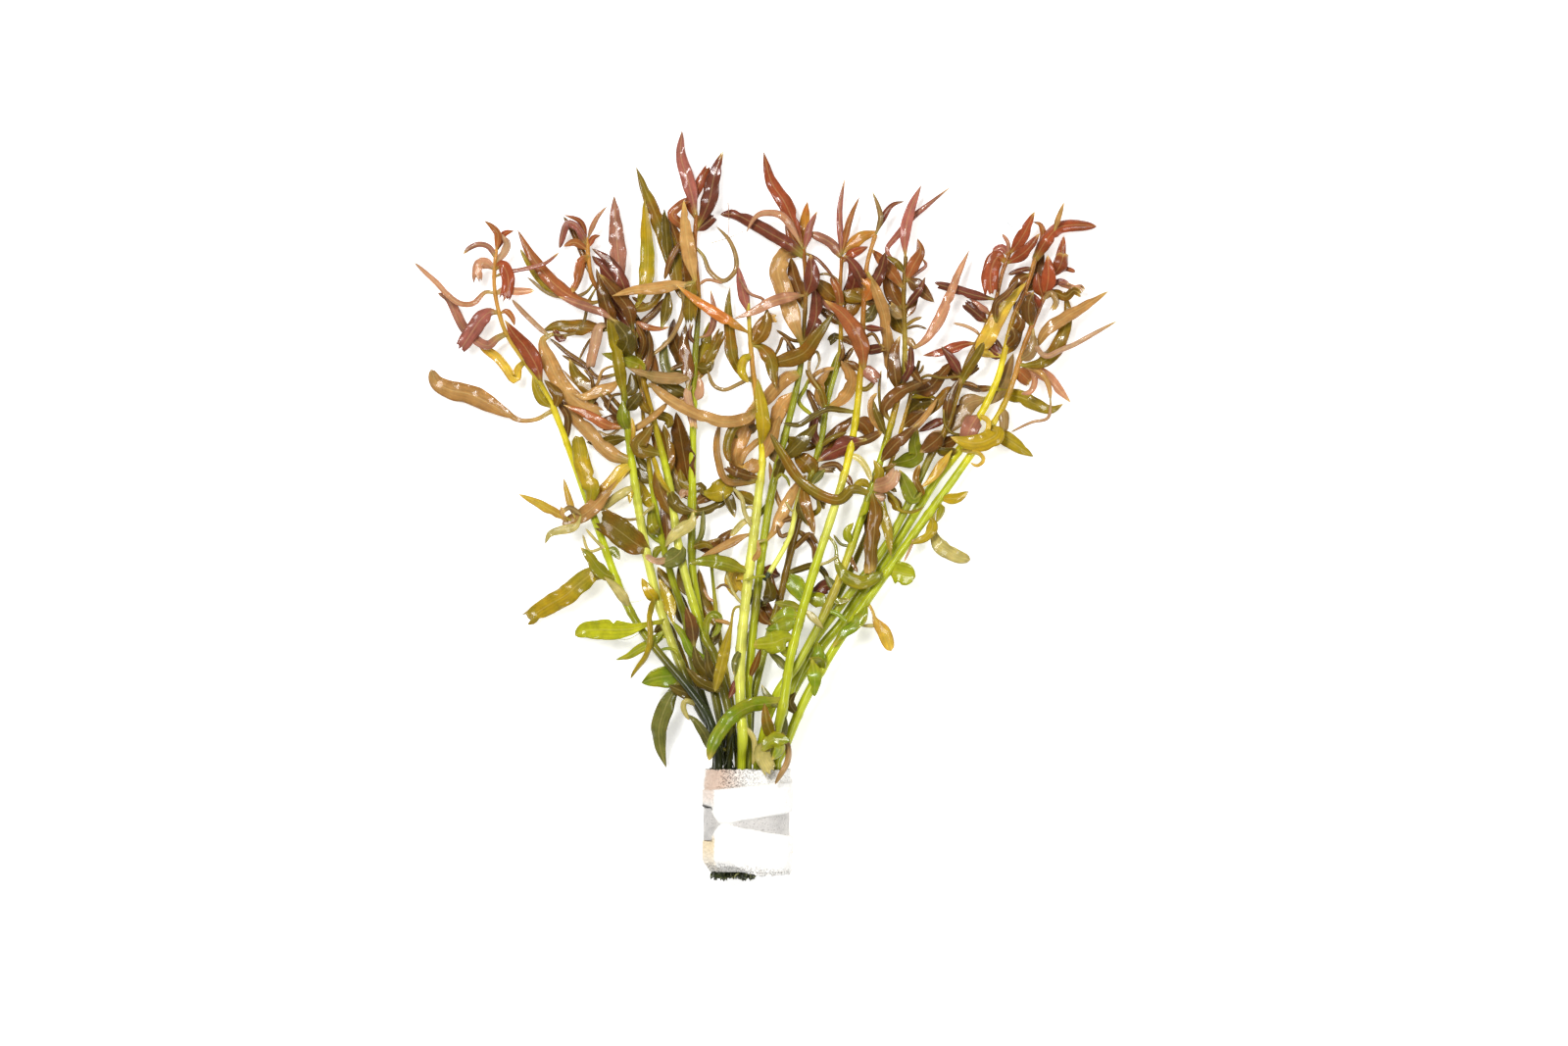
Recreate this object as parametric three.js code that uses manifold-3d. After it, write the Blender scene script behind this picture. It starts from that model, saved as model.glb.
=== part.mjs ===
// A loose bunch of cut water plant stems lying on a surface. Sixteen stems with long, thin, partly
// torn leaves fan out from a flattened sleeve of rolled foam that is held by one soft metal strip.
// Millimetres, +Z up. The origin is the flat underside of the foam where the bunch rests, +Y runs
// from the foam out along the stems.
import * as THREE from 'three';
import { mergeVertices } from 'three/addons/utils/BufferGeometryUtils.js';
import Module from 'manifold-3d';

// Drawing grid: routes are read on it in steps, columns to the right and rows towards the foam.
const GRID_STEP = 0.32;
const GRID_COLUMN = 763;
const GRID_ROW = 803;

// Foam sleeve: outer half width, outer half height, height of its axis, wall step of the free end.
const FOAM_HALF_WIDTH = 14.9;
const FOAM_HALF_HEIGHT = 12.7;
const FOAM_AXIS_Z = 12.3;
const FOAM_AXIS_X = -0.4;
const FOAM_TURN = 1.5;
const FOAM_MOUTH_Y = 6.1;
const FOAM_BACK_Y = -27.0;
const FOAM_HOLE_HALF_WIDTH = 11.9;
const FOAM_HOLE_HALF_HEIGHT = 5.5;
const FOAM_WAIST = 0.87;

// Metal strip round the waist of the foam.
const STRIP_MIDDLE_Y = -11.8;
const STRIP_HALF_WIDTH = 5.2;
const STRIP_THICK = 0.8;
const STRIP_GAP = 0.35;

// Stems: straight part in the foam, then they sink to their resting height.
const MOUTH_ROW = 784;
const STEM_SIDES = 5;
const STEM_REST_Z = 3.2;
const STEM_REST_STEP = 0.3;
const STEM_SINK_LENGTH = 78;

// Leaves: thickness at the midrib, and how many of the largest are parts of their own.
const LEAF_THICK = 0.5;
const LEAF_PIECES = 40;
const LEAF_SPANS = [7, 17, 30, 50];
const PIECE_GAP = 0.3;
const SIMPLE = 0.16;

// Packing field, in which every piece finds a height free of the ones already laid.
const CELL = 0.6;
const LEVEL = 0.4;
const LEVELS = 72;
const FIELD_X = -112;
const FIELD_Y = -32;
const FIELD_COLUMNS = 398;
const FIELD_ROWS = 416;

// Colour of each leaf tint.
const TINTS = {
  salmon: '#c98f6d',
  copper: '#a5673e',
  orange: '#b9743a',
  rust: '#8a4a2b',
  blush: '#d9b3a0',
  rose: '#a96f60',
  rosewood: '#8f5a48',
  amber: '#b98a3c',
  bronze: '#8a6a35',
  umber: '#4a3526',
  olive: '#6f6a35',
  drab: '#3f4128',
  khaki: '#a39a68',
  gold: '#a08a3e',
  peach: '#c7986c',
  tan: '#b08a60',
  plum: '#5b3236',
  moss: '#5f6f33',
  celery: '#b9c386',
  citron: '#a9a348',
  fern: '#6c8038',
  sage: '#7b8060',
  lime: '#9fb04a',
};

// Shoots from the foam outwards: name, radius at the foam, radius at the tip, place in the foam
// (column, end row), height in the foam, route, and its leaves. A leaf has a tint, an outline, the
// layer it lies in, its width in mm and its route from the stem to the tip.
const SHOOTS = [
  ["stem_01", 1.35, 1, [733, 894], 15.5,
    [729, 745, 716, 718, 693, 687, 667, 656, 647, 629, 633, 595, 621, 563, 607, 529, 592, 487, 583, 461,
      567, 421, 552, 392, 536, 370, 519, 344, 510, 320, 505, 290, 507, 255], [
      ["copper", "blade", "with", 2.2, [508, 254, 509, 240, 503, 232, 495, 226]],
      ["rust", "blade", "with", 2.2, [508, 254, 514, 240, 525, 236]],
      ["rosewood", "ribbon", "with", 1.6, [506, 264, 500, 253, 490, 250, 480, 254, 474, 260]],
      ["blush", "blade", "with", 2.6, [507, 270, 514, 259, 518, 250, 513, 240]],
      ["salmon", "torn", "with", 3.2, [505, 276, 498, 270, 491, 270, 488, 279, 489, 289]],
      ["rust", "torn", "with", 3.6, [507, 276, 513, 271, 519, 282, 519, 296, 514, 309]],
      ["salmon", "ribbon", "with", 2.2, [506, 300, 515, 297, 530, 298, 546, 297]],
      ["rose", "ribbon", "with", 1.2, [506, 283, 515, 279, 525, 277, 545, 273, 557, 269, 571, 258]],
      ["salmon", "ribbon", "with", 1.6, [505, 300, 496, 299, 484, 310, 470, 310, 457, 301, 446, 289,
        434, 278, 423, 268]],
      ["copper", "blade", "with", 1.8, [510, 321, 517, 318, 523, 324, 526, 333]],
      ["rose", "torn", "with", 4.4, [509, 320, 501, 319, 493, 325, 484, 337, 476, 349, 469, 359]],
      ["rosewood", "ribbon", "with", 2.7, [517, 341, 508, 346, 499, 353, 487, 348, 473, 334, 465, 319,
        458, 306, 447, 299]],
      ["amber", "ribbon", "with", 2.6, [535, 370, 530, 375, 526, 387, 516, 374, 508, 365, 497, 357,
        484, 347]],
      ["rust", "blade", "with", 4.8, [553, 392, 548, 374, 537, 355, 526, 342, 516, 327]],
      ["gold", "blade", "with", 2.8, [564, 417, 554, 409, 548, 398, 544, 384]],
      ["bronze", "blade", "with", 3.2, [565, 419, 570, 405, 564, 396, 556, 388]],
      ["peach", "club", "with", 5.4, [561, 421, 548, 428, 532, 429, 514, 420, 496, 410, 478, 402,
        460, 398, 446, 390, 440, 377]],
      ["umber", "ribbon", "under", 2.0, [590, 446, 580, 427, 573, 413, 566, 402]],
      ["citron", "torn", "with", 4.8, [601, 517, 604, 500, 599, 485, 594, 470, 590, 444]],
      ["moss", "blade", "with", 2.6, [619, 560, 627, 562, 633, 571]],
      ["moss", "blade", "with", 3.8, [630, 590, 619, 586, 610, 578, 603, 568, 593, 558]],
      ["celery", "blade", "with", 3.0, [641, 622, 636, 608, 628, 598, 617, 588]],
      ["citron", "torn", "with", 5.4, [630, 588, 617, 586, 606, 585, 592, 595, 578, 607, 562, 616,
        548, 625, 536, 634]],
      ["celery", "ribbon", "with", 0.9, [618, 565, 608, 551, 598, 539]],
      ["celery", "ribbon", "with", 0.9, [617, 558, 602, 562, 595, 545]]]],
  ["stem_02", 1.5, 1.1, [733, 894], 12.3,
    [730, 748, 716, 725, 697, 678, 684, 650, 672, 608, 664, 583, 657, 543, 651, 503, 646, 480, 641, 441,
      637, 402, 630, 360, 624, 331, 615, 303, 604, 283, 600, 262, 599, 243], [
      ["rust", "blade", "with", 1.5, [599, 244, 593, 227, 576, 220]],
      ["salmon", "blade", "with", 1.6, [600, 243, 609, 224, 620, 211]],
      ["rose", "ribbon", "with", 2.2, [599, 250, 589, 232, 579, 229, 571, 254]],
      ["copper", "blade", "with", 2.4, [600, 256, 587, 248, 575, 252]],
      ["rust", "blade", "with", 1.8, [600, 254, 606, 243, 613, 241]],
      ["umber", "ribbon", "under", 1.8, [602, 282, 591, 250, 583, 233, 575, 221]],
      ["copper", "ribbon", "with", 2.8, [601, 264, 595, 268, 592, 282, 585, 299]],
      ["khaki", "ribbon", "under", 1.0, [604, 290, 598, 299, 582, 304, 560, 300, 538, 283]],
      ["copper", "blade", "with", 4.0, [613, 308, 600, 309, 582, 302, 562, 286, 542, 260, 528, 234]],
      ["gold", "ribbon", "under", 1.4, [568, 303, 552, 288, 541, 272, 531, 254]],
      ["khaki", "ribbon", "with", 0.9, [607, 294, 600, 310, 597, 325, 592, 337, 578, 342, 562, 341]],
      ["peach", "torn", "with", 4.6, [562, 342, 554, 348, 560, 367, 569, 386, 581, 402, 597, 416,
        616, 424]],
      ["blush", "ribbon", "with", 1.5, [557, 339, 546, 330, 535, 319, 523, 306]],
      ["olive", "blade", "under", 4.6, [624, 336, 600, 335, 580, 333, 566, 333, 553, 338]],
      ["plum", "ribbon", "under", 2.0, [577, 357, 572, 346, 565, 336]],
      ["umber", "ribbon", "under", 1.4, [610, 385, 596, 371, 580, 360, 561, 345]],
      ["umber", "ribbon", "under", 1.0, [602, 379, 586, 369, 573, 362]],
      ["umber", "ribbon", "under", 0.8, [592, 366, 597, 355, 604, 344]],
      ["blush", "torn", "with", 3.0, [624, 331, 612, 334, 608, 349, 604, 365, 602, 380]],
      ["olive", "blade", "under", 4.4, [606, 402, 597, 393, 588, 382, 581, 366]],
      ["umber", "ribbon", "under", 1.0, [614, 395, 604, 386, 596, 377]],
      ["peach", "blade", "with", 3.4, [635, 386, 624, 395, 610, 400, 596, 405, 585, 402]],
      ["peach", "ribbon", "under", 0.9, [632, 372, 616, 378, 609, 393, 596, 397, 583, 387, 574, 377]],
      ["peach", "ribbon", "with", 4.2, [644, 470, 626, 464, 609, 449, 595, 434, 582, 421, 569, 408]],
      ["umber", "torn", "under", 4.2, [641, 430, 628, 430, 611, 434]],
      ["khaki", "ribbon", "under", 0.9, [641, 428, 629, 440, 620, 444, 610, 439]],
      ["umber", "blade", "under", 3.6, [612, 421, 603, 413, 597, 404]],
      ["bronze", "ribbon", "with", 1.2, [639, 424, 628, 410, 618, 399]],
      ["umber", "ribbon", "with", 1.5, [640, 432, 624, 417, 612, 401]],
      ["umber", "ribbon", "under", 1.6, [634, 427, 626, 420, 616, 411]],
      ["umber", "ribbon", "with", 0.8, [637, 402, 625, 405, 620, 420]],
      ["drab", "blade", "under", 5.6, [650, 363, 641, 347, 627, 326]],
      ["drab", "blade", "under", 3.8, [637, 405, 646, 395, 644, 380]],
      ["drab", "blade", "under", 3.8, [640, 420, 648, 410, 655, 401]],
      ["moss", "blade", "with", 3.4, [641, 441, 636, 428, 636, 408]],
      ["amber", "ribbon", "with", 1.3, [643, 458, 647, 441, 645, 426]],
      ["bronze", "ribbon", "with", 1.0, [644, 460, 652, 447, 655, 440]],
      ["peach", "ribbon", "with", 2.0, [641, 442, 656, 433, 667, 425, 681, 411]],
      ["amber", "ribbon", "with", 3.6, [646, 474, 636, 479, 627, 490, 616, 502, 604, 513]],
      ["celery", "ribbon", "with", 2.6, [649, 497, 636, 503, 623, 512, 611, 521]],
      ["tan", "club", "over", 4.2, [646, 478, 632, 490, 617, 506, 603, 520, 589, 529, 574, 535]],
      ["amber", "blade", "over", 2.8, [584, 531, 567, 523, 549, 513, 530, 504]],
      ["amber", "blade", "with", 2.0, [585, 522, 580, 506, 576, 488]],
      ["khaki", "torn", "with", 1.4, [592, 522, 582, 518, 574, 523]],
      ["peach", "torn", "with", 1.4, [580, 534, 574, 526, 575, 516]],
      ["celery", "blade", "with", 2.6, [597, 531, 588, 537, 573, 541, 562, 545, 557, 555]],
      ["khaki", "ribbon", "with", 0.9, [653, 529, 641, 530, 630, 527, 617, 518]],
      ["celery", "ribbon", "with", 0.9, [655, 527, 661, 521, 668, 516]],
      ["olive", "torn", "over", 7.2, [662, 562, 650, 555, 638, 546, 626, 537, 610, 529]],
      ["lime", "club", "over", 5.6, [680, 633, 662, 636, 645, 641, 630, 642, 612, 642, 598, 643, 587, 648]],
      ["fern", "blade", "with", 2.8, [682, 640, 664, 655, 652, 662, 641, 669, 628, 673]],
      ["gold", "ribbon", "over", 1.6, [669, 606, 664, 628, 665, 645, 664, 658, 659, 671, 649, 684,
        644, 692]],
      ["drab", "blade", "under", 2.4, [681, 634, 673, 640, 667, 645]],
      ["fern", "blade", "with", 2.6, [685, 652, 676, 647, 668, 655, 663, 664]],
      ["citron", "blade", "with", 3.2, [673, 616, 663, 604, 655, 589]],
      ["fern", "ribbon", "with", 1.0, [697, 676, 690, 664, 682, 661, 672, 663]],
      ["fern", "blade", "over", 6.2, [704, 689, 694, 688, 684, 689, 670, 691, 655, 696]],
      ["drab", "blade", "with", 4.0, [716, 714, 703, 707, 693, 703, 683, 698]],
      ["celery", "ribbon", "over", 1.6, [711, 720, 700, 714, 698, 722, 704, 734]],
      ["umber", "blade", "with", 4.4, [632, 354, 624, 328, 616, 302, 609, 274]],
      ["rosewood", "blade", "under", 2.8, [628, 330, 612, 318, 592, 311, 570, 303]],
      ["gold", "ribbon", "with", 3.4, [639, 398, 632, 374, 627, 348, 622, 322]],
      ["copper", "blade", "with", 3.0, [641, 437, 620, 434, 600, 423, 575, 413]],
      ["drab", "blade", "under", 3.2, [641, 447, 626, 449, 612, 452, 598, 451]],
      ["citron", "blade", "with", 1.8, [649, 494, 644, 502, 643, 514]],
      ["drab", "ribbon", "under", 2.2, [713, 716, 703, 690, 695, 668, 688, 648, 682, 633]],
      ["sage", "blade", "with", 5.0, [697, 690, 688, 704, 679, 722, 673, 742, 674, 762, 680, 783]]]],
  ["stem_03", 1.45, 1.1, [743, 894], 12.3,
    [746, 740, 742, 715, 735, 690, 729, 668, 718, 647, 706, 608, 695, 568, 687, 520, 682, 488, 672, 448,
      663, 410, 656, 385, 651, 358, 645, 332, 640, 308, 636, 290], [
      ["rosewood", "blade", "with", 4.8, [636, 294, 632, 268, 629, 236, 627, 200]],
      ["citron", "blade", "under", 4.3, [650, 312, 659, 288, 661, 262, 660, 236, 658, 203]],
      ["plum", "blade", "with", 3.6, [642, 314, 636, 290, 622, 267, 604, 254]],
      ["umber", "blade", "with", 4.0, [652, 338, 642, 316, 628, 298, 612, 280]],
      ["copper", "blade", "with", 1.9, [644, 326, 660, 334, 673, 336, 684, 334]],
      ["umber", "ribbon", "with", 2.0, [655, 366, 657, 348, 650, 331]],
      ["olive", "ribbon", "under", 2.2, [645, 316, 661, 313, 671, 303, 679, 287]],
      ["umber", "ribbon", "under", 1.1, [661, 313, 654, 309, 645, 303]],
      ["drab", "blade", "under", 3.2, [676, 342, 679, 322, 681, 308, 682, 294]],
      ["moss", "blade", "over", 3.9, [674, 380, 655, 374, 636, 367, 614, 361]],
      ["olive", "blade", "with", 2.4, [664, 425, 656, 412, 654, 395]],
      ["olive", "torn", "under", 2.6, [685, 417, 683, 428, 680, 438]],
      ["olive", "blade", "under", 4.8, [648, 471, 652, 456, 660, 443, 667, 433]],
      ["olive", "blade", "under", 4.0, [686, 487, 682, 463, 677, 433]],
      ["drab", "blade", "with", 3.6, [684, 498, 689, 513, 698, 520, 712, 522]],
      ["citron", "ribbon", "with", 1.5, [685, 505, 674, 489, 668, 472, 662, 456]],
      ["celery", "blade", "over", 3.8, [706, 533, 696, 540, 687, 547, 679, 558]],
      ["sage", "blade", "over", 5.6, [706, 553, 695, 562, 684, 571, 671, 574]],
      ["blush", "ribbon", "over", 2.2, [681, 574, 668, 572, 659, 566]],
      ["fern", "blade", "over", 2.8, [716, 682, 706, 664, 698, 648, 684, 631]],
      ["moss", "ribbon", "over", 2.0, [723, 654, 721, 637, 727, 626, 734, 629, 733, 641, 726, 650]],
      ["drab", "blade", "over", 3.8, [724, 704, 715, 678, 708, 657]],
      ["drab", "blade", "over", 3.2, [730, 708, 725, 682, 721, 660]],
      ["drab", "blade", "with", 3.2, [738, 706, 716, 696, 700, 680]],
      ["umber", "blade", "under", 4.0, [712, 655, 706, 635, 700, 618]],
      ["gold", "blade", "under", 3.8, [690, 634, 682, 612, 673, 590]],
      ["drab", "blade", "under", 4.2, [704, 614, 698, 592, 695, 573]],
      ["sage", "blade", "with", 3.2, [729, 762, 718, 745, 710, 734, 702, 727]],
      ["plum", "blade", "under", 4.6, [638, 302, 628, 288, 616, 274, 604, 261]],
      ["plum", "ribbon", "with", 3.2, [648, 346, 638, 326, 624, 308, 606, 288]],
      ["umber", "ribbon", "under", 2.2, [649, 346, 655, 331, 668, 319, 680, 304]],
      ["umber", "blade", "under", 3.2, [658, 394, 660, 372, 663, 352, 661, 334]],
      ["olive", "blade", "under", 3.6, [679, 476, 674, 458, 669, 438, 664, 422]],
      ["bronze", "blade", "under", 4.4, [688, 530, 678, 510, 672, 492, 670, 474]],
      ["drab", "blade", "under", 3.4, [725, 662, 729, 648, 732, 634]],
      ["umber", "blade", "under", 4.4, [668, 392, 662, 366, 655, 340, 648, 318]]]],
  ["stem_04", 1.3, 1, [733, 894], 9.1,
    [729, 748, 715, 705, 705, 665, 700, 634, 692, 610, 684, 583, 677, 552, 671, 530, 666, 500, 662, 465,
      657, 430, 655, 397], [
      ["citron", "blade", "with", 3.4, [668, 521, 659, 507, 651, 488]],
      ["fern", "ribbon", "with", 1.3, [678, 555, 668, 549, 660, 541, 654, 531]],
      ["moss", "blade", "with", 2.2, [679, 558, 671, 561, 667, 572]],
      ["drab", "blade", "under", 2.8, [664, 482, 656, 473, 648, 464]],
      ["umber", "blade", "under", 4.0, [686, 562, 681, 538, 676, 505]],
      ["drab", "blade", "under", 4.4, [704, 642, 696, 622, 690, 600]],
      ["olive", "blade", "with", 2.6, [655, 400, 651, 387, 655, 370]],
      ["drab", "blade", "under", 4.2, [665, 494, 658, 485, 650, 477]],
      ["moss", "blade", "with", 3.2, [675, 547, 667, 538, 665, 525, 667, 512]],
      ["drab", "blade", "under", 3.2, [694, 618, 688, 604, 684, 590, 682, 574]],
      ["olive", "blade", "under", 3.4, [689, 602, 679, 592, 671, 578]]]],
  ["stem_05", 1.4, 1.1, [743, 894], 9.1,
    [738, 748, 730, 712, 722, 672, 715, 636, 709, 600, 706, 560, 707, 520, 706, 480, 707, 440, 708, 410,
      709, 370, 712, 340, 713, 310, 712, 280, 709, 250, 711, 220], [
      ["rose", "blade", "with", 4.0, [711, 222, 703, 187, 695, 160, 696, 133]],
      ["plum", "blade", "with", 4.6, [712, 232, 723, 208, 729, 180, 738, 154]],
      ["rust", "torn", "with", 3.0, [710, 226, 705, 207, 713, 190, 724, 168]],
      ["plum", "torn", "with", 3.0, [710, 236, 720, 229, 731, 220]],
      ["copper", "torn", "with", 2.6, [709, 242, 697, 231, 686, 220, 692, 212, 704, 203]],
      ["peach", "blade", "with", 4.2, [711, 292, 704, 263, 700, 236, 698, 205]],
      ["khaki", "ribbon", "with", 1.4, [710, 252, 718, 262, 724, 277, 738, 287, 750, 277, 751, 263,
        744, 245, 731, 231]],
      ["salmon", "ribbon", "with", 0.9, [712, 292, 722, 286, 738, 290]],
      ["umber", "ribbon", "with", 1.8, [709, 246, 698, 247, 686, 262, 678, 286]],
      ["olive", "blade", "under", 5.0, [696, 302, 687, 264, 673, 228, 660, 198, 649, 170]],
      ["moss", "blade", "under", 3.2, [679, 270, 680, 240, 678, 213]],
      ["umber", "blade", "under", 5.0, [700, 307, 697, 274, 689, 240, 682, 220]],
      ["peach", "blade", "over", 3.5, [712, 291, 692, 291, 668, 295, 648, 297, 625, 303]],
      ["khaki", "ribbon", "with", 1.4, [712, 287, 698, 292, 698, 312, 693, 330, 682, 348, 661, 366]],
      ["olive", "torn", "with", 4.0, [711, 284, 705, 296, 704, 331]],
      ["plum", "torn", "with", 1.2, [711, 352, 704, 343, 706, 330]],
      ["sage", "ribbon", "under", 2.8, [684, 381, 678, 365, 679, 347]],
      ["umber", "blade", "under", 4.4, [704, 382, 694, 362, 688, 345, 688, 325]],
      ["rosewood", "blade", "over", 3.5, [723, 376, 708, 382, 690, 386, 665, 384, 641, 376]],
      ["tan", "ribbon", "under", 2.6, [700, 411, 690, 405, 683, 391]],
      ["blush", "torn", "over", 2.4, [708, 393, 702, 399, 705, 420, 709, 440]],
      ["umber", "blade", "under", 6.2, [705, 502, 700, 478, 695, 450, 690, 420]],
      ["olive", "blade", "with", 2.8, [706, 500, 697, 492, 694, 478]],
      ["blush", "blade", "with", 3.0, [709, 410, 715, 398, 713, 384]],
      ["umber", "ribbon", "with", 1.6, [710, 366, 699, 371, 684, 378]],
      ["rosewood", "blade", "with", 2.0, [712, 346, 724, 340, 729, 322, 725, 295]],
      ["olive", "torn", "with", 3.4, [709, 392, 720, 372, 729, 354, 738, 337]],
      ["drab", "blade", "with", 3.2, [710, 374, 721, 376, 729, 367]],
      ["blush", "blade", "with", 3.2, [707, 507, 699, 500, 695, 509]],
      ["drab", "blade", "with", 3.0, [707, 503, 715, 497, 719, 506]],
      ["peach", "blade", "with", 3.8, [708, 510, 708, 522, 700, 530, 690, 539]],
      ["gold", "blade", "over", 6.0, [719, 515, 731, 502, 744, 493, 759, 480]],
      ["drab", "blade", "with", 3.2, [741, 501, 746, 515, 750, 528]],
      ["drab", "ribbon", "with", 2.4, [708, 524, 722, 520, 733, 515, 746, 505]],
      ["umber", "blade", "with", 3.8, [732, 558, 740, 547, 750, 539]],
      ["sage", "ribbon", "with", 1.6, [707, 562, 716, 545, 718, 520]],
      ["olive", "blade", "with", 2.4, [707, 558, 721, 555, 731, 562]],
      ["khaki", "ribbon", "with", 0.9, [714, 559, 726, 552, 735, 549]],
      ["drab", "blade", "under", 3.6, [708, 404, 692, 399, 678, 392, 664, 386]],
      ["gold", "blade", "under", 3.8, [709, 386, 715, 364, 721, 345, 724, 328]],
      ["olive", "blade", "under", 3.6, [706, 512, 696, 500, 688, 486, 685, 470]],
      ["umber", "blade", "under", 4.0, [704, 400, 702, 378, 698, 352, 700, 330]],
      ["umber", "blade", "under", 3.4, [706, 516, 718, 508, 732, 503, 746, 499]]]],
  ["stem_06", 1.1, 0.8, [753, 894], 9.1,
    [749, 748, 746, 715, 742, 690, 737, 665, 733, 640, 731, 617, 728, 595, 726, 575, 724, 556], [
      ["olive", "blade", "under", 4.4, [726, 644, 717, 612, 713, 580]],
      ["blush", "ribbon", "with", 0.8, [731, 614, 723, 610, 718, 600]],
      ["fern", "ribbon", "with", 0.9, [727, 580, 733, 570, 731, 560]]]],
  ["stem_07", 1.75, 1.1, [757, 894], 15.5,
    [758, 748, 757, 718, 755, 690, 757, 665, 759, 630, 763, 598, 766, 565, 770, 535, 774, 505, 777, 475,
      778, 455, 775, 430, 771, 400, 768, 375, 766, 350, 765, 325, 763, 305], [
      ["rose", "blade", "with", 3.2, [763, 322, 759, 302, 753, 272]],
      ["rosewood", "ribbon", "with", 0.9, [764, 322, 779, 307, 765, 300, 753, 283]],
      ["orange", "blade", "over", 3.2, [766, 341, 748, 331, 730, 320, 712, 308, 690, 291]],
      ["olive", "blade", "with", 3.5, [770, 392, 756, 380, 748, 364, 745, 340, 743, 315, 745, 293]],
      ["khaki", "ribbon", "with", 1.2, [768, 384, 752, 393, 739, 398, 728, 393, 722, 378]],
      ["citron", "ribbon", "with", 2.6, [767, 362, 759, 368, 757, 380, 764, 391]],
      ["bronze", "blade", "with", 4.0, [766, 353, 777, 343, 782, 331, 783, 315]],
      ["tan", "torn", "with", 3.6, [766, 350, 775, 336, 784, 326, 795, 326]],
      ["olive", "blade", "with", 4.2, [767, 352, 777, 355, 786, 367, 789, 382, 792, 397]],
      ["citron", "blade", "over", 4.2, [781, 457, 779, 432, 776, 409, 773, 386]],
      ["tan", "torn", "with", 4.2, [772, 406, 764, 427, 757, 447, 751, 463, 753, 476, 762, 482]],
      ["olive", "ribbon", "with", 2.6, [763, 430, 749, 437, 743, 455, 745, 472]],
      ["tan", "ribbon", "with", 2.0, [776, 490, 757, 492, 742, 490, 735, 475, 732, 452, 735, 431]],
      ["olive", "blade", "under", 3.0, [753, 446, 748, 440, 745, 429]],
      ["peach", "ribbon", "over", 3.4, [773, 418, 760, 428, 742, 431, 722, 427, 700, 418, 680, 406,
        662, 391]],
      ["peach", "blade", "with", 2.5, [769, 543, 757, 548, 745, 554, 733, 560, 714, 569]],
      ["celery", "ribbon", "with", 1.8, [771, 528, 758, 533, 745, 547]],
      ["lime", "blade", "over", 4.4, [766, 585, 751, 578, 733, 573, 718, 572, 702, 575]],
      ["amber", "torn", "with", 4.8, [762, 591, 752, 584, 748, 593, 757, 607]],
      ["celery", "ribbon", "with", 0.9, [760, 619, 750, 606, 743, 590, 742, 576]],
      ["celery", "ribbon", "with", 0.8, [772, 524, 766, 517, 758, 519]],
      ["celery", "ribbon", "with", 1.3, [769, 542, 760, 523, 757, 509, 748, 497]],
      ["celery", "ribbon", "with", 0.9, [768, 545, 773, 552, 782, 550]],
      ["tan", "blade", "under", 1.6, [771, 576, 774, 563, 773, 550]],
      ["umber", "ribbon", "with", 0.7, [748, 601, 738, 596, 730, 601]],
      ["lime", "club", "over", 3.2, [760, 618, 750, 620, 746, 638, 740, 662, 736, 680, 730, 704]],
      ["tan", "ribbon", "under", 1.2, [748, 637, 740, 634, 729, 632]],
      ["plum", "blade", "with", 2.2, [755, 688, 749, 701, 744, 712]],
      ["sage", "blade", "with", 2.0, [757, 660, 750, 674, 749, 688]],
      ["celery", "ribbon", "with", 1.6, [757, 739, 768, 750, 770, 765, 768, 779]],
      ["tan", "ribbon", "with", 1.9, [777, 447, 768, 455, 760, 463, 756, 475]],
      ["khaki", "blade", "with", 3.0, [776, 434, 768, 437, 762, 441, 757, 449]],
      ["tan", "torn", "under", 4.2, [777, 470, 769, 476, 759, 481]],
      ["umber", "torn", "with", 3.0, [775, 488, 762, 485, 750, 481, 741, 475]],
      ["tan", "blade", "under", 4.0, [778, 472, 784, 456, 790, 441, 796, 424]],
      ["olive", "blade", "under", 3.6, [773, 514, 760, 507, 748, 501]]]],
  ["stem_08", 1.45, 1.1, [763, 894], 12.3,
    [763, 748, 763, 718, 764, 690, 767, 660, 770, 635, 774, 606, 777, 575, 781, 549, 785, 515, 790, 490,
      795, 473, 802, 436, 808, 414, 815, 385, 818, 355, 821, 325, 822, 285, 820, 255], [
      ["rust", "blade", "with", 4.4, [820, 256, 802, 210, 787, 186, 779, 155]],
      ["rust", "ribbon", "with", 3.8, [820, 262, 803, 249, 788, 240, 768, 228, 750, 219, 735, 219]],
      ["salmon", "blade", "with", 2.2, [819, 254, 800, 223, 784, 218, 771, 222, 761, 239]],
      ["orange", "blade", "with", 3.2, [820, 255, 821, 230, 824, 206]],
      ["rose", "blade", "with", 2.2, [821, 256, 827, 232, 834, 216]],
      ["peach", "torn", "with", 4.9, [819, 354, 811, 332, 805, 312, 799, 294, 794, 276, 799, 262,
        812, 255]],
      ["plum", "ribbon", "with", 1.0, [822, 258, 835, 266, 851, 284]],
      ["plum", "blade", "with", 4.6, [822, 304, 828, 285, 827, 260]],
      ["salmon", "blade", "over", 3.2, [827, 302, 805, 304, 787, 309, 770, 318, 749, 326]],
      ["plum", "blade", "with", 4.0, [820, 353, 831, 331, 833, 306, 829, 284]],
      ["umber", "ribbon", "with", 1.0, [819, 349, 808, 347, 800, 342, 792, 337]],
      ["umber", "ribbon", "with", 1.0, [816, 370, 800, 345, 795, 355, 790, 365]],
      ["olive", "blade", "over", 4.6, [784, 371, 818, 362, 834, 343, 851, 320]],
      ["peach", "ribbon", "with", 4.0, [816, 380, 803, 386, 791, 396, 781, 408, 774, 417]],
      ["olive", "blade", "under", 3.4, [808, 402, 801, 412, 797, 431]],
      ["tan", "blade", "under", 4.6, [806, 398, 798, 413, 792, 430, 790, 447]],
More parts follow.
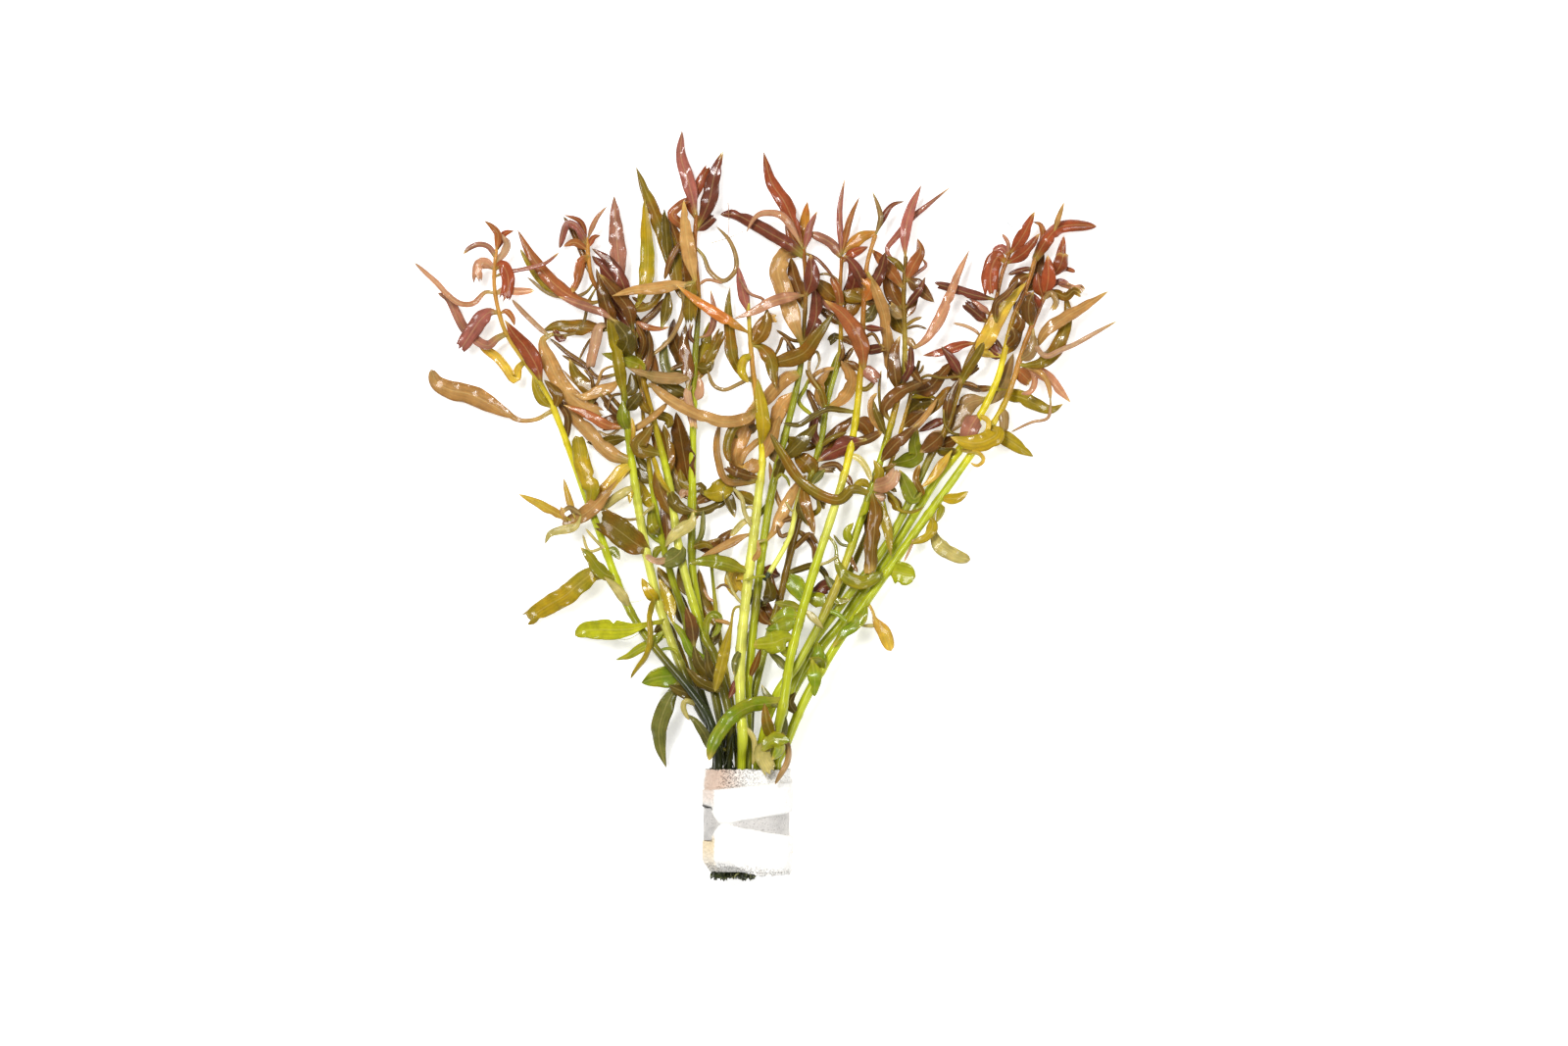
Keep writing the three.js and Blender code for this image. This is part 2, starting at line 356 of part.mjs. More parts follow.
      ["peach", "blade", "over", 3.6, [781, 554, 790, 541, 800, 520, 808, 504, 820, 484]],
      ["drab", "blade", "with", 3.4, [790, 492, 796, 476, 802, 460]],
      ["moss", "ribbon", "with", 1.4, [786, 512, 779, 520, 774, 528]],
      ["moss", "ribbon", "with", 0.9, [789, 497, 796, 484, 803, 488, 806, 497]],
      ["drab", "blade", "over", 3.6, [763, 597, 768, 611, 782, 618]],
      ["drab", "blade", "over", 3.6, [780, 621, 786, 606, 783, 589]],
      ["umber", "blade", "under", 3.2, [771, 618, 778, 630, 787, 637]],
      ["umber", "blade", "with", 2.0, [764, 694, 771, 677, 777, 659]],
      ["plum", "blade", "under", 4.2, [779, 580, 787, 584, 796, 588]],
      ["gold", "blade", "with", 2.6, [774, 616, 769, 636, 764, 650, 761, 665]],
      ["drab", "blade", "with", 4.6, [796, 472, 808, 460, 820, 448, 834, 432]],
      ["umber", "blade", "under", 4.2, [822, 318, 816, 300, 810, 282, 807, 262]],
      ["copper", "blade", "with", 3.0, [820, 262, 811, 249, 806, 234, 803, 216]],
      ["umber", "blade", "under", 3.0, [817, 372, 809, 360, 803, 346]],
      ["khaki", "blade", "under", 3.4, [794, 475, 789, 460, 785, 446]],
      ["olive", "blade", "under", 4.2, [800, 445, 812, 452, 824, 456, 836, 452]]]],
  ["stem_09", 0.85, 0.75, [], 0,
    [780, 592, 790, 577, 798, 563, 807, 543, 811, 525, 815, 504, 822, 485], [
      ["bronze", "blade", "over", 3.2, [815, 485, 821, 509, 827, 529, 831, 547]],
      ["drab", "blade", "with", 2.8, [814, 508, 818, 522, 825, 537]],
      ["umber", "blade", "with", 1.6, [811, 527, 804, 530, 797, 532]],
      ["umber", "ribbon", "with", 1.2, [807, 543, 797, 547, 793, 535]],
      ["celery", "ribbon", "with", 0.7, [812, 524, 806, 519, 801, 511]],
      ["lime", "ribbon", "with", 0.8, [784, 588, 771, 588, 759, 592]]]],
  ["stem_10", 1.25, 1, [763, 894], 9.1,
    [765, 748, 767, 721, 771, 703, 779, 668, 790, 631, 797, 606, 804, 578, 811, 545, 818, 520, 829, 482,
      838, 448, 843, 415, 848, 395, 856, 366, 858, 335, 857, 300, 859, 262], [
      ["rose", "blade", "with", 1.9, [859, 266, 857, 237, 857, 211, 862, 182]],
      ["copper", "blade", "with", 1.9, [859, 262, 867, 225, 877, 201]],
      ["rosewood", "ribbon", "with", 2.8, [860, 262, 847, 248, 826, 238]],
      ["orange", "blade", "with", 3.6, [860, 260, 878, 243, 896, 236]],
      ["rust", "blade", "with", 2.8, [859, 268, 870, 259, 886, 252]],
      ["bronze", "blade", "with", 4.6, [857, 308, 845, 298, 832, 285]],
      ["copper", "ribbon", "with", 2.4, [858, 314, 855, 297, 848, 282]],
      ["olive", "blade", "with", 3.8, [857, 298, 869, 303, 882, 307]],
      ["khaki", "ribbon", "with", 0.8, [858, 288, 845, 280, 832, 281]],
      ["drab", "torn", "with", 2.4, [858, 345, 852, 344, 845, 350]],
      ["umber", "blade", "with", 2.4, [858, 344, 865, 347, 871, 353]],
      ["umber", "blade", "with", 1.4, [855, 372, 860, 360, 857, 346]],
      ["tan", "torn", "with", 3.4, [843, 417, 860, 407, 868, 393, 867, 380, 859, 367]],
      ["umber", "ribbon", "with", 1.6, [853, 376, 863, 366, 871, 354]],
      ["olive", "ribbon", "with", 1.9, [843, 418, 838, 400, 830, 389, 822, 377]],
      ["tan", "ribbon", "under", 1.3, [853, 376, 840, 378, 830, 384, 824, 393]],
      ["khaki", "ribbon", "with", 0.9, [838, 398, 826, 380, 827, 365, 833, 359, 836, 369, 831, 380]],
      ["plum", "ribbon", "with", 2.6, [838, 456, 829, 441, 832, 423]],
      ["olive", "ribbon", "with", 1.5, [836, 456, 848, 447, 864, 441]],
      ["olive", "blade", "over", 5.6, [835, 490, 828, 480, 820, 470, 811, 463]],
      ["khaki", "torn", "with", 1.8, [830, 481, 842, 479, 854, 480]],
      ["sage", "blade", "with", 2.4, [842, 480, 835, 486, 828, 495]],
      ["tan", "ribbon", "with", 1.5, [813, 537, 801, 524, 793, 508, 788, 492, 785, 471]],
      ["gold", "blade", "with", 1.7, [830, 533, 835, 520, 833, 505]],
      ["drab", "torn", "with", 2.2, [826, 500, 837, 509, 841, 520]],
      ["umber", "ribbon", "with", 1.6, [809, 562, 817, 552, 826, 545, 835, 555]],
      ["umber", "ribbon", "with", 1.6, [814, 540, 829, 556, 830, 573]],
      ["drab", "ribbon", "over", 1.9, [804, 586, 815, 581, 832, 577, 842, 586, 845, 598]],
      ["fern", "blade", "over", 5.4, [803, 584, 810, 594, 817, 605, 824, 617]],
      ["celery", "ribbon", "with", 0.9, [809, 556, 804, 552, 799, 556]],
      ["umber", "ribbon", "with", 1.9, [796, 612, 789, 598, 786, 585]],
      ["lime", "ribbon", "under", 1.2, [806, 422, 815, 410, 822, 395, 826, 384]],
      ["plum", "blade", "with", 4.6, [858, 312, 867, 300, 872, 283, 866, 262]],
      ["bronze", "blade", "under", 4.6, [858, 330, 868, 315, 876, 298, 879, 281]],
      ["rosewood", "blade", "under", 3.6, [857, 318, 846, 309, 832, 301]],
      ["umber", "ribbon", "under", 2.6, [857, 330, 846, 322, 836, 315]],
      ["moss", "blade", "with", 3.0, [843, 415, 845, 396, 851, 376, 855, 358]],
      ["tan", "blade", "under", 3.0, [843, 420, 836, 406, 837, 390, 847, 378]],
      ["umber", "ribbon", "under", 2.2, [839, 434, 831, 414, 823, 397]],
      ["umber", "torn", "under", 3.6, [789, 634, 783, 625, 779, 613]],
      ["umber", "blade", "under", 4.4, [829, 475, 842, 458, 856, 440, 872, 424]]]],
  ["stem_11", 1.5, 1.1, [783, 890], 15.5,
    [787, 765, 794, 741, 799, 718, 802, 699, 807, 667, 815, 635, 825, 600, 832, 578, 843, 543, 854, 510,
      864, 474, 870, 441, 876, 402, 878, 375, 881, 340, 882, 310, 884, 275, 893, 240], [
      ["khaki", "blade", "with", 1.6, [892, 244, 898, 222, 890, 196]],
      ["plum", "blade", "with", 1.9, [893, 243, 900, 224, 910, 210, 923, 206]],
      ["orange", "torn", "with", 3.2, [882, 308, 888, 296, 879, 284]],
      ["tan", "torn", "with", 3.3, [884, 276, 894, 299, 902, 322, 905, 345, 907, 368, 910, 389]],
      ["copper", "blade", "over", 5.2, [881, 378, 879, 354, 871, 336, 858, 320, 841, 307]],
      ["plum", "blade", "with", 2.0, [882, 334, 892, 336, 902, 336]],
      ["plum", "torn", "with", 2.6, [880, 359, 892, 357, 903, 354]],
      ["rosewood", "torn", "with", 3.6, [878, 374, 886, 380, 897, 389]],
      ["umber", "blade", "with", 2.2, [878, 380, 871, 373, 863, 369]],
      ["olive", "ribbon", "with", 1.5, [877, 397, 884, 397, 892, 389]],
      ["drab", "blade", "with", 3.8, [882, 330, 889, 320, 893, 310]],
      ["umber", "ribbon", "with", 1.0, [881, 347, 890, 341, 898, 353]],
      ["umber", "ribbon", "with", 2.6, [882, 308, 893, 309, 904, 312]],
      ["drab", "ribbon", "over", 1.7, [874, 421, 858, 419, 845, 418, 830, 425, 815, 434, 799, 432]],
      ["umber", "blade", "under", 5.2, [873, 428, 882, 434, 891, 448]],
      ["umber", "ribbon", "with", 2.6, [869, 453, 884, 449, 900, 441]],
      ["plum", "blade", "under", 5.6, [883, 446, 866, 454, 850, 461, 834, 471]],
      ["celery", "ribbon", "with", 1.9, [867, 464, 876, 468, 884, 478, 889, 491]],
      ["umber", "ribbon", "with", 1.7, [862, 483, 853, 474, 837, 476]],
      ["umber", "blade", "with", 1.9, [862, 482, 866, 490, 870, 498]],
      ["moss", "club", "over", 3.8, [843, 545, 852, 556, 854, 573, 862, 587, 880, 594, 901, 584]],
      ["celery", "ribbon", "with", 0.9, [835, 578, 845, 573, 856, 566]],
      ["moss", "blade", "with", 4.2, [817, 628, 803, 626, 787, 634]],
      ["drab", "blade", "with", 3.0, [819, 620, 804, 617, 790, 614]],
      ["fern", "blade", "with", 4.4, [815, 634, 801, 637, 791, 641, 781, 641]],
      ["lime", "round", "over", 6.0, [802, 650, 789, 655, 769, 657]],
      ["celery", "blade", "with", 2.2, [819, 620, 829, 629, 840, 641]],
      ["lime", "blade", "with", 3.6, [810, 656, 806, 664, 795, 663]],
      ["sage", "blade", "under", 2.4, [803, 685, 795, 673, 784, 664]],
      ["lime", "ribbon", "over", 4.2, [798, 715, 782, 716, 765, 719, 750, 728, 737, 743, 729, 757,
        724, 774]],
      ["olive", "blade", "over", 3.6, [791, 754, 783, 736, 780, 715]],
      ["sage", "blade", "with", 2.4, [797, 722, 785, 711, 777, 697]],
      ["sage", "blade", "with", 3.4, [790, 758, 797, 745, 801, 727]],
      ["celery", "torn", "over", 4.6, [771, 752, 778, 765, 788, 787]],
      ["fern", "blade", "over", 4.4, [773, 759, 788, 753, 807, 754]],
      ["fern", "blade", "over", 3.6, [790, 751, 795, 762, 788, 773]],
      ["khaki", "ribbon", "over", 1.8, [800, 747, 804, 761, 803, 777, 791, 798]],
      ["plum", "blade", "with", 3.4, [883, 300, 878, 284, 870, 270, 860, 260]],
      ["plum", "blade", "with", 4.0, [883, 306, 891, 291, 899, 275, 903, 258]]]],
  ["stem_12", 1.4, 1.1, [773, 890], 12.3,
    [775, 765, 784, 730, 795, 703, 815, 675, 831, 645, 843, 617, 851, 603, 861, 574, 873, 543, 884, 510,
      894, 483, 903, 454, 912, 418, 921, 384, 923, 345, 922, 303, 924, 262], [
      ["rose", "blade", "with", 3.2, [924, 266, 923, 241, 929, 214, 940, 189]],
      ["rose", "blade", "with", 1.9, [923, 276, 905, 257, 916, 240, 930, 223, 947, 209, 971, 190]],
      ["copper", "blade", "with", 3.6, [923, 290, 932, 271, 939, 257, 936, 244]],
      ["rose", "ribbon", "with", 1.0, [923, 289, 937, 278, 945, 271, 941, 264]],
      ["olive", "blade", "with", 2.0, [923, 280, 914, 268, 903, 262]],
      ["umber", "blade", "with", 4.0, [922, 284, 934, 291, 943, 300, 953, 309]],
      ["copper", "blade", "with", 3.8, [922, 296, 912, 282, 901, 268, 889, 254]],
      ["plum", "blade", "with", 2.2, [922, 316, 937, 298, 944, 283]],
      ["umber", "blade", "with", 2.8, [922, 326, 930, 313, 937, 299]],
      ["olive", "ribbon", "with", 1.0, [923, 334, 932, 327, 941, 324]],
      ["umber", "ribbon", "with", 0.8, [923, 336, 935, 333, 946, 336]],
      ["salmon", "blade", "over", 3.2, [928, 357, 943, 348, 956, 330, 964, 313, 975, 285, 989, 255]],
      ["khaki", "blade", "with", 2.4, [923, 344, 930, 351, 935, 357]],
      ["umber", "blade", "with", 4.0, [919, 402, 913, 382, 912, 362, 918, 343]],
      ["umber", "blade", "with", 2.8, [922, 366, 930, 378, 940, 392]],
      ["umber", "blade", "with", 4.0, [907, 430, 902, 418, 914, 403, 929, 395, 950, 387]],
      ["tan", "ribbon", "over", 1.9, [907, 455, 928, 440, 941, 428, 956, 407]],
      ["tan", "ribbon", "with", 1.7, [905, 444, 890, 427, 889, 410, 895, 401]],
      ["olive", "ribbon", "with", 0.9, [905, 446, 898, 415, 897, 395, 899, 377]],
      ["khaki", "torn", "with", 3.2, [923, 325, 913, 318, 905, 311]],
      ["blush", "torn", "over", 4.4, [893, 500, 907, 492, 915, 479]],
      ["gold", "blade", "over", 3.0, [890, 498, 897, 483, 891, 469]],
      ["olive", "blade", "with", 1.6, [895, 482, 908, 477, 915, 472]],
      ["olive", "ribbon", "over", 2.0, [888, 500, 894, 490, 905, 494, 915, 502]],
      ["gold", "blade", "over", 2.4, [889, 498, 879, 492, 868, 500]],
      ["olive", "ribbon", "over", 3.0, [887, 504, 869, 500, 857, 510, 843, 508, 825, 498, 811, 484,
        799, 465, 786, 443]],
      ["bronze", "torn", "over", 3.9, [889, 501, 893, 521, 891, 545, 889, 568, 889, 587]],
      ["blush", "torn", "over", 3.0, [886, 505, 895, 506, 904, 507]],
      ["lime", "blade", "with", 2.4, [885, 508, 883, 519, 876, 527]],
      ["gold", "blade", "with", 3.3, [888, 500, 904, 536, 909, 568]],
      ["umber", "torn", "under", 2.8, [881, 518, 886, 533, 886, 549]],
      ["umber", "ribbon", "with", 1.2, [865, 563, 870, 574, 875, 584]],
      ["lime", "blade", "with", 2.6, [868, 556, 864, 543, 871, 533]],
      ["sage", "ribbon", "with", 0.9, [868, 557, 858, 555, 850, 545]],
      ["fern", "blade", "with", 4.6, [846, 620, 836, 612, 821, 607]],
      ["sage", "blade", "with", 2.4, [852, 602, 848, 595, 842, 587]],
      ["moss", "blade", "with", 2.2, [848, 609, 856, 613, 867, 611]],
      ["fern", "ribbon", "with", 1.3, [842, 622, 853, 625, 864, 634]],
      ["lime", "ribbon", "under", 0.8, [904, 506, 906, 530, 912, 545, 921, 552]],
      ["gold", "ribbon", "with", 1.0, [887, 503, 905, 502, 914, 511, 918, 520, 930, 522, 943, 517]],
      ["umber", "blade", "under", 4.8, [922, 318, 913, 303, 907, 286, 904, 268]],
      ["olive", "blade", "under", 4.6, [922, 342, 914, 326, 907, 308]],
      ["plum", "ribbon", "with", 2.0, [920, 394, 928, 376, 929, 353]],
      ["drab", "blade", "with", 2.2, [905, 446, 898, 431, 893, 419, 891, 408]],
      ["plum", "blade", "with", 4.2, [852, 600, 844, 597, 835, 602, 827, 608]],
      ["umber", "blade", "under", 4.0, [901, 474, 911, 456, 924, 444, 936, 432]]]],
  ["stem_13", 1.1, 0.9, [773, 890], 9.1,
    [777, 762, 786, 728, 799, 702, 820, 668, 837, 640, 855, 608, 873, 568, 889, 532, 903, 492, 912, 460,
      921, 433, 929, 399, 938, 368], [
      ["citron", "blade", "with", 2.0, [929, 406, 943, 403, 956, 407]],
      ["drab", "blade", "under", 5.0, [925, 424, 938, 412, 953, 409]],
      ["umber", "torn", "under", 3.4, [921, 436, 934, 425, 946, 418]],
      ["moss", "blade", "over", 4.8, [939, 484, 934, 466, 933, 452, 936, 437]],
      ["rust", "blade", "with", 2.2, [912, 456, 908, 458, 901, 463]],
      ["umber", "blade", "with", 4.4, [929, 401, 948, 396, 961, 381, 973, 368]],
      ["khaki", "ribbon", "with", 0.8, [934, 384, 940, 378, 942, 372]]]],
  ["stem_14", 1.35, 1.1, [783, 890], 12.3,
    [788, 760, 802, 716, 815, 684, 833, 650, 851, 624, 870, 598, 887, 577, 906, 552, 919, 525, 930, 504,
      942, 479, 952, 460, 964, 440, 974, 405, 987, 369, 1006, 333, 1015, 310, 1022, 280, 1030, 258], [
      ["rust", "torn", "with", 4.8, [1027, 268, 1017, 263, 1010, 280, 1011, 302]],
      ["rust", "blade", "with", 3.5, [1030, 261, 1042, 243, 1055, 217]],
      ["rose", "ribbon", "with", 2.0, [1030, 260, 1022, 253, 1012, 257]],
      ["rosewood", "ribbon", "with", 1.2, [1029, 260, 1028, 248, 1022, 239]],
      ["rust", "blade", "with", 3.6, [1026, 270, 1046, 257, 1060, 239]],
      ["plum", "torn", "with", 2.6, [1016, 306, 1000, 303, 985, 299, 970, 294, 953, 290]],
      ["plum", "torn", "with", 3.2, [1008, 330, 994, 318, 983, 309]],
      ["rosewood", "torn", "with", 2.2, [1011, 322, 998, 312, 987, 307]],
      ["blush", "ribbon", "with", 1.0, [1001, 344, 995, 338, 985, 333, 972, 330]],
      ["rust", "blade", "with", 2.8, [997, 350, 982, 352, 968, 357, 955, 361, 941, 363]],
      ["plum", "blade", "with", 3.0, [984, 386, 974, 372, 966, 361, 960, 354]],
      ["olive", "ribbon", "with", 0.9, [982, 384, 960, 386, 945, 384, 934, 391]],
      ["bronze", "blade", "with", 3.2, [978, 396, 968, 399, 958, 409, 946, 426]],
      ["umber", "torn", "with", 1.7, [982, 386, 990, 380, 999, 374]],
      ["umber", "ribbon", "with", 1.3, [979, 391, 990, 392, 998, 396]],
      ["umber", "blade", "with", 5.0, [966, 440, 954, 450, 938, 462]],
      ["olive", "ribbon", "with", 2.4, [953, 457, 963, 460, 976, 459]],
      ["bronze", "ribbon", "over", 1.9, [948, 513, 940, 503, 934, 489, 938, 474]],
      ["amber", "blade", "with", 2.9, [972, 471, 960, 475, 951, 487, 939, 498]],
      ["moss", "blade", "over", 4.4, [943, 516, 932, 509, 925, 496, 917, 479]],
      ["plum", "blade", "with", 2.6, [967, 427, 952, 433, 936, 441]],
      ["blush", "ribbon", "with", 0.8, [963, 440, 953, 441, 942, 451]],
      ["olive", "ribbon", "with", 2.6, [980, 392, 988, 376, 997, 362, 1003, 350]],
      ["umber", "blade", "under", 3.4, [982, 388, 971, 380, 966, 371]],
      ["umber", "blade", "with", 2.8, [968, 434, 966, 416, 972, 398, 979, 386]],
      ["umber", "blade", "under", 4.0, [954, 457, 966, 452, 979, 446]],
      ["olive", "blade", "under", 3.4, [920, 523, 912, 512, 905, 502]]]],
  ["stem_15", 1.55, 1.2, [783, 890], 9.1,
    [790, 762, 801, 722, 816, 692, 840, 657, 857, 637, 876, 608, 888, 594, 899, 579, 915, 551, 928, 531,
      939, 514, 954, 491, 968, 474, 980, 457, 999, 424, 1015, 393, 1024, 360, 1033, 327, 1040, 308,
      1050, 285, 1058, 255], [
      ["copper", "blade", "with", 2.0, [1058, 256, 1064, 242, 1061, 230, 1053, 227]],
      ["rust", "ribbon", "with", 3.6, [1056, 266, 1067, 246, 1080, 233, 1097, 230, 1119, 231]],
      ["tan", "blade", "with", 1.6, [1074, 238, 1079, 224, 1085, 207]],
      ["amber", "blade", "over", 4.8, [1001, 358, 1008, 343, 1016, 328, 1025, 313, 1036, 300, 1047, 288]],
      ["umber", "ribbon", "with", 1.9, [1007, 325, 1016, 311, 1027, 301, 1038, 287]],
      ["plum", "torn", "with", 3.8, [1024, 360, 1016, 360, 1008, 353]],
      ["plum", "blade", "with", 1.5, [1024, 362, 1019, 353, 1014, 344]],
      ["umber", "blade", "with", 3.2, [1029, 345, 1041, 331, 1037, 317]],
      ["umber", "blade", "with", 3.0, [1026, 355, 1035, 344, 1031, 333]],
      ["gold", "blade", "with", 4.2, [1014, 395, 1028, 402, 1043, 406, 1058, 413, 1072, 418, 1085, 412]],
      ["umber", "ribbon", "with", 2.0, [1013, 396, 997, 397, 985, 393, 973, 395]],
      ["khaki", "blade", "under", 5.8, [1003, 404, 988, 412, 978, 427, 967, 443]],
      ["plum", "blade", "under", 2.4, [986, 404, 977, 418, 969, 429]],
      ["copper", "round", "over", 5.2, [999, 422, 990, 436, 983, 457]],
      ["olive", "ribbon", "over", 0.9, [987, 443, 973, 443, 964, 434, 962, 417]],
      ["amber", "ribbon", "over", 1.5, [999, 424, 1008, 431, 1004, 446, 995, 449]],
      ["amber", "ribbon", "with", 1.2, [979, 460, 997, 463, 1002, 470, 996, 475, 989, 472]],
      ["celery", "torn", "with", 2.2, [880, 603, 874, 603, 868, 608]],
      ["umber", "blade", "with", 3.6, [1051, 280, 1042, 284, 1034, 292, 1028, 302]],
      ["plum", "ribbon", "with", 1.5, [1052, 274, 1042, 276, 1028, 281]],
      ["umber", "blade", "under", 4.4, [1047, 300, 1056, 286, 1060, 270, 1065, 257]],
      ["umber", "blade", "under", 4.6, [1035, 324, 1043, 312, 1048, 299]],
      ["khaki", "blade", "under", 4.0, [1004, 416, 1018, 402, 1027, 382, 1034, 360]],
      ["bronze", "blade", "under", 3.8, [1023, 364, 1032, 352, 1039, 336, 1042, 320]]]],
  ["stem_16", 1.5, 1.1, [793, 890], 12.3,
    [799, 765, 811, 738, 823, 710, 840, 679, 852, 660, 865, 640, 879, 620, 893, 601, 905, 585, 917, 568,
      930, 550, 941, 534, 951, 519, 960, 505, 968, 493, 978, 479, 991, 463, 1009, 436, 1024, 413,
      1030, 397, 1041, 367, 1047, 347, 1055, 327, 1063, 309, 1070, 290, 1079, 270], [
      ["rust", "torn", "with", 4.0, [1075, 283, 1081, 271, 1085, 257]],
      ["rust", "ribbon", "with", 1.4, [1076, 282, 1086, 275, 1097, 278]],
      ["rust", "blade", "with", 4.2, [1066, 304, 1069, 284, 1068, 261]],
      ["rose", "ribbon", "with", 1.6, [1069, 296, 1080, 288, 1091, 291]],
      ["salmon", "torn", "with", 1.6, [1073, 287, 1086, 291, 1096, 294, 1103, 293, 1106, 299]],
      ["rust", "blade", "with", 2.8, [1077, 276, 1082, 261, 1085, 241]],
      ["olive", "blade", "over", 4.2, [1044, 373, 1062, 370, 1075, 359, 1084, 341, 1089, 320, 1086, 297]],
      ["bronze", "torn", "with", 2.4, [1076, 299, 1087, 303, 1095, 297, 1103, 302]],
      ["tan", "blade", "over", 3.6, [1056, 353, 1067, 338, 1085, 325, 1104, 314, 1131, 297]],
      ["blush", "ribbon", "over", 1.5, [1056, 334, 1056, 352, 1066, 364, 1083, 357, 1097, 351, 1115, 341,
        1139, 328]],
      ["khaki", "torn", "with", 1.8, [1065, 308, 1072, 300, 1077, 308, 1073, 318]],
      ["rust", "blade", "with", 3.4, [1060, 318, 1055, 308, 1046, 298]],
      ["salmon", "blade", "with", 3.4, [1041, 371, 1056, 378, 1069, 386, 1080, 398, 1092, 411]],
      ["copper", "torn", "with", 4.0, [1038, 377, 1044, 383, 1052, 391]],
      ["salmon", "ribbon", "with", 1.7, [1042, 372, 1052, 378, 1055, 389, 1051, 399, 1041, 402]],
      ["peach", "ribbon", "with", 1.6, [1043, 371, 1061, 381, 1069, 394, 1071, 409]],
      ["blush", "ribbon", "with", 0.9, [1071, 414, 1068, 427, 1052, 431, 1031, 441]],
      ["khaki", "torn", "with", 2.8, [1023, 415, 1024, 428, 1024, 442]],
      ["gold", "blade", "with", 4.4, [1011, 438, 1030, 450, 1042, 458, 1054, 466]],
      ["gold", "blade", "over", 5.6, [1012, 434, 1016, 443, 1003, 451, 988, 452, 969, 446]],
      ["citron", "blade", "with", 3.2, [957, 509, 966, 509, 977, 508, 988, 501]],
      ["moss", "blade", "with", 2.2, [955, 513, 960, 519, 955, 533]],
      ["gold", "blade", "with", 3.2, [946, 526, 951, 531, 950, 540, 942, 549, 928, 555]],
      ["peach", "club", "with", 4.2, [954, 515, 952, 531, 953, 545, 958, 556, 968, 563, 978, 568,
        990, 571]],
      ["lime", "round", "with", 6.8, [906, 583, 916, 584, 925, 586, 934, 588]],
      ["blush", "ribbon", "with", 0.8, [934, 545, 930, 556, 922, 573]],
      ["fern", "blade", "with", 3.6, [883, 614, 881, 625, 871, 637, 860, 646, 849, 660]],
      ["amber", "club", "with", 3.8, [884, 613, 890, 623, 894, 634, 902, 645, 909, 664]],
      ["celery", "blade", "with", 1.2, [894, 640, 886, 638, 877, 638]],
      ["fern", "blade", "over", 4.0, [839, 684, 835, 669, 834, 654]],
      ["moss", "blade", "over", 2.4, [843, 685, 836, 673, 825, 671]],
      ["fern", "blade", "over", 4.2, [827, 675, 831, 690, 831, 710]],
      ["drab", "blade", "under", 2.8, [802, 724, 806, 716, 812, 705]],
      ["rust", "blade", "under", 4.2, [1066, 306, 1060, 292, 1058, 278]],
      ["umber", "blade", "under", 4.4, [1053, 335, 1049, 322, 1049, 309, 1054, 298]],
      ["khaki", "blade", "with", 3.4, [1041, 369, 1050, 361, 1054, 351, 1053, 339]]]],
];

// Order in which the shoots lie on each other, lowest first.
const LAID = [
  'stem_06', 'stem_04', 'stem_13', 'stem_10', 'stem_05', 'stem_15', 'stem_14', 'stem_03',
  'stem_02', 'stem_16', 'stem_12', 'stem_08', 'stem_09', 'stem_01', 'stem_07', 'stem_11',
];

const field = new Uint8Array(FIELD_COLUMNS * FIELD_ROWS * LEVELS);
const top = new Float32Array(FIELD_COLUMNS * FIELD_ROWS);
const stemsAt = new Map();

// Pairs of grid steps as points in mm.
function toPoints(route) {
  const points = [];
  for (let i = 0; i < route.length; i += 2) {
    points.push([(route[i] - GRID_COLUMN) * GRID_STEP, (GRID_ROW - route[i + 1]) * GRID_STEP]);
  }
  return points;
}

function distance(a, b) {
  return Math.hypot(a[0] - b[0], a[1] - b[1]);
}

// Running length at each point of a route.
function runLengths(points) {
  const lengths = [0];
  for (let i = 1; i < points.length; i += 1) {
    lengths.push(lengths[i - 1] + distance(points[i - 1], points[i]));
  }
  return lengths;
}

// Distance of a route's point from the chord between its neighbours.
function bendAt(points, i) {
  const [a, b, c] = [points[i - 1], points[i], points[i + 1]];
  const cross = (c[0] - a[0]) * (b[1] - a[1]) - (c[1] - a[1]) * (b[0] - a[0]);
  return Math.abs(cross) / (distance(a, c) || 1);
}

// Drops the straightest points of a route until few enough are left and all of them bend enough.
function thinRoute(points, most, bend) {
  const kept = [...points];
  while (kept.length > 2) {
    let least = 1;
    for (let i = 2; i + 1 < kept.length; i += 1) {
      if (bendAt(kept, i) < bendAt(kept, least)) {
        least = i;
      }
    }
    if (kept.length <= most && bendAt(kept, least) >= bend) {
      break;
    }
    kept.splice(least, 1);
  }
  return kept;
}

// Most stations a leaf of one length has.
function mostStations(length) {
  const [tiny, small, middle, long] = LEAF_SPANS;
  if (length < tiny) {
    return 2;
  }
  if (length < small) {
    return 3;
  }
  if (length < middle) {
    return 4;
  }
  return length < long ? 5 : 6;
}

// Nearest place on a laid piece: its distance, point and height.
function nearestOn(piece, point) {
  let best = null;
  for (let i = 0; i + 1 < piece.points.length; i += 1) {
    const a = piece.points[i];
    const b = piece.points[i + 1];
    const span = (b[0] - a[0]) ** 2 + (b[1] - a[1]) ** 2;
    const along = ((point[0] - a[0]) * (b[0] - a[0]) + (point[1] - a[1]) * (b[1] - a[1])) / span;
    const inset = Math.min(0.45, 1 / Math.sqrt(span));
    const first = i === 0 ? inset : 0;
    const last = i + 2 === piece.points.length ? 1 - inset : 1;
    const t = Math.min(last, Math.max(first, along));
    const at = [a[0] + (b[0] - a[0]) * t, a[1] + (b[1] - a[1]) * t];
    const away = distance(at, point);
    if (best === null || away < best.away) {
      const z = piece.heights ? piece.heights[i] + (piece.heights[i + 1] - piece.heights[i]) * t : 0;
      const half = piece.halves ? piece.halves[i] + (piece.halves[i + 1] - piece.halves[i]) * t : 0;
      best = { away, at, z, half };
    }
  }
  return best;
}

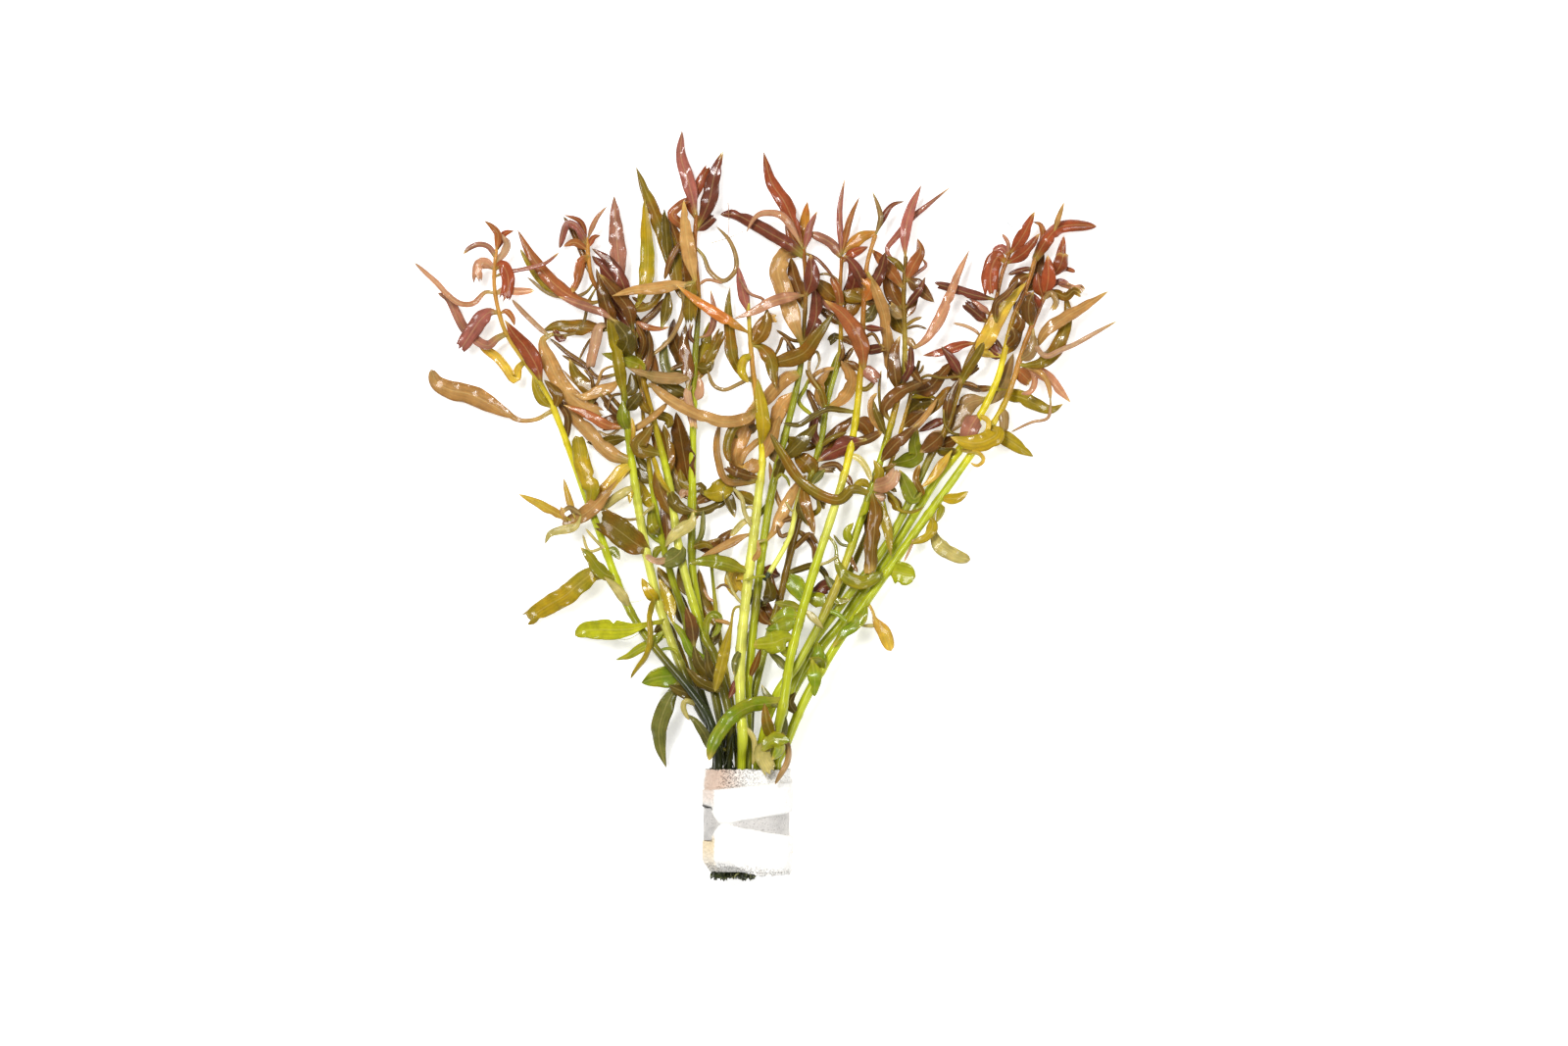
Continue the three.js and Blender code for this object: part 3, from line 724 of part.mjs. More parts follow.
// Cells of the field under a short stretch of a piece.
function cellsNear(x, y, reach) {
  const cells = [];
  const c0 = Math.max(0, Math.floor((x - reach - FIELD_X) / CELL));
  const c1 = Math.min(FIELD_COLUMNS - 1, Math.ceil((x + reach - FIELD_X) / CELL));
  const r0 = Math.max(0, Math.floor((y - reach - FIELD_Y) / CELL));
  const r1 = Math.min(FIELD_ROWS - 1, Math.ceil((y + reach - FIELD_Y) / CELL));
  for (let r = r0; r <= r1; r += 1) {
    for (let c = c0; c <= c1; c += 1) {
      const dx = FIELD_X + (c + 0.5) * CELL - x;
      const dy = FIELD_Y + (r + 0.5) * CELL - y;
      if (dx * dx + dy * dy <= reach * reach) {
        cells.push(r * FIELD_COLUMNS + c);
      }
    }
  }
  return cells;
}

// Marks the space a laid piece takes, with its clearance, as its owner's.
function occupy(piece, owner) {
  const { points, heights, halves, halfHeight } = piece;
  const reach = halfHeight > 0.5 ? 0.25 : 0.55;
  for (let i = 0; i + 1 < points.length; i += 1) {
    const steps = Math.max(1, Math.ceil(distance(points[i], points[i + 1]) / 0.5));
    for (let s = 0; s <= steps; s += 1) {
      const t = s / steps;
      const x = points[i][0] + (points[i + 1][0] - points[i][0]) * t;
      const y = points[i][1] + (points[i + 1][1] - points[i][1]) * t;
      const z = heights[i] + (heights[i + 1] - heights[i]) * t;
      const half = halves[i] + (halves[i + 1] - halves[i]) * t;
      const low = Math.max(0, Math.floor((z - halfHeight - PIECE_GAP - 0.3) / LEVEL));
      const high = Math.min(LEVELS - 1, Math.ceil((z + halfHeight + PIECE_GAP + 0.3) / LEVEL));
      for (const cell of cellsNear(x, y, half + reach)) {
        top[cell] = Math.max(top[cell], z + halfHeight + PIECE_GAP + 0.3);
        if (piece.rank !== undefined) {
          if (!stemsAt.has(cell)) {
            stemsAt.set(cell, new Map());
          }
          stemsAt.get(cell).set(piece.rank, z);
        }
        for (let k = low; k <= high; k += 1) {
          if (field[cell * LEVELS + k] === 0) {
            field[cell * LEVELS + k] = owner;
          }
        }
      }
    }
  }
}

// Cost of every level at one place of a piece that is being laid.
function levelCosts(x, y, half, plan, run) {
  const costs = new Float32Array(LEVELS);
  const spread = Math.max(0, Math.round((plan.halfHeight - 0.6) / LEVEL));
  let roof = 0;
  let floor = 0;
  let ceiling = Infinity;
  const taken = new Uint8Array(LEVELS);
  for (const cell of cellsNear(x, y, half + (plan.halfHeight > 0.5 ? 0.1 : 0.4))) {
    roof = Math.max(roof, top[cell]);
    if (plan.rank !== undefined && stemsAt.has(cell)) {
      for (const [rank, z] of stemsAt.get(cell)) {
        if (rank < plan.rank) {
          floor = Math.max(floor, z);
        } else if (rank > plan.rank) {
          ceiling = Math.min(ceiling, z);
        }
      }
    }
    for (let k = 0; k < LEVELS; k += 1) {
      const owner = field[cell * LEVELS + k];
      if (owner !== 0) {
        taken[k] |= owner === plan.owner ? 1 : 2;
      }
    }
  }
  const wanted = plan.wanted(run);
  for (let k = 0; k < LEVELS; k += 1) {
    const z = k * LEVEL;
    let mark = 0;
    for (let j = Math.max(0, k - spread); j <= Math.min(LEVELS - 1, k + spread); j += 1) {
      mark |= taken[j];
    }
    costs[k] = Math.abs(z - wanted) * plan.pull;
    if (mark & 2) {
      costs[k] += 400;
    }
    if ((mark & 1) && run > plan.free) {
      costs[k] += 3;
    }
    if (z < roof) {
      costs[k] += plan.above;
    }
    if (z < floor || z > ceiling) {
      costs[k] += plan.between;
    }
    if (z < plan.halfHeight) {
      costs[k] += 400;
    }
  }
  return costs;
}

// Finds the heights of a piece along its route: free of the others, near the height it would hang
// at, and without steep bends.
function findHeights(points, halves, plan) {
  const runs = runLengths(points);
  const costAt = [];
  const linkAt = [];
  for (let i = 0; i < points.length; i += 1) {
    const row = new Float64Array(LEVELS).fill(Infinity);
    const link = new Int16Array(LEVELS);
    if (i === 0) {
      for (let k = 0; k < LEVELS; k += 1) {
        if (plan.pinned[0] === undefined || Math.round(plan.pinned[0] / LEVEL) === k) {
          row[k] = 0;
        }
      }
    } else {
      const span = runs[i] - runs[i - 1];
      const steps = Math.max(1, Math.ceil(span / 0.6));
      const samples = [];
      for (let s = 1; s <= steps; s += 1) {
        const t = s / steps;
        const x = points[i - 1][0] + (points[i][0] - points[i - 1][0]) * t;
        const y = points[i - 1][1] + (points[i][1] - points[i - 1][1]) * t;
        const half = halves[i - 1] + (halves[i] - halves[i - 1]) * t;
        samples.push([t, levelCosts(x, y, half, plan, runs[i - 1] + span * t)]);
      }
      const reach = Math.max(1, Math.floor((span * plan.slope) / LEVEL));
      for (let k = 0; k < LEVELS; k += 1) {
        if (plan.pinned[i] !== undefined && Math.round(plan.pinned[i] / LEVEL) !== k) {
          continue;
        }
        for (let from = Math.max(0, k - reach); from <= Math.min(LEVELS - 1, k + reach); from += 1) {
          if (costAt[i - 1][from] === Infinity) {
            continue;
          }
          const rise = ((k - from) * LEVEL) / span;
          let cost = costAt[i - 1][from] + rise * rise * span * plan.stiff;
          if (cost >= row[k]) {
            continue;
          }
          for (const [t, levels] of samples) {
            cost += levels[Math.round(from + (k - from) * t)];
            if (cost >= row[k]) {
              break;
            }
          }
          if (cost < row[k]) {
            row[k] = cost;
            link[k] = from;
          }
        }
      }
    }
    costAt.push(row);
    linkAt.push(link);
  }
  const last = points.length - 1;
  let k = 0;
  for (let j = 0; j < LEVELS; j += 1) {
    if (costAt[last][j] < costAt[last][k]) {
      k = j;
    }
  }
  const total = costAt[last][k];
  const heights = new Array(points.length);
  for (let i = last; i >= 0; i -= 1) {
    heights[i] = plan.pinned[i] !== undefined ? plan.pinned[i] : k * LEVEL;
    k = linkAt[i][k];
  }
  return { heights, total };
}

// Half width of a leaf of one outline at a share t of its length.
function outlineHalf(outline, width, t) {
  const half = width / 2;
  if (outline === 'ribbon') {
    return half * Math.min(1, 0.55 + 2.2 * t) * (t > 0.85 ? 0.7 : 1);
  }
  if (outline === 'torn') {
    return half * Math.min(1, 0.35 + 1.6 * t);
  }
  if (outline === 'club') {
    return half * (t < 0.35 ? 0.3 : Math.min(1, 0.3 + 2.4 * (t - 0.35))) * (t > 0.9 ? 0.75 : 1);
  }
  if (outline === 'round') {
    return half * Math.max(0.12, Math.sin(Math.PI * Math.min(1, t * 0.97 + 0.03)) ** 0.6);
  }
  return half * Math.max(0.3, Math.sin(Math.PI * Math.min(0.97, t * 0.9 + 0.1)) ** 0.75);
}

// Narrows a leaf where its route turns so sharply that its inner edge would fold over itself.
function easeBends(points, halves) {
  return halves.map((half, i) => {
    if (i === 0 || i + 1 === points.length) {
      return half;
    }
    const [a, b, c] = [points[i - 1], points[i], points[i + 1]];
    const [before, after] = [distance(a, b), distance(b, c)];
    const ahead = ((b[0] - a[0]) * (c[0] - b[0]) + (b[1] - a[1]) * (c[1] - b[1])) / (before * after);
    const turn = Math.acos(Math.min(1, Math.max(-1, ahead)));
    return Math.min(half, (0.7 * Math.min(before, after)) / Math.max(0.05, Math.tan(turn / 2)));
  });
}

// Closed solid through rings of points, with a flat or a pointed far end.
function loft(rings, tip) {
  const sides = rings[0].length;
  const positions = rings.flat(2);
  const faces = [];
  for (let i = 0; i + 1 < rings.length; i += 1) {
    for (let j = 0; j < sides; j += 1) {
      const a = i * sides + j;
      const b = i * sides + ((j + 1) % sides);
      faces.push(a, b, b + sides, a, b + sides, a + sides);
    }
  }
  for (let j = 1; j + 1 < sides; j += 1) {
    faces.push(0, j + 1, j);
  }
  const end = (rings.length - 1) * sides;
  if (tip) {
    positions.push(...tip);
    for (let j = 0; j < sides; j += 1) {
      faces.push(end + j, end + ((j + 1) % sides), rings.length * sides);
    }
  } else {
    for (let j = 1; j + 1 < sides; j += 1) {
      faces.push(end, end + j, end + j + 1);
    }
  }
  return { positions, faces };
}

// Unit direction across a route at one of its points, in plan.
function acrossAt(points, i) {
  const a = points[Math.max(0, i - 1)];
  const b = points[Math.min(points.length - 1, i + 1)];
  const length = Math.hypot(b[0] - a[0], b[1] - a[1]) || 1;
  return [-(b[1] - a[1]) / length, (b[0] - a[0]) / length];
}

// Stem: a tapering six-sided rod through its stations.
function stemShape(piece) {
  const { points, heights, halves } = piece;
  const rings = points.map((point, i) => {
    const across = acrossAt(points, i);
    const ring = [];
    for (let s = 0; s < STEM_SIDES; s += 1) {
      const angle = ((s + 0.5) / STEM_SIDES) * Math.PI * 2;
      const out = Math.cos(angle) * halves[i];
      ring.push([point[0] + across[0] * out, point[1] + across[1] * out,
        heights[i] + Math.sin(angle) * halves[i]]);
    }
    return ring;
  });
  return loft(rings, null);
}

// Leaf: a thin three-sided blade with its ridge on top, ending in a point or a torn edge.
function leafShape(piece) {
  const { points, heights, halves, outline } = piece;
  const pointed = outline !== 'torn';
  const count = pointed ? points.length - 1 : points.length;
  const rings = [];
  for (let i = 0; i < count; i += 1) {
    const across = acrossAt(points, i);
    const half = Math.max(0.3, halves[i]);
    const [x, y] = points[i];
    const z = heights[i];
    rings.push([
      [x - across[0] * half, y - across[1] * half, z - LEAF_THICK * 0.35],
      [x, y, z + LEAF_THICK * 0.65],
      [x + across[0] * half, y + across[1] * half, z - LEAF_THICK * 0.35],
    ]);
  }
  for (const ring of rings) {
    ring.reverse();
  }
  const last = points.length - 1;
  return loft(rings, pointed ? [points[last][0], points[last][1], heights[last]] : null);
}

// Lays every shoot and leaf, and gives the pieces with the part each one belongs to.
function layShoots() {
  const shoots = new Map();
  const areas = [];
  SHOOTS.forEach(([name, base, tip, slot, slotZ, route, leaves], index) => {
    const shoot = { name, base, tip, slot, slotZ, route: thinRoute(toPoints(route), 99, 0.45), owner: index + 2 };
    shoot.leaves = leaves.map(([tint, outline, layer, width, path], order) => {
      const full = toPoints(path);
      const length = runLengths(full).at(-1);
      const drawn = thinRoute(full, mostStations(length), 0.25);
      const leaf = { tint, outline, layer, width, drawn, shoot, order, length };
      areas.push(leaf);
      return leaf;
    });
    shoots.set(name, shoot);
  });
  const largest = [...areas].sort((a, b) => b.length * b.width - a.length * a.width);
  largest.slice(0, LEAF_PIECES).forEach((leaf, i) => {
    leaf.own = true;
    leaf.owner = 100 + i;
  });
  blockFoam();
  LAID.forEach((name, rank) => layStem(shoots.get(name), rank));
  for (const layer of ['with', 'over', 'under']) {
    for (const name of LAID) {
      for (const leaf of shoots.get(name).leaves.filter((one) => one.layer === layer)) {
        layLeaf(leaf);
      }
    }
  }
  return [...shoots.values()];
}

// Keeps leaves out of the foam sleeve.
function blockFoam() {
  for (let r = 0; r < FIELD_ROWS; r += 1) {
    const y = FIELD_Y + (r + 0.5) * CELL;
    for (let c = 0; c < FIELD_COLUMNS; c += 1) {
      const x = FIELD_X + (c + 0.5) * CELL;
      if (y < FOAM_MOUTH_Y + 0.9 && Math.abs(x - FOAM_AXIS_X) < FOAM_HALF_WIDTH + 1) {
        const cell = r * FIELD_COLUMNS + c;
        top[cell] = 2 * FOAM_HALF_HEIGHT;
        for (let k = 0; k * LEVEL < FOAM_AXIS_Z + FOAM_HALF_HEIGHT + 0.6; k += 1) {
          field[cell * LEVELS + k] = 1;
        }
      }
    }
  }
}

function layStem(shoot, rank) {
  let { route } = shoot;
  const pinned = [];
  let start = 0;
  if (shoot.slot.length) {
    const [column, endRow] = shoot.slot;
    route = [...toPoints([column, endRow, column, MOUTH_ROW - 6]), ...route];
    start = runLengths(route)[1];
  }
  const runs = runLengths(route);
  const total = runs.at(-1);
  const halves = runs.map((run) => {
    const narrow = run <= start ? Math.min(shoot.base, 1.38) : shoot.base;
    return narrow + (shoot.tip - narrow) * (run / total) ** 1.6;
  });
  const { slotZ, owner } = shoot;
  const rest = STEM_REST_Z + STEM_REST_STEP * rank;
  const wanted = (run) => {
    const t = Math.min(1, Math.max(0, run - start) / STEM_SINK_LENGTH);
    return slotZ ? rest + (slotZ - rest) * (1 - t) * (1 - t) : rest;
  };
  let heights;
  const halfHeight = Math.max(shoot.base, shoot.tip);
  const plan = {
    owner, halfHeight, wanted, pull: 0.12, free: 0, above: 2.5, between: 0, slope: 0.45, stiff: 40,
  };
  if (shoot.slot.length) {
    pinned[0] = slotZ;
    const found = findHeights(route.slice(1), halves.slice(1),
      { ...plan, pinned, wanted: (run) => wanted(run + start) });
    heights = [slotZ, ...found.heights];
    shoot.cost = found.total;
  } else {
    const found = findHeights(route, halves, { ...plan, pinned });
    heights = found.heights;
    shoot.cost = found.total;
  }
  Object.assign(shoot, { points: route, heights, halves, halfHeight, rank, laid: true });
  occupy(shoot, owner);
}

// True where a route goes on from a starting place without turning back.
function turnsOn(start, points) {
  const [a, b] = points;
  const ahead = (a[0] - start[0]) * (b[0] - a[0]) + (a[1] - start[1]) * (b[1] - a[1]);
  return ahead > 0.3 * distance(start, a) * distance(a, b);
}

function layLeaf(leaf) {
  if (leaf.laid) {
    return;
  }
  const { shoot, drawn } = leaf;
  const hosts = [{ host: shoot, place: nearestOn(shoot, drawn[0]) }];
  for (const other of shoot.leaves.slice(0, leaf.order)) {
    hosts.push({ host: other, place: nearestOn({ points: other.drawn }, drawn[0]) });
  }
  hosts.sort((a, b) => a.place.away - b.place.away);
  const chosen = hosts[0].place.away + 0.6 < nearestOn(shoot, drawn[0]).away ? hosts[0].host : shoot;
  if (chosen !== shoot) {
    layLeaf(chosen);
  }
  const place = nearestOn(chosen, drawn[0]);
  leaf.away = place.away;
  leaf.host = chosen;
  let points = [...drawn];
  const clear = leaf.own ? place.half + PIECE_GAP + 0.35 : 0;
  if (leaf.own) {
    const toward = [points[1][0] - place.at[0], points[1][1] - place.at[1]];
    const length = Math.hypot(...toward);
    points[0] = [place.at[0] + (toward[0] / length) * clear, place.at[1] + (toward[1] / length) * clear];
  } else if (place.away > 1.9 && turnsOn(place.at, points)) {
    points = [place.at, ...points];
  } else {
    points[0] = place.at;
  }
  const runs = runLengths(points);
  const total = runs.at(-1);
  const full = runs.map((run) => outlineHalf(leaf.outline, leaf.width, run / total));
  const halves = easeBends(points, full);
  const owner = leaf.own ? leaf.owner : chosen.owner;
  leaf.owner = owner;
  leaf.root = leaf.own ? leaf : (chosen.root ?? chosen);
  const sway = 0.5 + 0.5 * Math.sin(leaf.order * 2.4 + shoot.owner * 1.7);
  const ends = { with: 1.6 + 6 * sway, over: 4 + 6 * sway, under: 0.7 + 0.8 * sway }[leaf.layer];
  const wanted = (run) => {
    const t = Math.min(1, run / 26);
    return place.z + (ends - place.z) * t * t + 2.2 * Math.sin(Math.PI * Math.min(1, run / 20))
      * (leaf.layer === 'under' ? -0.5 : 1);
  };
  const above = { with: 0.4, over: 4, under: 0 }[leaf.layer];
  const between = { with: 3, over: 0, under: 0 }[leaf.layer];
  const plan = {
    owner, halfHeight: 0.3, wanted, pull: leaf.layer === 'under' ? 0.5 : 0.3, free: 3.5, above,
    between, rank: shoot.rank,
    slope: 1.7, stiff: 1.4, pinned: leaf.own ? [] : [place.z],
  };
  const { heights, total: cost } = findHeights(points, halves, plan);
  heights[0] += 0.14 * ((leaf.order % 4) - 1.5);
  Object.assign(leaf, { points, heights, halves, halfHeight: 0.3, cost, laid: true });
  occupy(leaf, owner);
}

function setMaterial(colour, roughness) {
  return new THREE.MeshStandardMaterial({ color: new THREE.Color(colour), roughness, metalness: 0 });
}

function toMesh(name, shape, material) {
  const geometry = new THREE.BufferGeometry();
  geometry.setAttribute('position', new THREE.Float32BufferAttribute(shape.positions, 3));
  geometry.setIndex(shape.faces);
  geometry.computeVertexNormals();
  const mesh = new THREE.Mesh(geometry, material);
  mesh.name = name;
  return mesh;
}

// Point of a rounded oblong section at an angle.
function sectionPoint(angle, halfWidth, halfHeight, power) {
  const c = Math.cos(angle);
  const s = Math.sin(angle);
  return [
    FOAM_AXIS_X + halfWidth * Math.sign(c) * Math.abs(c) ** (2 / power),
    FOAM_AXIS_Z + halfHeight * Math.sign(s) * Math.abs(s) ** (2 / power),
  ];
}

// Half width of the metal strip at an angle round the foam: full at the sides and below, and
// running out to two pointed ends on top.
function stripHalf(angle) {
  const degrees = ((angle * 180) / Math.PI + 360) % 360;
  if (degrees > 22 && degrees < 108) {
    return Math.max(0, STRIP_HALF_WIDTH * 0.76 * (1 - (degrees - 22) / 86));
  }
  if (degrees >= 108 && degrees < 122) {
    return 0;
  }
  if (degrees >= 122 && degrees < 150) {
    return STRIP_HALF_WIDTH * ((degrees - 122) / 28);
  }
  return STRIP_HALF_WIDTH * (degrees <= 22 ? 1 - 0.24 * (degrees / 22) : 1);
}

function foamShape() {
  const angles = [];
  for (let i = 0; i < 26; i += 1) {
    angles.push((i / 26) * Math.PI * 2);
  }
  const stepAngle = (133 * Math.PI) / 180;
  const entries = [];
  for (const angle of angles) {
    if (entries.length && entries.at(-1).angle < stepAngle && angle >= stepAngle) {
      entries.push({ angle: stepAngle, lower: 0 }, { angle: stepAngle + 0.03, lower: FOAM_TURN });
    }
    const over = (angle - stepAngle) / (Math.PI * 0.55);
    entries.push({ angle, lower: angle >= stepAngle ? FOAM_TURN * Math.max(0, 1 - over) : 0 });
  }
  const rows = entries.map(({ angle, lower }) => {
    const half = stripHalf(angle);
    const deep = FOAM_WAIST + (1 - FOAM_WAIST) * (half > 0.4 ? 0 : 1);
    const left = Math.max(0, Math.sin(angle)) * (Math.cos(angle) < 0.35 ? 1 : 0.35);
    const middle = STRIP_MIDDLE_Y;
    const near = middle + half + STRIP_GAP;
    const far = middle - half - STRIP_GAP;
    const stations = [
      [FOAM_MOUTH_Y, 0.97 - 0.27 * left], [FOAM_MOUTH_Y - 3.6, 0.99 - 0.12 * left],
      [FOAM_MOUTH_Y - 7.1, 1], [near + 1.1, 1], [near, deep], [far, deep], [far - 1.1, 1],
      [FOAM_BACK_Y + 3, 1], [FOAM_BACK_Y, 0.93],
    ];
    return stations.map(([y, scale]) => {
      const [x, z] = sectionPoint(angle, FOAM_HALF_WIDTH * scale - lower,
        FOAM_HALF_HEIGHT * scale - lower, 2.5);
      return [x, y, Math.max(0, z)];
    });
  });
  const around = rows.length;
  const along = rows[0].length;
  const positions = rows.flat(2);
  const faces = [];
  const at = (i, j) => (i % around) * along + j;
  for (let i = 0; i < around; i += 1) {
    for (let j = 0; j + 1 < along; j += 1) {
      faces.push(at(i, j), at(i + 1, j + 1), at(i, j + 1), at(i, j), at(i + 1, j), at(i + 1, j + 1));
    }
  }
  const mouth = positions.length / 3;
  positions.push(FOAM_AXIS_X, FOAM_MOUTH_Y, FOAM_AXIS_Z, FOAM_AXIS_X, FOAM_BACK_Y, FOAM_AXIS_Z);
  for (let i = 0; i < around; i += 1) {
    faces.push(at(i + 1, 0), at(i, 0), mouth);
    faces.push(at(i, along - 1), at(i + 1, along - 1), mouth + 1);
  }
  return { positions, faces };
}

function holeShape() {
  const rings = [FOAM_BACK_Y - 1, FOAM_MOUTH_Y + 1].map((y) => {
    const ring = [];
    for (let i = 0; i < 20; i += 1) {
      const [x, z] = sectionPoint((i / 20) * Math.PI * 2, FOAM_HOLE_HALF_WIDTH, FOAM_HOLE_HALF_HEIGHT, 5);
      ring.push([x + (0 - FOAM_AXIS_X), y, z]);
    }
    return ring.reverse();
  });
  return loft(rings, null);
}

function stripShape() {
  const rings = [];
  const start = (127 * Math.PI) / 180;
  const end = ((360 + 94) * Math.PI) / 180;
  const count = 30;
  for (let i = 0; i <= count; i += 1) {
    const angle = start + ((end - start) * i) / count;
    const half = Math.max(0.35, stripHalf(angle));
    const overlap = Math.max(0, 1 - (angle - start) / 2.1);
    const lower = FOAM_TURN * overlap * 0;
    const halfWidth = FOAM_HALF_WIDTH * FOAM_WAIST + STRIP_GAP - lower;
    const halfHeight = FOAM_HALF_HEIGHT * FOAM_WAIST + STRIP_GAP - lower;
    const inner = sectionPoint(angle, halfWidth, halfHeight, 2.5);
    const outer = sectionPoint(angle, halfWidth + STRIP_THICK, halfHeight + STRIP_THICK, 2.5);
    const low = STRIP_MIDDLE_Y - half;
    const high = STRIP_MIDDLE_Y + half;
    rings.push([
      [inner[0], low, inner[1]], [outer[0], low, outer[1]],
      [outer[0], high, outer[1]], [inner[0], high, inner[1]],
    ]);
  }
  return loft(rings, null);
}

const wasm = await Module();
wasm.setup();

function toSolid(shape) {
  const geometry = new THREE.BufferGeometry();
  geometry.setAttribute('position', new THREE.Float32BufferAttribute(shape.positions, 3));
  geometry.setIndex(shape.faces);
  const merged = mergeVertices(geometry, 1e-4);
  return new wasm.Manifold(new wasm.Mesh({
    numProp: 3,
    vertProperties: new Float32Array(merged.attributes.position.array),
    triVerts: new Uint32Array(merged.index.array),
  }));
}

// Largest body of a solid, without slivers.
function fromSolid(whole) {
  const solid = whole.decompose().sort((a, b) => b.volume() - a.volume())[0];
  const mesh = solid.getMesh();
  return { positions: Array.from(mesh.vertProperties), faces: Array.from(mesh.triVerts) };
}

const bunch = new THREE.Group();
bunch.name = 'plant_bunch';

const foam = toSolid(foamShape()).subtract(toSolid(holeShape()));
bunch.add(toMesh('foam_sleeve', fromSolid(foam), setMaterial('#e9e5da', 0.95)));
bunch.add(toMesh('metal_strip', stripShape(), setMaterial('#8f8f8c', 0.55)));

let leafNumber = 0;
for (const shoot of layShoots()) {
  let solid = toSolid(stemShape(shoot));
  for (const leaf of shoot.leaves) {
    if (leaf.root === shoot) {
      solid = solid.add(toSolid(leafShape(leaf)));
    }
  }
  bunch.add(toMesh(shoot.name, fromSolid(solid.simplify(SIMPLE)), setMaterial('#8d8440', 0.45)));
  for (const leaf of shoot.leaves) {
    if (leaf.own) {
      leafNumber += 1;
      const name = `leaf_${String(leafNumber).padStart(2, '0')}`;
      let blade = toSolid(leafShape(leaf));
      for (const other of shoot.leaves.filter((one) => one !== leaf && one.root === leaf)) {
        blade = blade.add(toSolid(leafShape(other)));
      }
      bunch.add(toMesh(name, fromSolid(blade.simplify(SIMPLE)), setMaterial(TINTS[leaf.tint], 0.4)));
    }
  }
}

export default bunch;
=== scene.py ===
"""Looks of a loose bunch of cut water plant stems lying on a white surface.

Sixteen stems with long, thin, partly torn leaves fan out from a flattened sleeve of rolled foam,
which one soft metal strip holds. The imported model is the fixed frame: every stem and leaf keeps the
route and the heights that its node has there, and gets its section, margin, veins and wet skin here.
Routes and sizes are in millimetres, and the meshes that are made from them in metres.
"""

import logging
import math
from dataclasses import dataclass, field
from enum import Enum

import bpy
import numpy as np
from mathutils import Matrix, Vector, noise


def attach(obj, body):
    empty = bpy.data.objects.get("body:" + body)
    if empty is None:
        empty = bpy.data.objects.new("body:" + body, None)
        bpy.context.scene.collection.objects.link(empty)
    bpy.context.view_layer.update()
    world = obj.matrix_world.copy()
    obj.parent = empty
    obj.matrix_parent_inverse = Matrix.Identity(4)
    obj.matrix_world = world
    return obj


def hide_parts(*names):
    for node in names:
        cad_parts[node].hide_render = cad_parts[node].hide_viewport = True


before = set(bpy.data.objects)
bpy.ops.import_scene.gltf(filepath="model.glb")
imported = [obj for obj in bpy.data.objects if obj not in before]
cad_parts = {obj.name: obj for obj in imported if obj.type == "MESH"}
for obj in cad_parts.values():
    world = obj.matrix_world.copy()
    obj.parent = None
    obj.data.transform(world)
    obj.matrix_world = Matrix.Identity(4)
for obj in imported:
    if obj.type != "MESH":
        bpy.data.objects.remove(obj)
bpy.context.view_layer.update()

LOG = logging.getLogger("bunch")
MM = 0.001
SEED = 11
STEM_CHANCE = 900

# Drawing grid of the routes: one step in mm, the column and row of the origin, and the row of the
# foam's mouth.
GRID_STEP = 0.32
GRID_COLUMN = 763
GRID_ROW = 803
MOUTH_ROW = 784

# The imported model. Leaves: lengths in mm from which one more point is kept, least bend in mm of a
# kept point, how many are pieces of their own, and how high the ridge is in mm.
LEAF_SPANS = (7, 17, 30, 50)
LEAF_BEND = 0.25
LEAF_PIECES = 40
LEAF_RIDGE = 0.325
# How much nearer in mm a leaf must be than the stem to be what another leaf grows from, and how far
# off in mm a leaf's drawn base may be before it is joined on by a stalk.
HOST_LEAD = 0.6
STALK_GAP = 1.9
# Stems: sides, least bend of a kept point and largest radius in the foam in mm, how many rows before
# the mouth they run straight, and how late they taper.
STEM_SIDES = 5
STEM_BEND = 0.45
STEM_SLOT_RADIUS = 1.38
STEM_SLOT_ROWS = 6
STEM_TAPER = 1.6

# The scene: points on the middle line of a leaf, points round a stem and round a thread, and the
# length in mm of one row of a leaf, a stem and a thread.
LEAF_POINTS = 240
STEM_RING = 12
THREAD_RING = 6
LEAF_STEP = 0.7
STEM_STEP = 0.9
THREAD_STEP = 0.8

# The film of water on leaves and stems.
WATER_IOR = 1.33


class Outline(Enum):
    """Form of a leaf's margin."""

    BLADE = "blade"
    RIBBON = "ribbon"
    TORN = "torn"
    CLUB = "club"
    ROUND = "round"


# Face colour and blotch colour of each leaf tint.
TINTS = {
    "salmon": ("#ba8663", "#a36c4a"),
    "copper": ("#9b572c", "#825022"),
    "orange": ("#bb6b29", "#a37e2b"),
    "rust": ("#924321", "#773c1b"),
    "blush": ("#b6906d", "#a0704e"),
    "rose": ("#945547", "#7b4738"),
    "rosewood": ("#a16a53", "#7d503b"),
    "amber": ("#c5a532", "#a97d30"),
    "bronze": ("#73520d", "#81530d"),
    "umber": ("#6d4314", "#4f360e"),
    "olive": ("#705c0d", "#81540d"),
    "drab": ("#54460d", "#66510d"),
    "khaki": ("#937244", "#756231"),
    "gold": ("#9a8411", "#7f6c0f"),
    "peach": ("#b58b4f", "#a0733a"),
    "tan": ("#b28347", "#977035"),
    "plum": ("#6c3423", "#4c2814"),
    "moss": ("#707510", "#887a10"),
    "celery": ("#b7a863", "#968c48"),
    "citron": ("#ac8e13", "#8d820f"),
    "fern": ("#728510", "#988f13"),
    "sage": ("#6d6b31", "#5a5b1f"),
    "lime": ("#a2a113", "#898f0f"),
}

# Colours that a stem's skin passes through.
SKIN_TINTS = {
    "dark": "#2f3519",
    "olive": "#6f6a1c",
    "moss": "#8c8f1c",
    "lime": "#b0b71f",
    "pale": "#d5d560",
    "yellow": "#d4c31c",
    "straw": "#bca83a",
    "gold": "#ab861c",
    "brown": "#7d5f18",
    "rust": "#9a6024",
    "tan": "#c28c40",
}

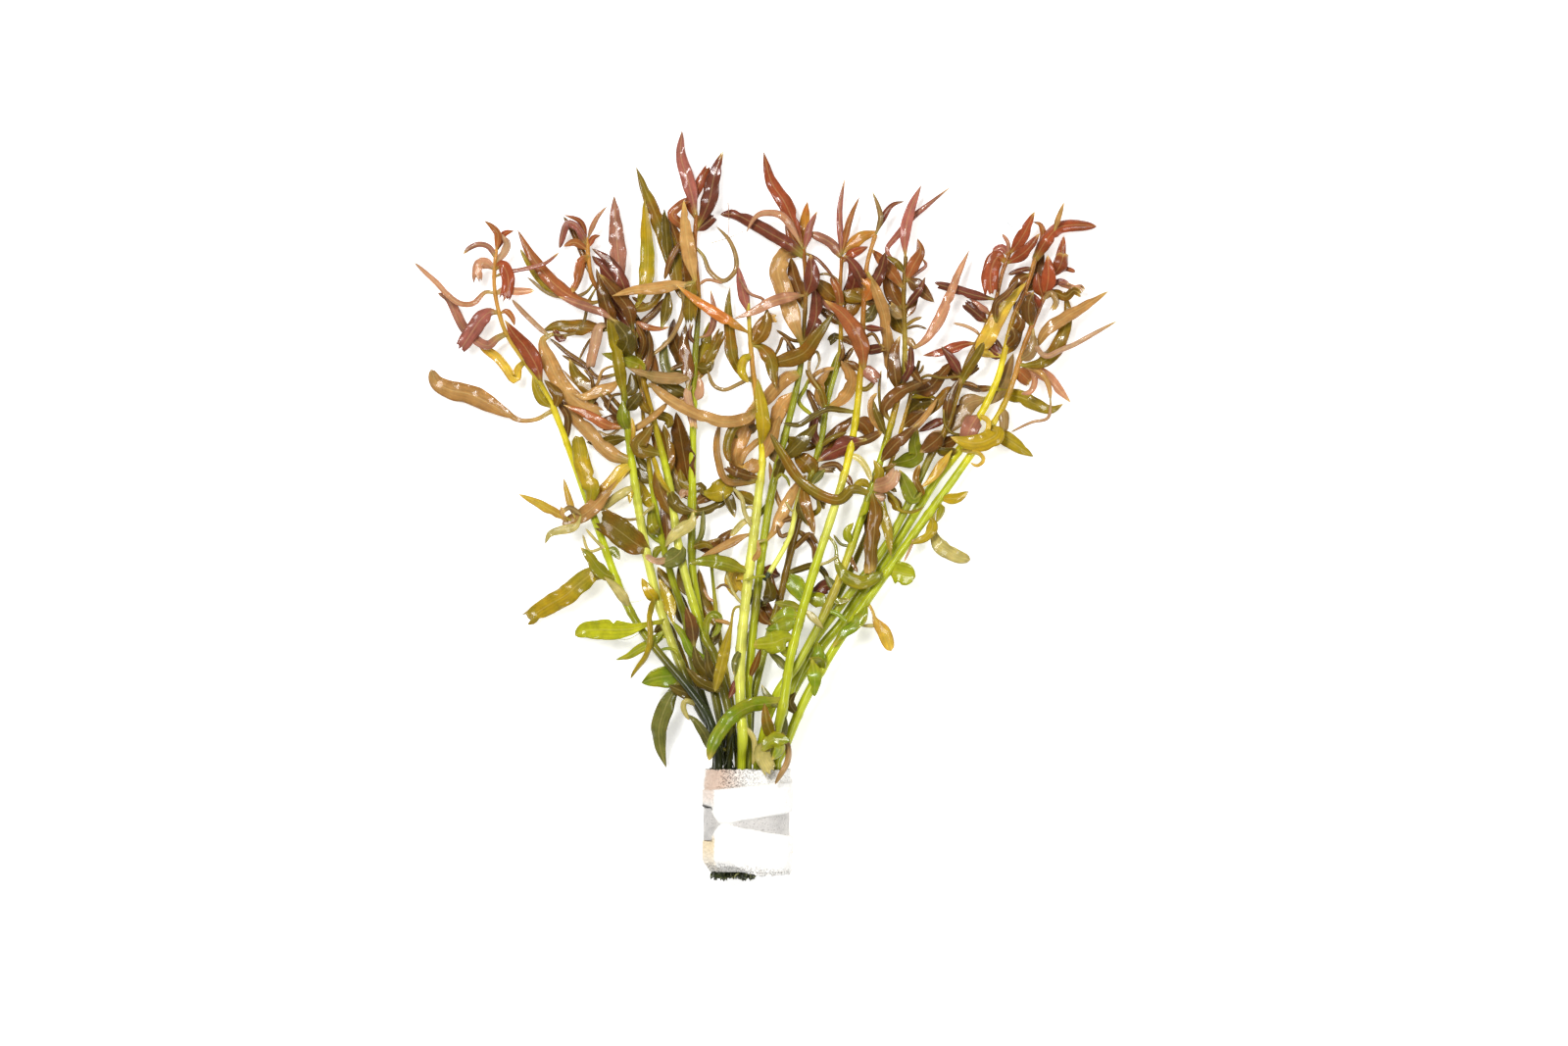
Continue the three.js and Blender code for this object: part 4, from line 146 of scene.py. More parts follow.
# For each stem, the percent of its length from the foam end at which it has each colour.
STEM_TINTS = {
    "stem_01": "31 dark 37 olive 50 lime 60 lime 70 yellow 82 straw 92 tan",
    "stem_02": "26 dark 33 olive 42 pale 52 pale 68 lime 75 moss 82 gold 92 rust 99 tan",
    "stem_03": "18 dark 27 olive 37 olive 45 lime 56 pale 70 lime 80 gold 90 brown 99 tan",
    "stem_04": "34 dark 43 olive 55 moss 78 lime 88 gold 99 brown",
    "stem_05": "18 dark 27 olive 35 olive 41 lime 50 moss 60 lime 70 lime 82 olive 92 rust",
    "stem_06": "18 dark 40 olive 70 straw 90 moss",
    "stem_07": "22 lime 36 pale 67 pale 74 yellow 80 gold 88 tan 98 straw",
    "stem_08": "20 moss 30 lime 37 lime 43 olive 50 lime 60 moss 80 moss 88 brown 98 rust",
    "stem_09": "10 pale 60 pale 90 brown",
    "stem_10": "20 olive 36 moss 44 brown 58 brown 68 moss 80 moss 88 gold 96 rust",
    "stem_11": "20 moss 30 lime 48 lime 56 pale 66 yellow 73 yellow 80 gold 91 rust 99 tan",
    "stem_12": "20 lime 29 lime 40 moss 50 straw 58 lime 63 moss 70 lime 78 gold 84 straw 92 brown",
    "stem_13": "25 olive 35 lime 45 moss 56 moss 68 brown 78 gold 90 gold 99 brown",
    "stem_14": "22 lime 48 moss 55 lime 62 moss 69 brown 76 gold 84 brown 96 rust",
    "stem_15": "20 lime 42 lime 50 lime 62 lime 72 yellow 81 yellow 87 gold 94 rust 99 tan",
    "stem_16": "20 lime 28 lime 42 lime 50 lime 58 lime 66 lime 72 yellow 78 gold 84 tan 90 rust",
}

# Fine threads that lie across the leaves: the stem they belong to, radius in mm, colour, heights of
# the two ends in mm, route.
THREADS = """
stem_05 0.16 #8a5a3c 3.4 4.4: 743,207 1,18 -1,18
stem_05 0.13 #96806a 2 4: 726,248 17,-5 17,-7
stem_15 0.13 #9aa0a8 3 12: 1023,224 7,6 7,9
stem_02 0.1 #a8b070 0.4 5: 622,650 18,2 14,-7 7,-5
stem_02 0.1 #a8b070 0.4 5: 634,613 14,1 13,-3 9,6
"""

# Shoots from the foam outwards, drawn on the grid: every route is its first column,row and then
# steps. A stem's line has its name, its radius at the foam and at the tip, its height in the foam
# and its place in the foam. The lines after it are its leaves, in the order in which they grew on:
# tint, outline, width in mm and the route from the stem to the tip.
SHOOTS = """
stem_01 1.35 1 15.5 733,894: 729,745 -13,-27 -23,-31 -26,-31 -20,-27 -14,-34 -12,-32 -14,-34 -15,-42 -9,-26
  -16,-40 -15,-29 -16,-22 -17,-26 -9,-24 -5,-30 2,-35
copper blade 2.2: 508,254 1,-14 -6,-8 -8,-6
rust blade 2.2: 508,254 6,-14 11,-4
rosewood ribbon 1.6: 506,264 -6,-11 -10,-3 -10,4 -6,6
blush blade 2.6: 507,270 7,-11 4,-9 -5,-10
salmon torn 3.2: 505,276 -7,-6 -7,0 -3,9 1,10
rust torn 3.6: 507,276 6,-5 6,11 0,14 -5,13
salmon ribbon 2.2: 506,300 9,-3 15,1 16,-1
rose ribbon 1.2: 506,283 9,-4 10,-2 20,-4 12,-4 14,-11
salmon ribbon 1.6: 505,300 -9,-1 -12,11 -14,0 -13,-9 -11,-12 -12,-11 -11,-10
copper blade 1.8: 510,321 7,-3 6,6 3,9
rose torn 4.4: 509,320 -8,-1 -8,6 -9,12 -8,12 -7,10
rosewood ribbon 2.7: 517,341 -9,5 -9,7 -12,-5 -14,-14 -8,-15 -7,-13 -11,-7
amber ribbon 2.6: 535,370 -5,5 -4,12 -10,-13 -8,-9 -11,-8 -13,-10
rust blade 4.8: 553,392 -5,-18 -11,-19 -11,-13 -10,-15
gold blade 2.8: 564,417 -10,-8 -6,-11 -4,-14
bronze blade 3.2: 565,419 5,-14 -6,-9 -8,-8
peach club 5.4: 561,421 -13,7 -16,1 -18,-9 -18,-10 -18,-8 -18,-4 -14,-8 -6,-13
umber ribbon 2.0: 590,446 -10,-19 -7,-14 -7,-11
citron torn 4.8: 601,517 3,-17 -5,-15 -5,-15 -4,-26
moss blade 2.6: 619,560 8,2 6,9
moss blade 3.8: 630,590 -11,-4 -9,-8 -7,-10 -10,-10
celery blade 3.0: 641,622 -5,-14 -8,-10 -11,-10
citron torn 5.4: 630,588 -13,-2 -11,-1 -14,10 -14,12 -16,9 -14,9 -12,9
celery ribbon 0.9: 618,565 -10,-14 -10,-12
celery ribbon 0.9: 617,558 -15,4 -7,-17
stem_02 1.5 1.1 12.3 733,894: 730,748 -14,-23 -19,-47 -13,-28 -12,-42 -8,-25 -7,-40 -6,-40 -5,-23 -5,-39
  -4,-39 -7,-42 -6,-29 -9,-28 -11,-20 -4,-21 -1,-19
rust blade 1.5: 599,244 -6,-17 -17,-7
salmon blade 1.6: 600,243 9,-19 11,-13
rose ribbon 2.2: 599,250 -10,-18 -10,-3 -8,25
copper blade 2.4: 600,256 -13,-8 -12,4
rust blade 1.8: 600,254 6,-11 7,-2
umber ribbon 1.8: 602,282 -11,-32 -8,-17 -8,-12
copper ribbon 2.8: 601,264 -6,4 -3,14 -7,17
khaki ribbon 1.0: 604,290 -6,9 -16,5 -22,-4 -22,-17
copper blade 4.0: 613,308 -13,1 -18,-7 -20,-16 -20,-26 -14,-26
gold ribbon 1.4: 568,303 -16,-15 -11,-16 -10,-18
khaki ribbon 0.9: 607,294 -7,16 -3,15 -5,12 -14,5 -16,-1
peach torn 4.6: 562,342 -8,6 6,19 9,19 12,16 16,14 19,8
blush ribbon 1.5: 557,339 -11,-9 -11,-11 -12,-13
olive blade 4.6: 624,336 -24,-1 -20,-2 -14,0 -13,5
plum ribbon 2.0: 577,357 -5,-11 -7,-10
umber ribbon 1.4: 610,385 -14,-14 -16,-11 -19,-15
umber ribbon 1.0: 602,379 -16,-10 -13,-7
umber ribbon 0.8: 592,366 5,-11 7,-11
blush torn 3.0: 624,331 -12,3 -4,15 -4,16 -2,15
olive blade 4.4: 606,402 -9,-9 -9,-11 -7,-16
umber ribbon 1.0: 614,395 -10,-9 -8,-9
peach blade 3.4: 635,386 -11,9 -14,5 -14,5 -11,-3
peach ribbon 0.9: 632,372 -16,6 -7,15 -13,4 -13,-10 -9,-10
peach ribbon 4.2: 644,470 -18,-6 -17,-15 -14,-15 -13,-13 -13,-13
umber torn 4.2: 641,430 -13,0 -17,4
khaki ribbon 0.9: 641,428 -12,12 -9,4 -10,-5
umber blade 3.6: 612,421 -9,-8 -6,-9
bronze ribbon 1.2: 639,424 -11,-14 -10,-11
umber ribbon 1.5: 640,432 -16,-15 -12,-16
umber ribbon 1.6: 634,427 -8,-7 -10,-9
umber ribbon 0.8: 637,402 -12,3 -5,15
drab blade 5.6: 650,363 -9,-16 -14,-21
drab blade 3.8: 637,405 9,-10 -2,-15
drab blade 3.8: 640,420 8,-10 7,-9
moss blade 3.4: 641,441 -5,-13 0,-20
amber ribbon 1.3: 643,458 4,-17 -2,-15
bronze ribbon 1.0: 644,460 8,-13 3,-7
peach ribbon 2.0: 641,442 15,-9 11,-8 14,-14
amber ribbon 3.6: 646,474 -10,5 -9,11 -11,12 -12,11
celery ribbon 2.6: 649,497 -13,6 -13,9 -12,9
tan club 4.2: 646,478 -14,12 -15,16 -14,14 -14,9 -15,6
amber blade 2.8: 584,531 -17,-8 -18,-10 -19,-9
amber blade 2.0: 585,522 -5,-16 -4,-18
khaki torn 1.4: 592,522 -10,-4 -8,5
peach torn 1.4: 580,534 -6,-8 1,-10
celery blade 2.6: 597,531 -9,6 -15,4 -11,4 -5,10
khaki ribbon 0.9: 653,529 -12,1 -11,-3 -13,-9
celery ribbon 0.9: 655,527 6,-6 7,-5
olive torn 7.2: 662,562 -12,-7 -12,-9 -12,-9 -16,-8
lime club 5.6: 680,633 -18,3 -17,5 -15,1 -18,0 -14,1 -11,5
fern blade 2.8: 682,640 -18,15 -12,7 -11,7 -13,4
gold ribbon 1.6: 669,606 -5,22 1,17 -1,13 -5,13 -10,13 -5,8
drab blade 2.4: 681,634 -8,6 -6,5
fern blade 2.6: 685,652 -9,-5 -8,8 -5,9
citron blade 3.2: 673,616 -10,-12 -8,-15
fern ribbon 1.0: 697,676 -7,-12 -8,-3 -10,2
fern blade 6.2: 704,689 -10,-1 -10,1 -14,2 -15,5
drab blade 4.0: 716,714 -13,-7 -10,-4 -10,-5
celery ribbon 1.6: 711,720 -11,-6 -2,8 6,12
umber blade 4.4: 632,354 -8,-26 -8,-26 -7,-28
rosewood blade 2.8: 628,330 -16,-12 -20,-7 -22,-8
gold ribbon 3.4: 639,398 -7,-24 -5,-26 -5,-26
copper blade 3.0: 641,437 -21,-3 -20,-11 -25,-10
drab blade 3.2: 641,447 -15,2 -14,3 -14,-1
citron blade 1.8: 649,494 -5,8 -1,12
drab ribbon 2.2: 713,716 -10,-26 -8,-22 -7,-20 -6,-15
sage blade 5.0: 697,690 -9,14 -9,18 -6,20 1,20 6,21
stem_03 1.45 1.1 12.3 743,894: 746,740 -4,-25 -7,-25 -6,-22 -11,-21 -12,-39 -11,-40 -8,-48 -5,-32 -10,-40
  -9,-38 -7,-25 -5,-27 -6,-26 -5,-24 -4,-18
rosewood blade 4.8: 636,294 -4,-26 -3,-32 -2,-36
citron blade 4.3: 650,312 9,-24 2,-26 -1,-26 -2,-33
plum blade 3.6: 642,314 -6,-24 -14,-23 -18,-13
umber blade 4.0: 652,338 -10,-22 -14,-18 -16,-18
copper blade 1.9: 644,326 16,8 13,2 11,-2
umber ribbon 2.0: 655,366 2,-18 -7,-17
olive ribbon 2.2: 645,316 16,-3 10,-10 8,-16
umber ribbon 1.1: 661,313 -7,-4 -9,-6
drab blade 3.2: 676,342 3,-20 2,-14 1,-14
moss blade 3.9: 674,380 -19,-6 -19,-7 -22,-6
olive blade 2.4: 664,425 -8,-13 -2,-17
olive torn 2.6: 685,417 -2,11 -3,10
olive blade 4.8: 648,471 4,-15 8,-13 7,-10
olive blade 4.0: 686,487 -4,-24 -5,-30
drab blade 3.6: 684,498 5,15 9,7 14,2
citron ribbon 1.5: 685,505 -11,-16 -6,-17 -6,-16
celery blade 3.8: 706,533 -10,7 -9,7 -8,11
sage blade 5.6: 706,553 -11,9 -11,9 -13,3
blush ribbon 2.2: 681,574 -13,-2 -9,-6
fern blade 2.8: 716,682 -10,-18 -8,-16 -14,-17
moss ribbon 2.0: 723,654 -2,-17 6,-11 7,3 -1,12 -7,9
drab blade 3.8: 724,704 -9,-26 -7,-21
drab blade 3.2: 730,708 -5,-26 -4,-22
drab blade 3.2: 738,706 -22,-10 -16,-16
umber blade 4.0: 712,655 -6,-20 -6,-17
gold blade 3.8: 690,634 -8,-22 -9,-22
drab blade 4.2: 704,614 -6,-22 -3,-19
sage blade 3.2: 729,762 -11,-17 -8,-11 -8,-7
plum blade 4.6: 638,302 -10,-14 -12,-14 -12,-13
plum ribbon 3.2: 648,346 -10,-20 -14,-18 -18,-20
umber ribbon 2.2: 649,346 6,-15 13,-12 12,-15
umber blade 3.2: 658,394 2,-22 3,-20 -2,-18
olive blade 3.6: 679,476 -5,-18 -5,-20 -5,-16
bronze blade 4.4: 688,530 -10,-20 -6,-18 -2,-18
drab blade 3.4: 725,662 4,-14 3,-14
umber blade 4.4: 668,392 -6,-26 -7,-26 -7,-22
stem_04 1.3 1 9.1 733,894: 729,748 -14,-43 -10,-40 -5,-31 -8,-24 -8,-27 -7,-31 -6,-22 -5,-30 -4,-35 -5,-35
  -2,-33
citron blade 3.4: 668,521 -9,-14 -8,-19
fern ribbon 1.3: 678,555 -10,-6 -8,-8 -6,-10
moss blade 2.2: 679,558 -8,3 -4,11
drab blade 2.8: 664,482 -8,-9 -8,-9
umber blade 4.0: 686,562 -5,-24 -5,-33
drab blade 4.4: 704,642 -8,-20 -6,-22
olive blade 2.6: 655,400 -4,-13 4,-17
drab blade 4.2: 665,494 -7,-9 -8,-8
moss blade 3.2: 675,547 -8,-9 -2,-13 2,-13
drab blade 3.2: 694,618 -6,-14 -4,-14 -2,-16
olive blade 3.4: 689,602 -10,-10 -8,-14
stem_05 1.4 1.1 9.1 743,894: 738,748 -8,-36 -8,-40 -7,-36 -6,-36 -3,-40 1,-40 -1,-40 1,-40 1,-30 1,-40
  3,-30 1,-30 -1,-30 -3,-30 2,-30
rose blade 4.0: 711,222 -8,-35 -8,-27 1,-27
plum blade 4.6: 712,232 11,-24 6,-28 9,-26
rust torn 3.0: 710,226 -5,-19 8,-17 11,-22
plum torn 3.0: 710,236 10,-7 11,-9
copper torn 2.6: 709,242 -12,-11 -11,-11 6,-8 12,-9
peach blade 4.2: 711,292 -7,-29 -4,-27 -2,-31
khaki ribbon 1.4: 710,252 8,10 6,15 14,10 12,-10 1,-14 -7,-18 -13,-14
salmon ribbon 0.9: 712,292 10,-6 16,4
umber ribbon 1.8: 709,246 -11,1 -12,15 -8,24
olive blade 5.0: 696,302 -9,-38 -14,-36 -13,-30 -11,-28
drab blade 3.2: 679,270 1,-30 -2,-27
umber blade 5.0: 700,307 -3,-33 -8,-34 -7,-20
peach blade 3.5: 712,291 -20,0 -24,4 -20,2 -23,6
khaki ribbon 1.4: 712,287 -14,5 0,20 -5,18 -11,18 -21,18
olive torn 4.0: 711,284 -6,12 -1,35
plum torn 1.2: 711,352 -7,-9 2,-13
sage ribbon 2.8: 684,381 -6,-16 1,-18
umber blade 4.4: 704,382 -10,-20 -6,-17 0,-20
khaki blade 3.5: 723,376 -15,6 -18,4 -25,-2 -24,-8
tan ribbon 2.6: 700,411 -10,-6 -7,-14
blush torn 2.4: 708,393 -6,6 3,21 4,20
umber blade 6.2: 705,502 -5,-24 -5,-28 -5,-30
olive blade 2.8: 706,500 -9,-8 -3,-14
blush blade 3.0: 709,410 6,-12 -2,-14
umber ribbon 1.6: 710,366 -11,5 -15,7
rosewood blade 2.0: 712,346 12,-6 5,-18 -4,-27
olive torn 3.4: 709,392 11,-20 9,-18 9,-17
drab blade 3.2: 710,374 11,2 8,-9
blush blade 3.2: 707,507 -8,-7 -4,9
drab blade 3.0: 707,503 8,-6 4,9
peach blade 3.8: 708,510 0,12 -8,8 -10,9
gold blade 6.0: 719,515 12,-13 13,-9 15,-13
drab blade 3.2: 741,501 5,14 4,13
drab ribbon 2.4: 708,524 14,-4 11,-5 13,-10
umber blade 3.8: 732,558 8,-11 10,-8
sage ribbon 1.6: 707,562 9,-17 2,-25
olive blade 2.4: 707,558 14,-3 10,7
khaki ribbon 0.9: 714,559 12,-7 9,-3
drab blade 3.6: 708,404 -16,-5 -14,-7 -14,-6
gold blade 3.8: 709,386 6,-22 6,-19 3,-17
olive blade 3.6: 706,512 -10,-12 -8,-14 -3,-16
umber blade 4.0: 704,400 -2,-22 -4,-26 2,-22
umber blade 3.4: 706,516 12,-8 14,-5 14,-4
stem_06 1.1 0.8 9.1 753,894: 749,748 -3,-33 -4,-25 -5,-25 -4,-25 -2,-23 -3,-22 -2,-20 -2,-19
olive blade 4.4: 726,644 -9,-32 -4,-32
blush ribbon 0.8: 731,614 -8,-4 -5,-10
fern ribbon 0.9: 727,580 6,-10 -2,-10
stem_07 1.75 1.1 15.5 757,894: 758,748 -1,-30 -2,-28 2,-25 2,-35 4,-32 3,-33 4,-30 4,-30 3,-30 1,-20 -3,-25
  -4,-30 -3,-25 -2,-25 -1,-25 -2,-20
rose blade 3.2: 763,322 -4,-20 -6,-30
rosewood ribbon 0.9: 764,322 15,-15 -14,-7 -12,-17
orange blade 3.2: 766,341 -18,-10 -18,-11 -18,-12 -22,-17
olive blade 3.5: 770,392 -14,-12 -8,-16 -3,-24 -2,-25 2,-22
khaki ribbon 1.2: 768,384 -16,9 -13,5 -11,-5 -6,-15
citron ribbon 2.6: 767,362 -8,6 -2,12 7,11
bronze blade 4.0: 766,353 11,-10 5,-12 1,-16
tan torn 3.6: 766,350 9,-14 9,-10 11,0
olive blade 4.2: 767,352 10,3 9,12 3,15 3,15
citron blade 4.2: 781,457 -2,-25 -3,-23 -3,-23
tan torn 4.2: 772,406 -8,21 -7,20 -6,16 2,13 9,6
olive ribbon 2.6: 763,430 -14,7 -6,18 2,17
tan ribbon 2.0: 776,490 -19,2 -15,-2 -7,-15 -3,-23 3,-21
olive blade 3.0: 753,446 -5,-6 -3,-11
peach ribbon 3.4: 773,418 -13,10 -18,3 -20,-4 -22,-9 -20,-12 -18,-15
peach blade 2.5: 769,543 -12,5 -12,6 -12,6 -19,9
celery ribbon 1.8: 771,528 -13,5 -13,14
moss blade 4.4: 766,585 -15,-7 -18,-5 -15,-1 -16,3
amber torn 4.8: 762,591 -10,-7 -4,9 9,14
celery ribbon 0.9: 760,619 -10,-13 -7,-16 -1,-14
celery ribbon 0.8: 772,524 -6,-7 -8,2
celery ribbon 1.3: 769,542 -9,-19 -3,-14 -9,-12
celery ribbon 0.9: 768,545 5,7 9,-2
tan blade 1.6: 771,576 3,-13 -1,-13
umber ribbon 0.7: 748,601 -10,-5 -8,5
gold club 3.2: 760,618 -10,2 -4,18 -6,24 -4,18 -6,24
tan ribbon 1.2: 748,637 -8,-3 -11,-2
plum blade 2.2: 755,688 -6,13 -5,11
sage blade 2.0: 757,660 -7,14 -1,14
celery ribbon 1.6: 757,739 11,11 2,15 -2,14
tan ribbon 1.9: 777,447 -9,8 -8,8 -4,12
khaki blade 3.0: 776,434 -8,3 -6,4 -5,8
tan torn 4.2: 777,470 -8,6 -10,5
umber torn 3.0: 775,488 -13,-3 -12,-4 -9,-6
tan blade 4.0: 778,472 6,-16 6,-15 6,-17
olive blade 3.6: 773,514 -13,-7 -12,-6
stem_08 1.45 1.1 12.3 763,894: 763,748 0,-30 1,-28 3,-30 3,-25 4,-29 3,-31 4,-26 4,-34 5,-25 5,-17 7,-37
  6,-22 7,-29 3,-30 3,-30 1,-40 -2,-30
rust blade 4.4: 820,256 -18,-46 -15,-24 -8,-31
plum ribbon 3.8: 820,262 -17,-13 -15,-9 -20,-12 -18,-9 -15,0
salmon blade 2.2: 819,254 -19,-31 -16,-5 -13,4 -10,17
orange blade 3.2: 820,255 1,-25 3,-24
rose blade 2.2: 821,256 6,-24 7,-16
peach torn 4.9: 819,354 -8,-22 -6,-20 -6,-18 -5,-18 5,-14 13,-7
plum ribbon 1.0: 822,258 13,8 16,18
plum blade 4.6: 822,304 6,-19 -1,-25
salmon blade 3.2: 827,302 -22,2 -18,5 -17,9 -21,8
plum blade 4.0: 820,353 11,-22 2,-25 -4,-22
umber ribbon 1.0: 819,349 -11,-2 -8,-5 -8,-5
umber ribbon 1.0: 816,370 -16,-25 -5,10 -5,10
olive blade 4.6: 784,371 34,-9 16,-19 17,-23
peach ribbon 4.0: 816,380 -13,6 -12,10 -10,12 -7,9
olive blade 3.4: 808,402 -7,10 -4,19
tan blade 4.6: 806,398 -8,15 -6,17 -2,17
peach blade 3.6: 781,554 9,-13 10,-21 8,-16 12,-20
drab blade 3.4: 790,492 6,-16 6,-16
moss ribbon 1.4: 786,512 -7,8 -5,8
moss ribbon 0.9: 789,497 7,-13 7,4 3,9
drab blade 3.6: 763,597 5,14 14,7
drab blade 3.6: 780,621 6,-15 -3,-17
umber blade 3.2: 771,618 7,12 9,7
umber blade 2.0: 764,694 7,-17 6,-18
plum blade 4.2: 779,580 8,4 9,4
gold blade 2.6: 774,616 -5,20 -5,14 -3,15
drab blade 4.6: 796,472 12,-12 12,-12 14,-16
umber blade 4.2: 822,318 -6,-18 -6,-18 -3,-20
copper blade 3.0: 820,262 -9,-13 -5,-15 -3,-18
umber blade 3.0: 817,372 -8,-12 -6,-14
khaki blade 3.4: 794,475 -5,-15 -4,-14
olive blade 4.2: 800,445 12,7 12,4 12,-4
stem_09 0.85 0.75 0: 780,592 10,-15 8,-14 9,-20 4,-18 4,-21 7,-19
bronze blade 3.2: 815,485 6,24 6,20 4,18
drab blade 2.8: 814,508 4,14 7,15
umber blade 1.6: 811,527 -7,3 -7,2
umber ribbon 1.2: 807,543 -10,4 -4,-12
celery ribbon 0.7: 812,524 -6,-5 -5,-8
lime ribbon 0.8: 784,588 -13,0 -12,4
stem_10 1.25 1 9.1 763,894: 765,748 2,-27 4,-18 8,-35 11,-37 7,-25 7,-28 7,-33 7,-25 11,-38 9,-34 5,-33
  5,-20 8,-29 2,-31 -1,-35 2,-38
rose blade 1.9: 859,266 -2,-29 0,-26 5,-29
copper blade 1.9: 859,262 8,-37 10,-24
rosewood ribbon 2.8: 860,262 -13,-14 -21,-10
orange blade 3.6: 860,260 18,-17 18,-7
rust blade 2.8: 859,268 11,-9 16,-7
bronze blade 4.6: 857,308 -12,-10 -13,-13
copper ribbon 2.4: 858,314 -3,-17 -7,-15
olive blade 3.8: 857,298 12,5 13,4
khaki ribbon 0.8: 858,288 -13,-8 -13,1
drab torn 2.4: 858,345 -6,-1 -7,6
umber blade 2.4: 858,344 7,3 6,6
umber blade 1.4: 855,372 5,-12 -3,-14
tan torn 3.4: 843,417 17,-10 8,-14 -1,-13 -8,-13
umber ribbon 1.6: 853,376 10,-10 8,-12
olive ribbon 1.9: 843,418 -5,-18 -8,-11 -8,-12
tan ribbon 1.3: 853,376 -13,2 -10,6 -6,9
khaki ribbon 0.9: 838,398 -12,-18 1,-15 6,-6 3,10 -5,11
plum ribbon 2.6: 838,456 -9,-15 3,-18
olive ribbon 1.5: 836,456 12,-9 16,-6
olive blade 5.6: 835,490 -7,-10 -8,-10 -9,-7
khaki torn 1.8: 830,481 12,-2 12,1
sage blade 2.4: 842,480 -7,6 -7,9
tan ribbon 1.5: 813,537 -12,-13 -8,-16 -5,-16 -3,-21
gold blade 1.7: 830,533 5,-13 -2,-15
drab torn 2.2: 826,500 11,9 4,11
umber ribbon 1.6: 809,562 8,-10 9,-7 9,10
umber ribbon 1.6: 814,540 15,16 1,17
drab ribbon 1.9: 804,586 11,-5 17,-4 10,9 3,12
fern blade 5.4: 803,584 7,10 7,11 7,12
celery ribbon 0.9: 809,556 -5,-4 -5,4
umber ribbon 1.9: 796,612 -7,-14 -3,-13
lime ribbon 1.2: 806,422 9,-12 7,-15 4,-11
plum blade 4.6: 858,312 9,-12 5,-17 -6,-21
bronze blade 4.6: 858,330 10,-15 8,-17 3,-17
rosewood blade 3.6: 857,318 -11,-9 -14,-8
umber ribbon 2.6: 857,330 -11,-8 -10,-7
moss blade 3.0: 843,415 2,-19 6,-20 4,-18
tan blade 3.0: 843,420 -7,-14 1,-16 10,-12
umber ribbon 2.2: 839,434 -8,-20 -8,-17
umber torn 3.6: 789,634 -6,-9 -4,-12
umber blade 4.4: 829,475 13,-17 14,-18 16,-16
stem_11 1.5 1.1 15.5 783,890: 787,765 7,-24 5,-23 3,-19 5,-32 8,-32 10,-35 7,-22 11,-35 11,-33 10,-36 6,-33
  6,-39 2,-27 3,-35 1,-30 2,-35 9,-35
khaki blade 1.6: 892,244 6,-22 -8,-26
plum blade 1.9: 893,243 7,-19 10,-14 13,-4
orange torn 3.2: 882,308 6,-12 -9,-12
tan torn 3.3: 884,276 10,23 8,23 3,23 2,23 3,21
copper blade 5.2: 881,378 -2,-24 -8,-18 -13,-16 -17,-13
plum blade 2.0: 882,334 10,2 10,0
plum torn 2.6: 880,359 12,-2 11,-3
rosewood torn 3.6: 878,374 8,6 11,9
umber blade 2.2: 878,380 -7,-7 -8,-4
olive ribbon 1.5: 877,397 7,0 8,-8
drab blade 3.8: 882,330 7,-10 4,-10
umber ribbon 1.0: 881,347 9,-6 8,12
umber ribbon 2.6: 882,308 11,1 11,3
drab ribbon 1.7: 874,421 -16,-2 -13,-1 -15,7 -15,9 -16,-2
umber blade 5.2: 873,428 9,6 9,14
umber ribbon 2.6: 869,453 15,-4 16,-8
plum blade 5.6: 883,446 -17,8 -16,7 -16,10
celery ribbon 1.9: 867,464 9,4 8,10 5,13
umber ribbon 1.7: 862,483 -9,-9 -16,2
umber blade 1.9: 862,482 4,8 4,8
moss club 3.8: 843,545 9,11 2,17 8,14 18,7 21,-10
celery ribbon 0.9: 835,578 10,-5 11,-7
fern blade 4.2: 817,628 -14,-2 -16,8
moss blade 3.0: 819,620 -15,-3 -14,-3
fern blade 4.4: 815,634 -14,3 -10,4 -10,0
lime round 6.0: 802,650 -13,5 -20,2
celery blade 2.2: 819,620 10,9 11,12
lime blade 3.6: 810,656 -4,8 -11,-1
sage blade 2.4: 803,685 -8,-12 -11,-9
fern ribbon 4.2: 798,715 -16,1 -17,3 -15,9 -13,15 -8,14 -5,17
olive blade 3.6: 791,754 -8,-18 -3,-21
sage blade 2.4: 797,722 -12,-11 -8,-14
sage blade 3.4: 790,758 7,-13 4,-18
celery torn 4.6: 771,752 7,13 10,22
fern blade 4.4: 773,759 15,-6 19,1
fern blade 3.6: 790,751 5,11 -7,11
khaki ribbon 1.8: 800,747 4,14 -1,16 -12,21
plum blade 3.4: 883,300 -5,-16 -8,-14 -10,-10
plum blade 4.0: 883,306 8,-15 8,-16 4,-17
stem_12 1.4 1.1 12.3 773,890: 775,765 9,-35 11,-27 20,-28 16,-30 12,-28 8,-14 10,-29 12,-31 11,-33 10,-27
  9,-29 9,-36 9,-34 2,-39 -1,-42 2,-41
rose blade 3.2: 924,266 -1,-25 6,-27 11,-25
rose blade 1.9: 923,276 -18,-19 11,-17 14,-17 17,-14 24,-19
copper blade 3.6: 923,290 9,-19 7,-14 -3,-13
rose ribbon 1.0: 923,289 14,-11 8,-7 -4,-7
olive blade 2.0: 923,280 -9,-12 -11,-6
umber blade 4.0: 922,284 12,7 9,9 10,9
copper blade 3.8: 922,296 -10,-14 -11,-14 -12,-14
plum blade 2.2: 922,316 15,-18 7,-15
umber blade 2.8: 922,326 8,-13 7,-14
olive ribbon 1.0: 923,334 9,-7 9,-3
umber ribbon 0.8: 923,336 12,-3 11,3
salmon blade 3.2: 928,357 15,-9 13,-18 8,-17 11,-28 14,-30
khaki blade 2.4: 923,344 7,7 5,6
umber blade 4.0: 919,402 -6,-20 -1,-20 6,-19
umber blade 2.8: 922,366 8,12 10,14
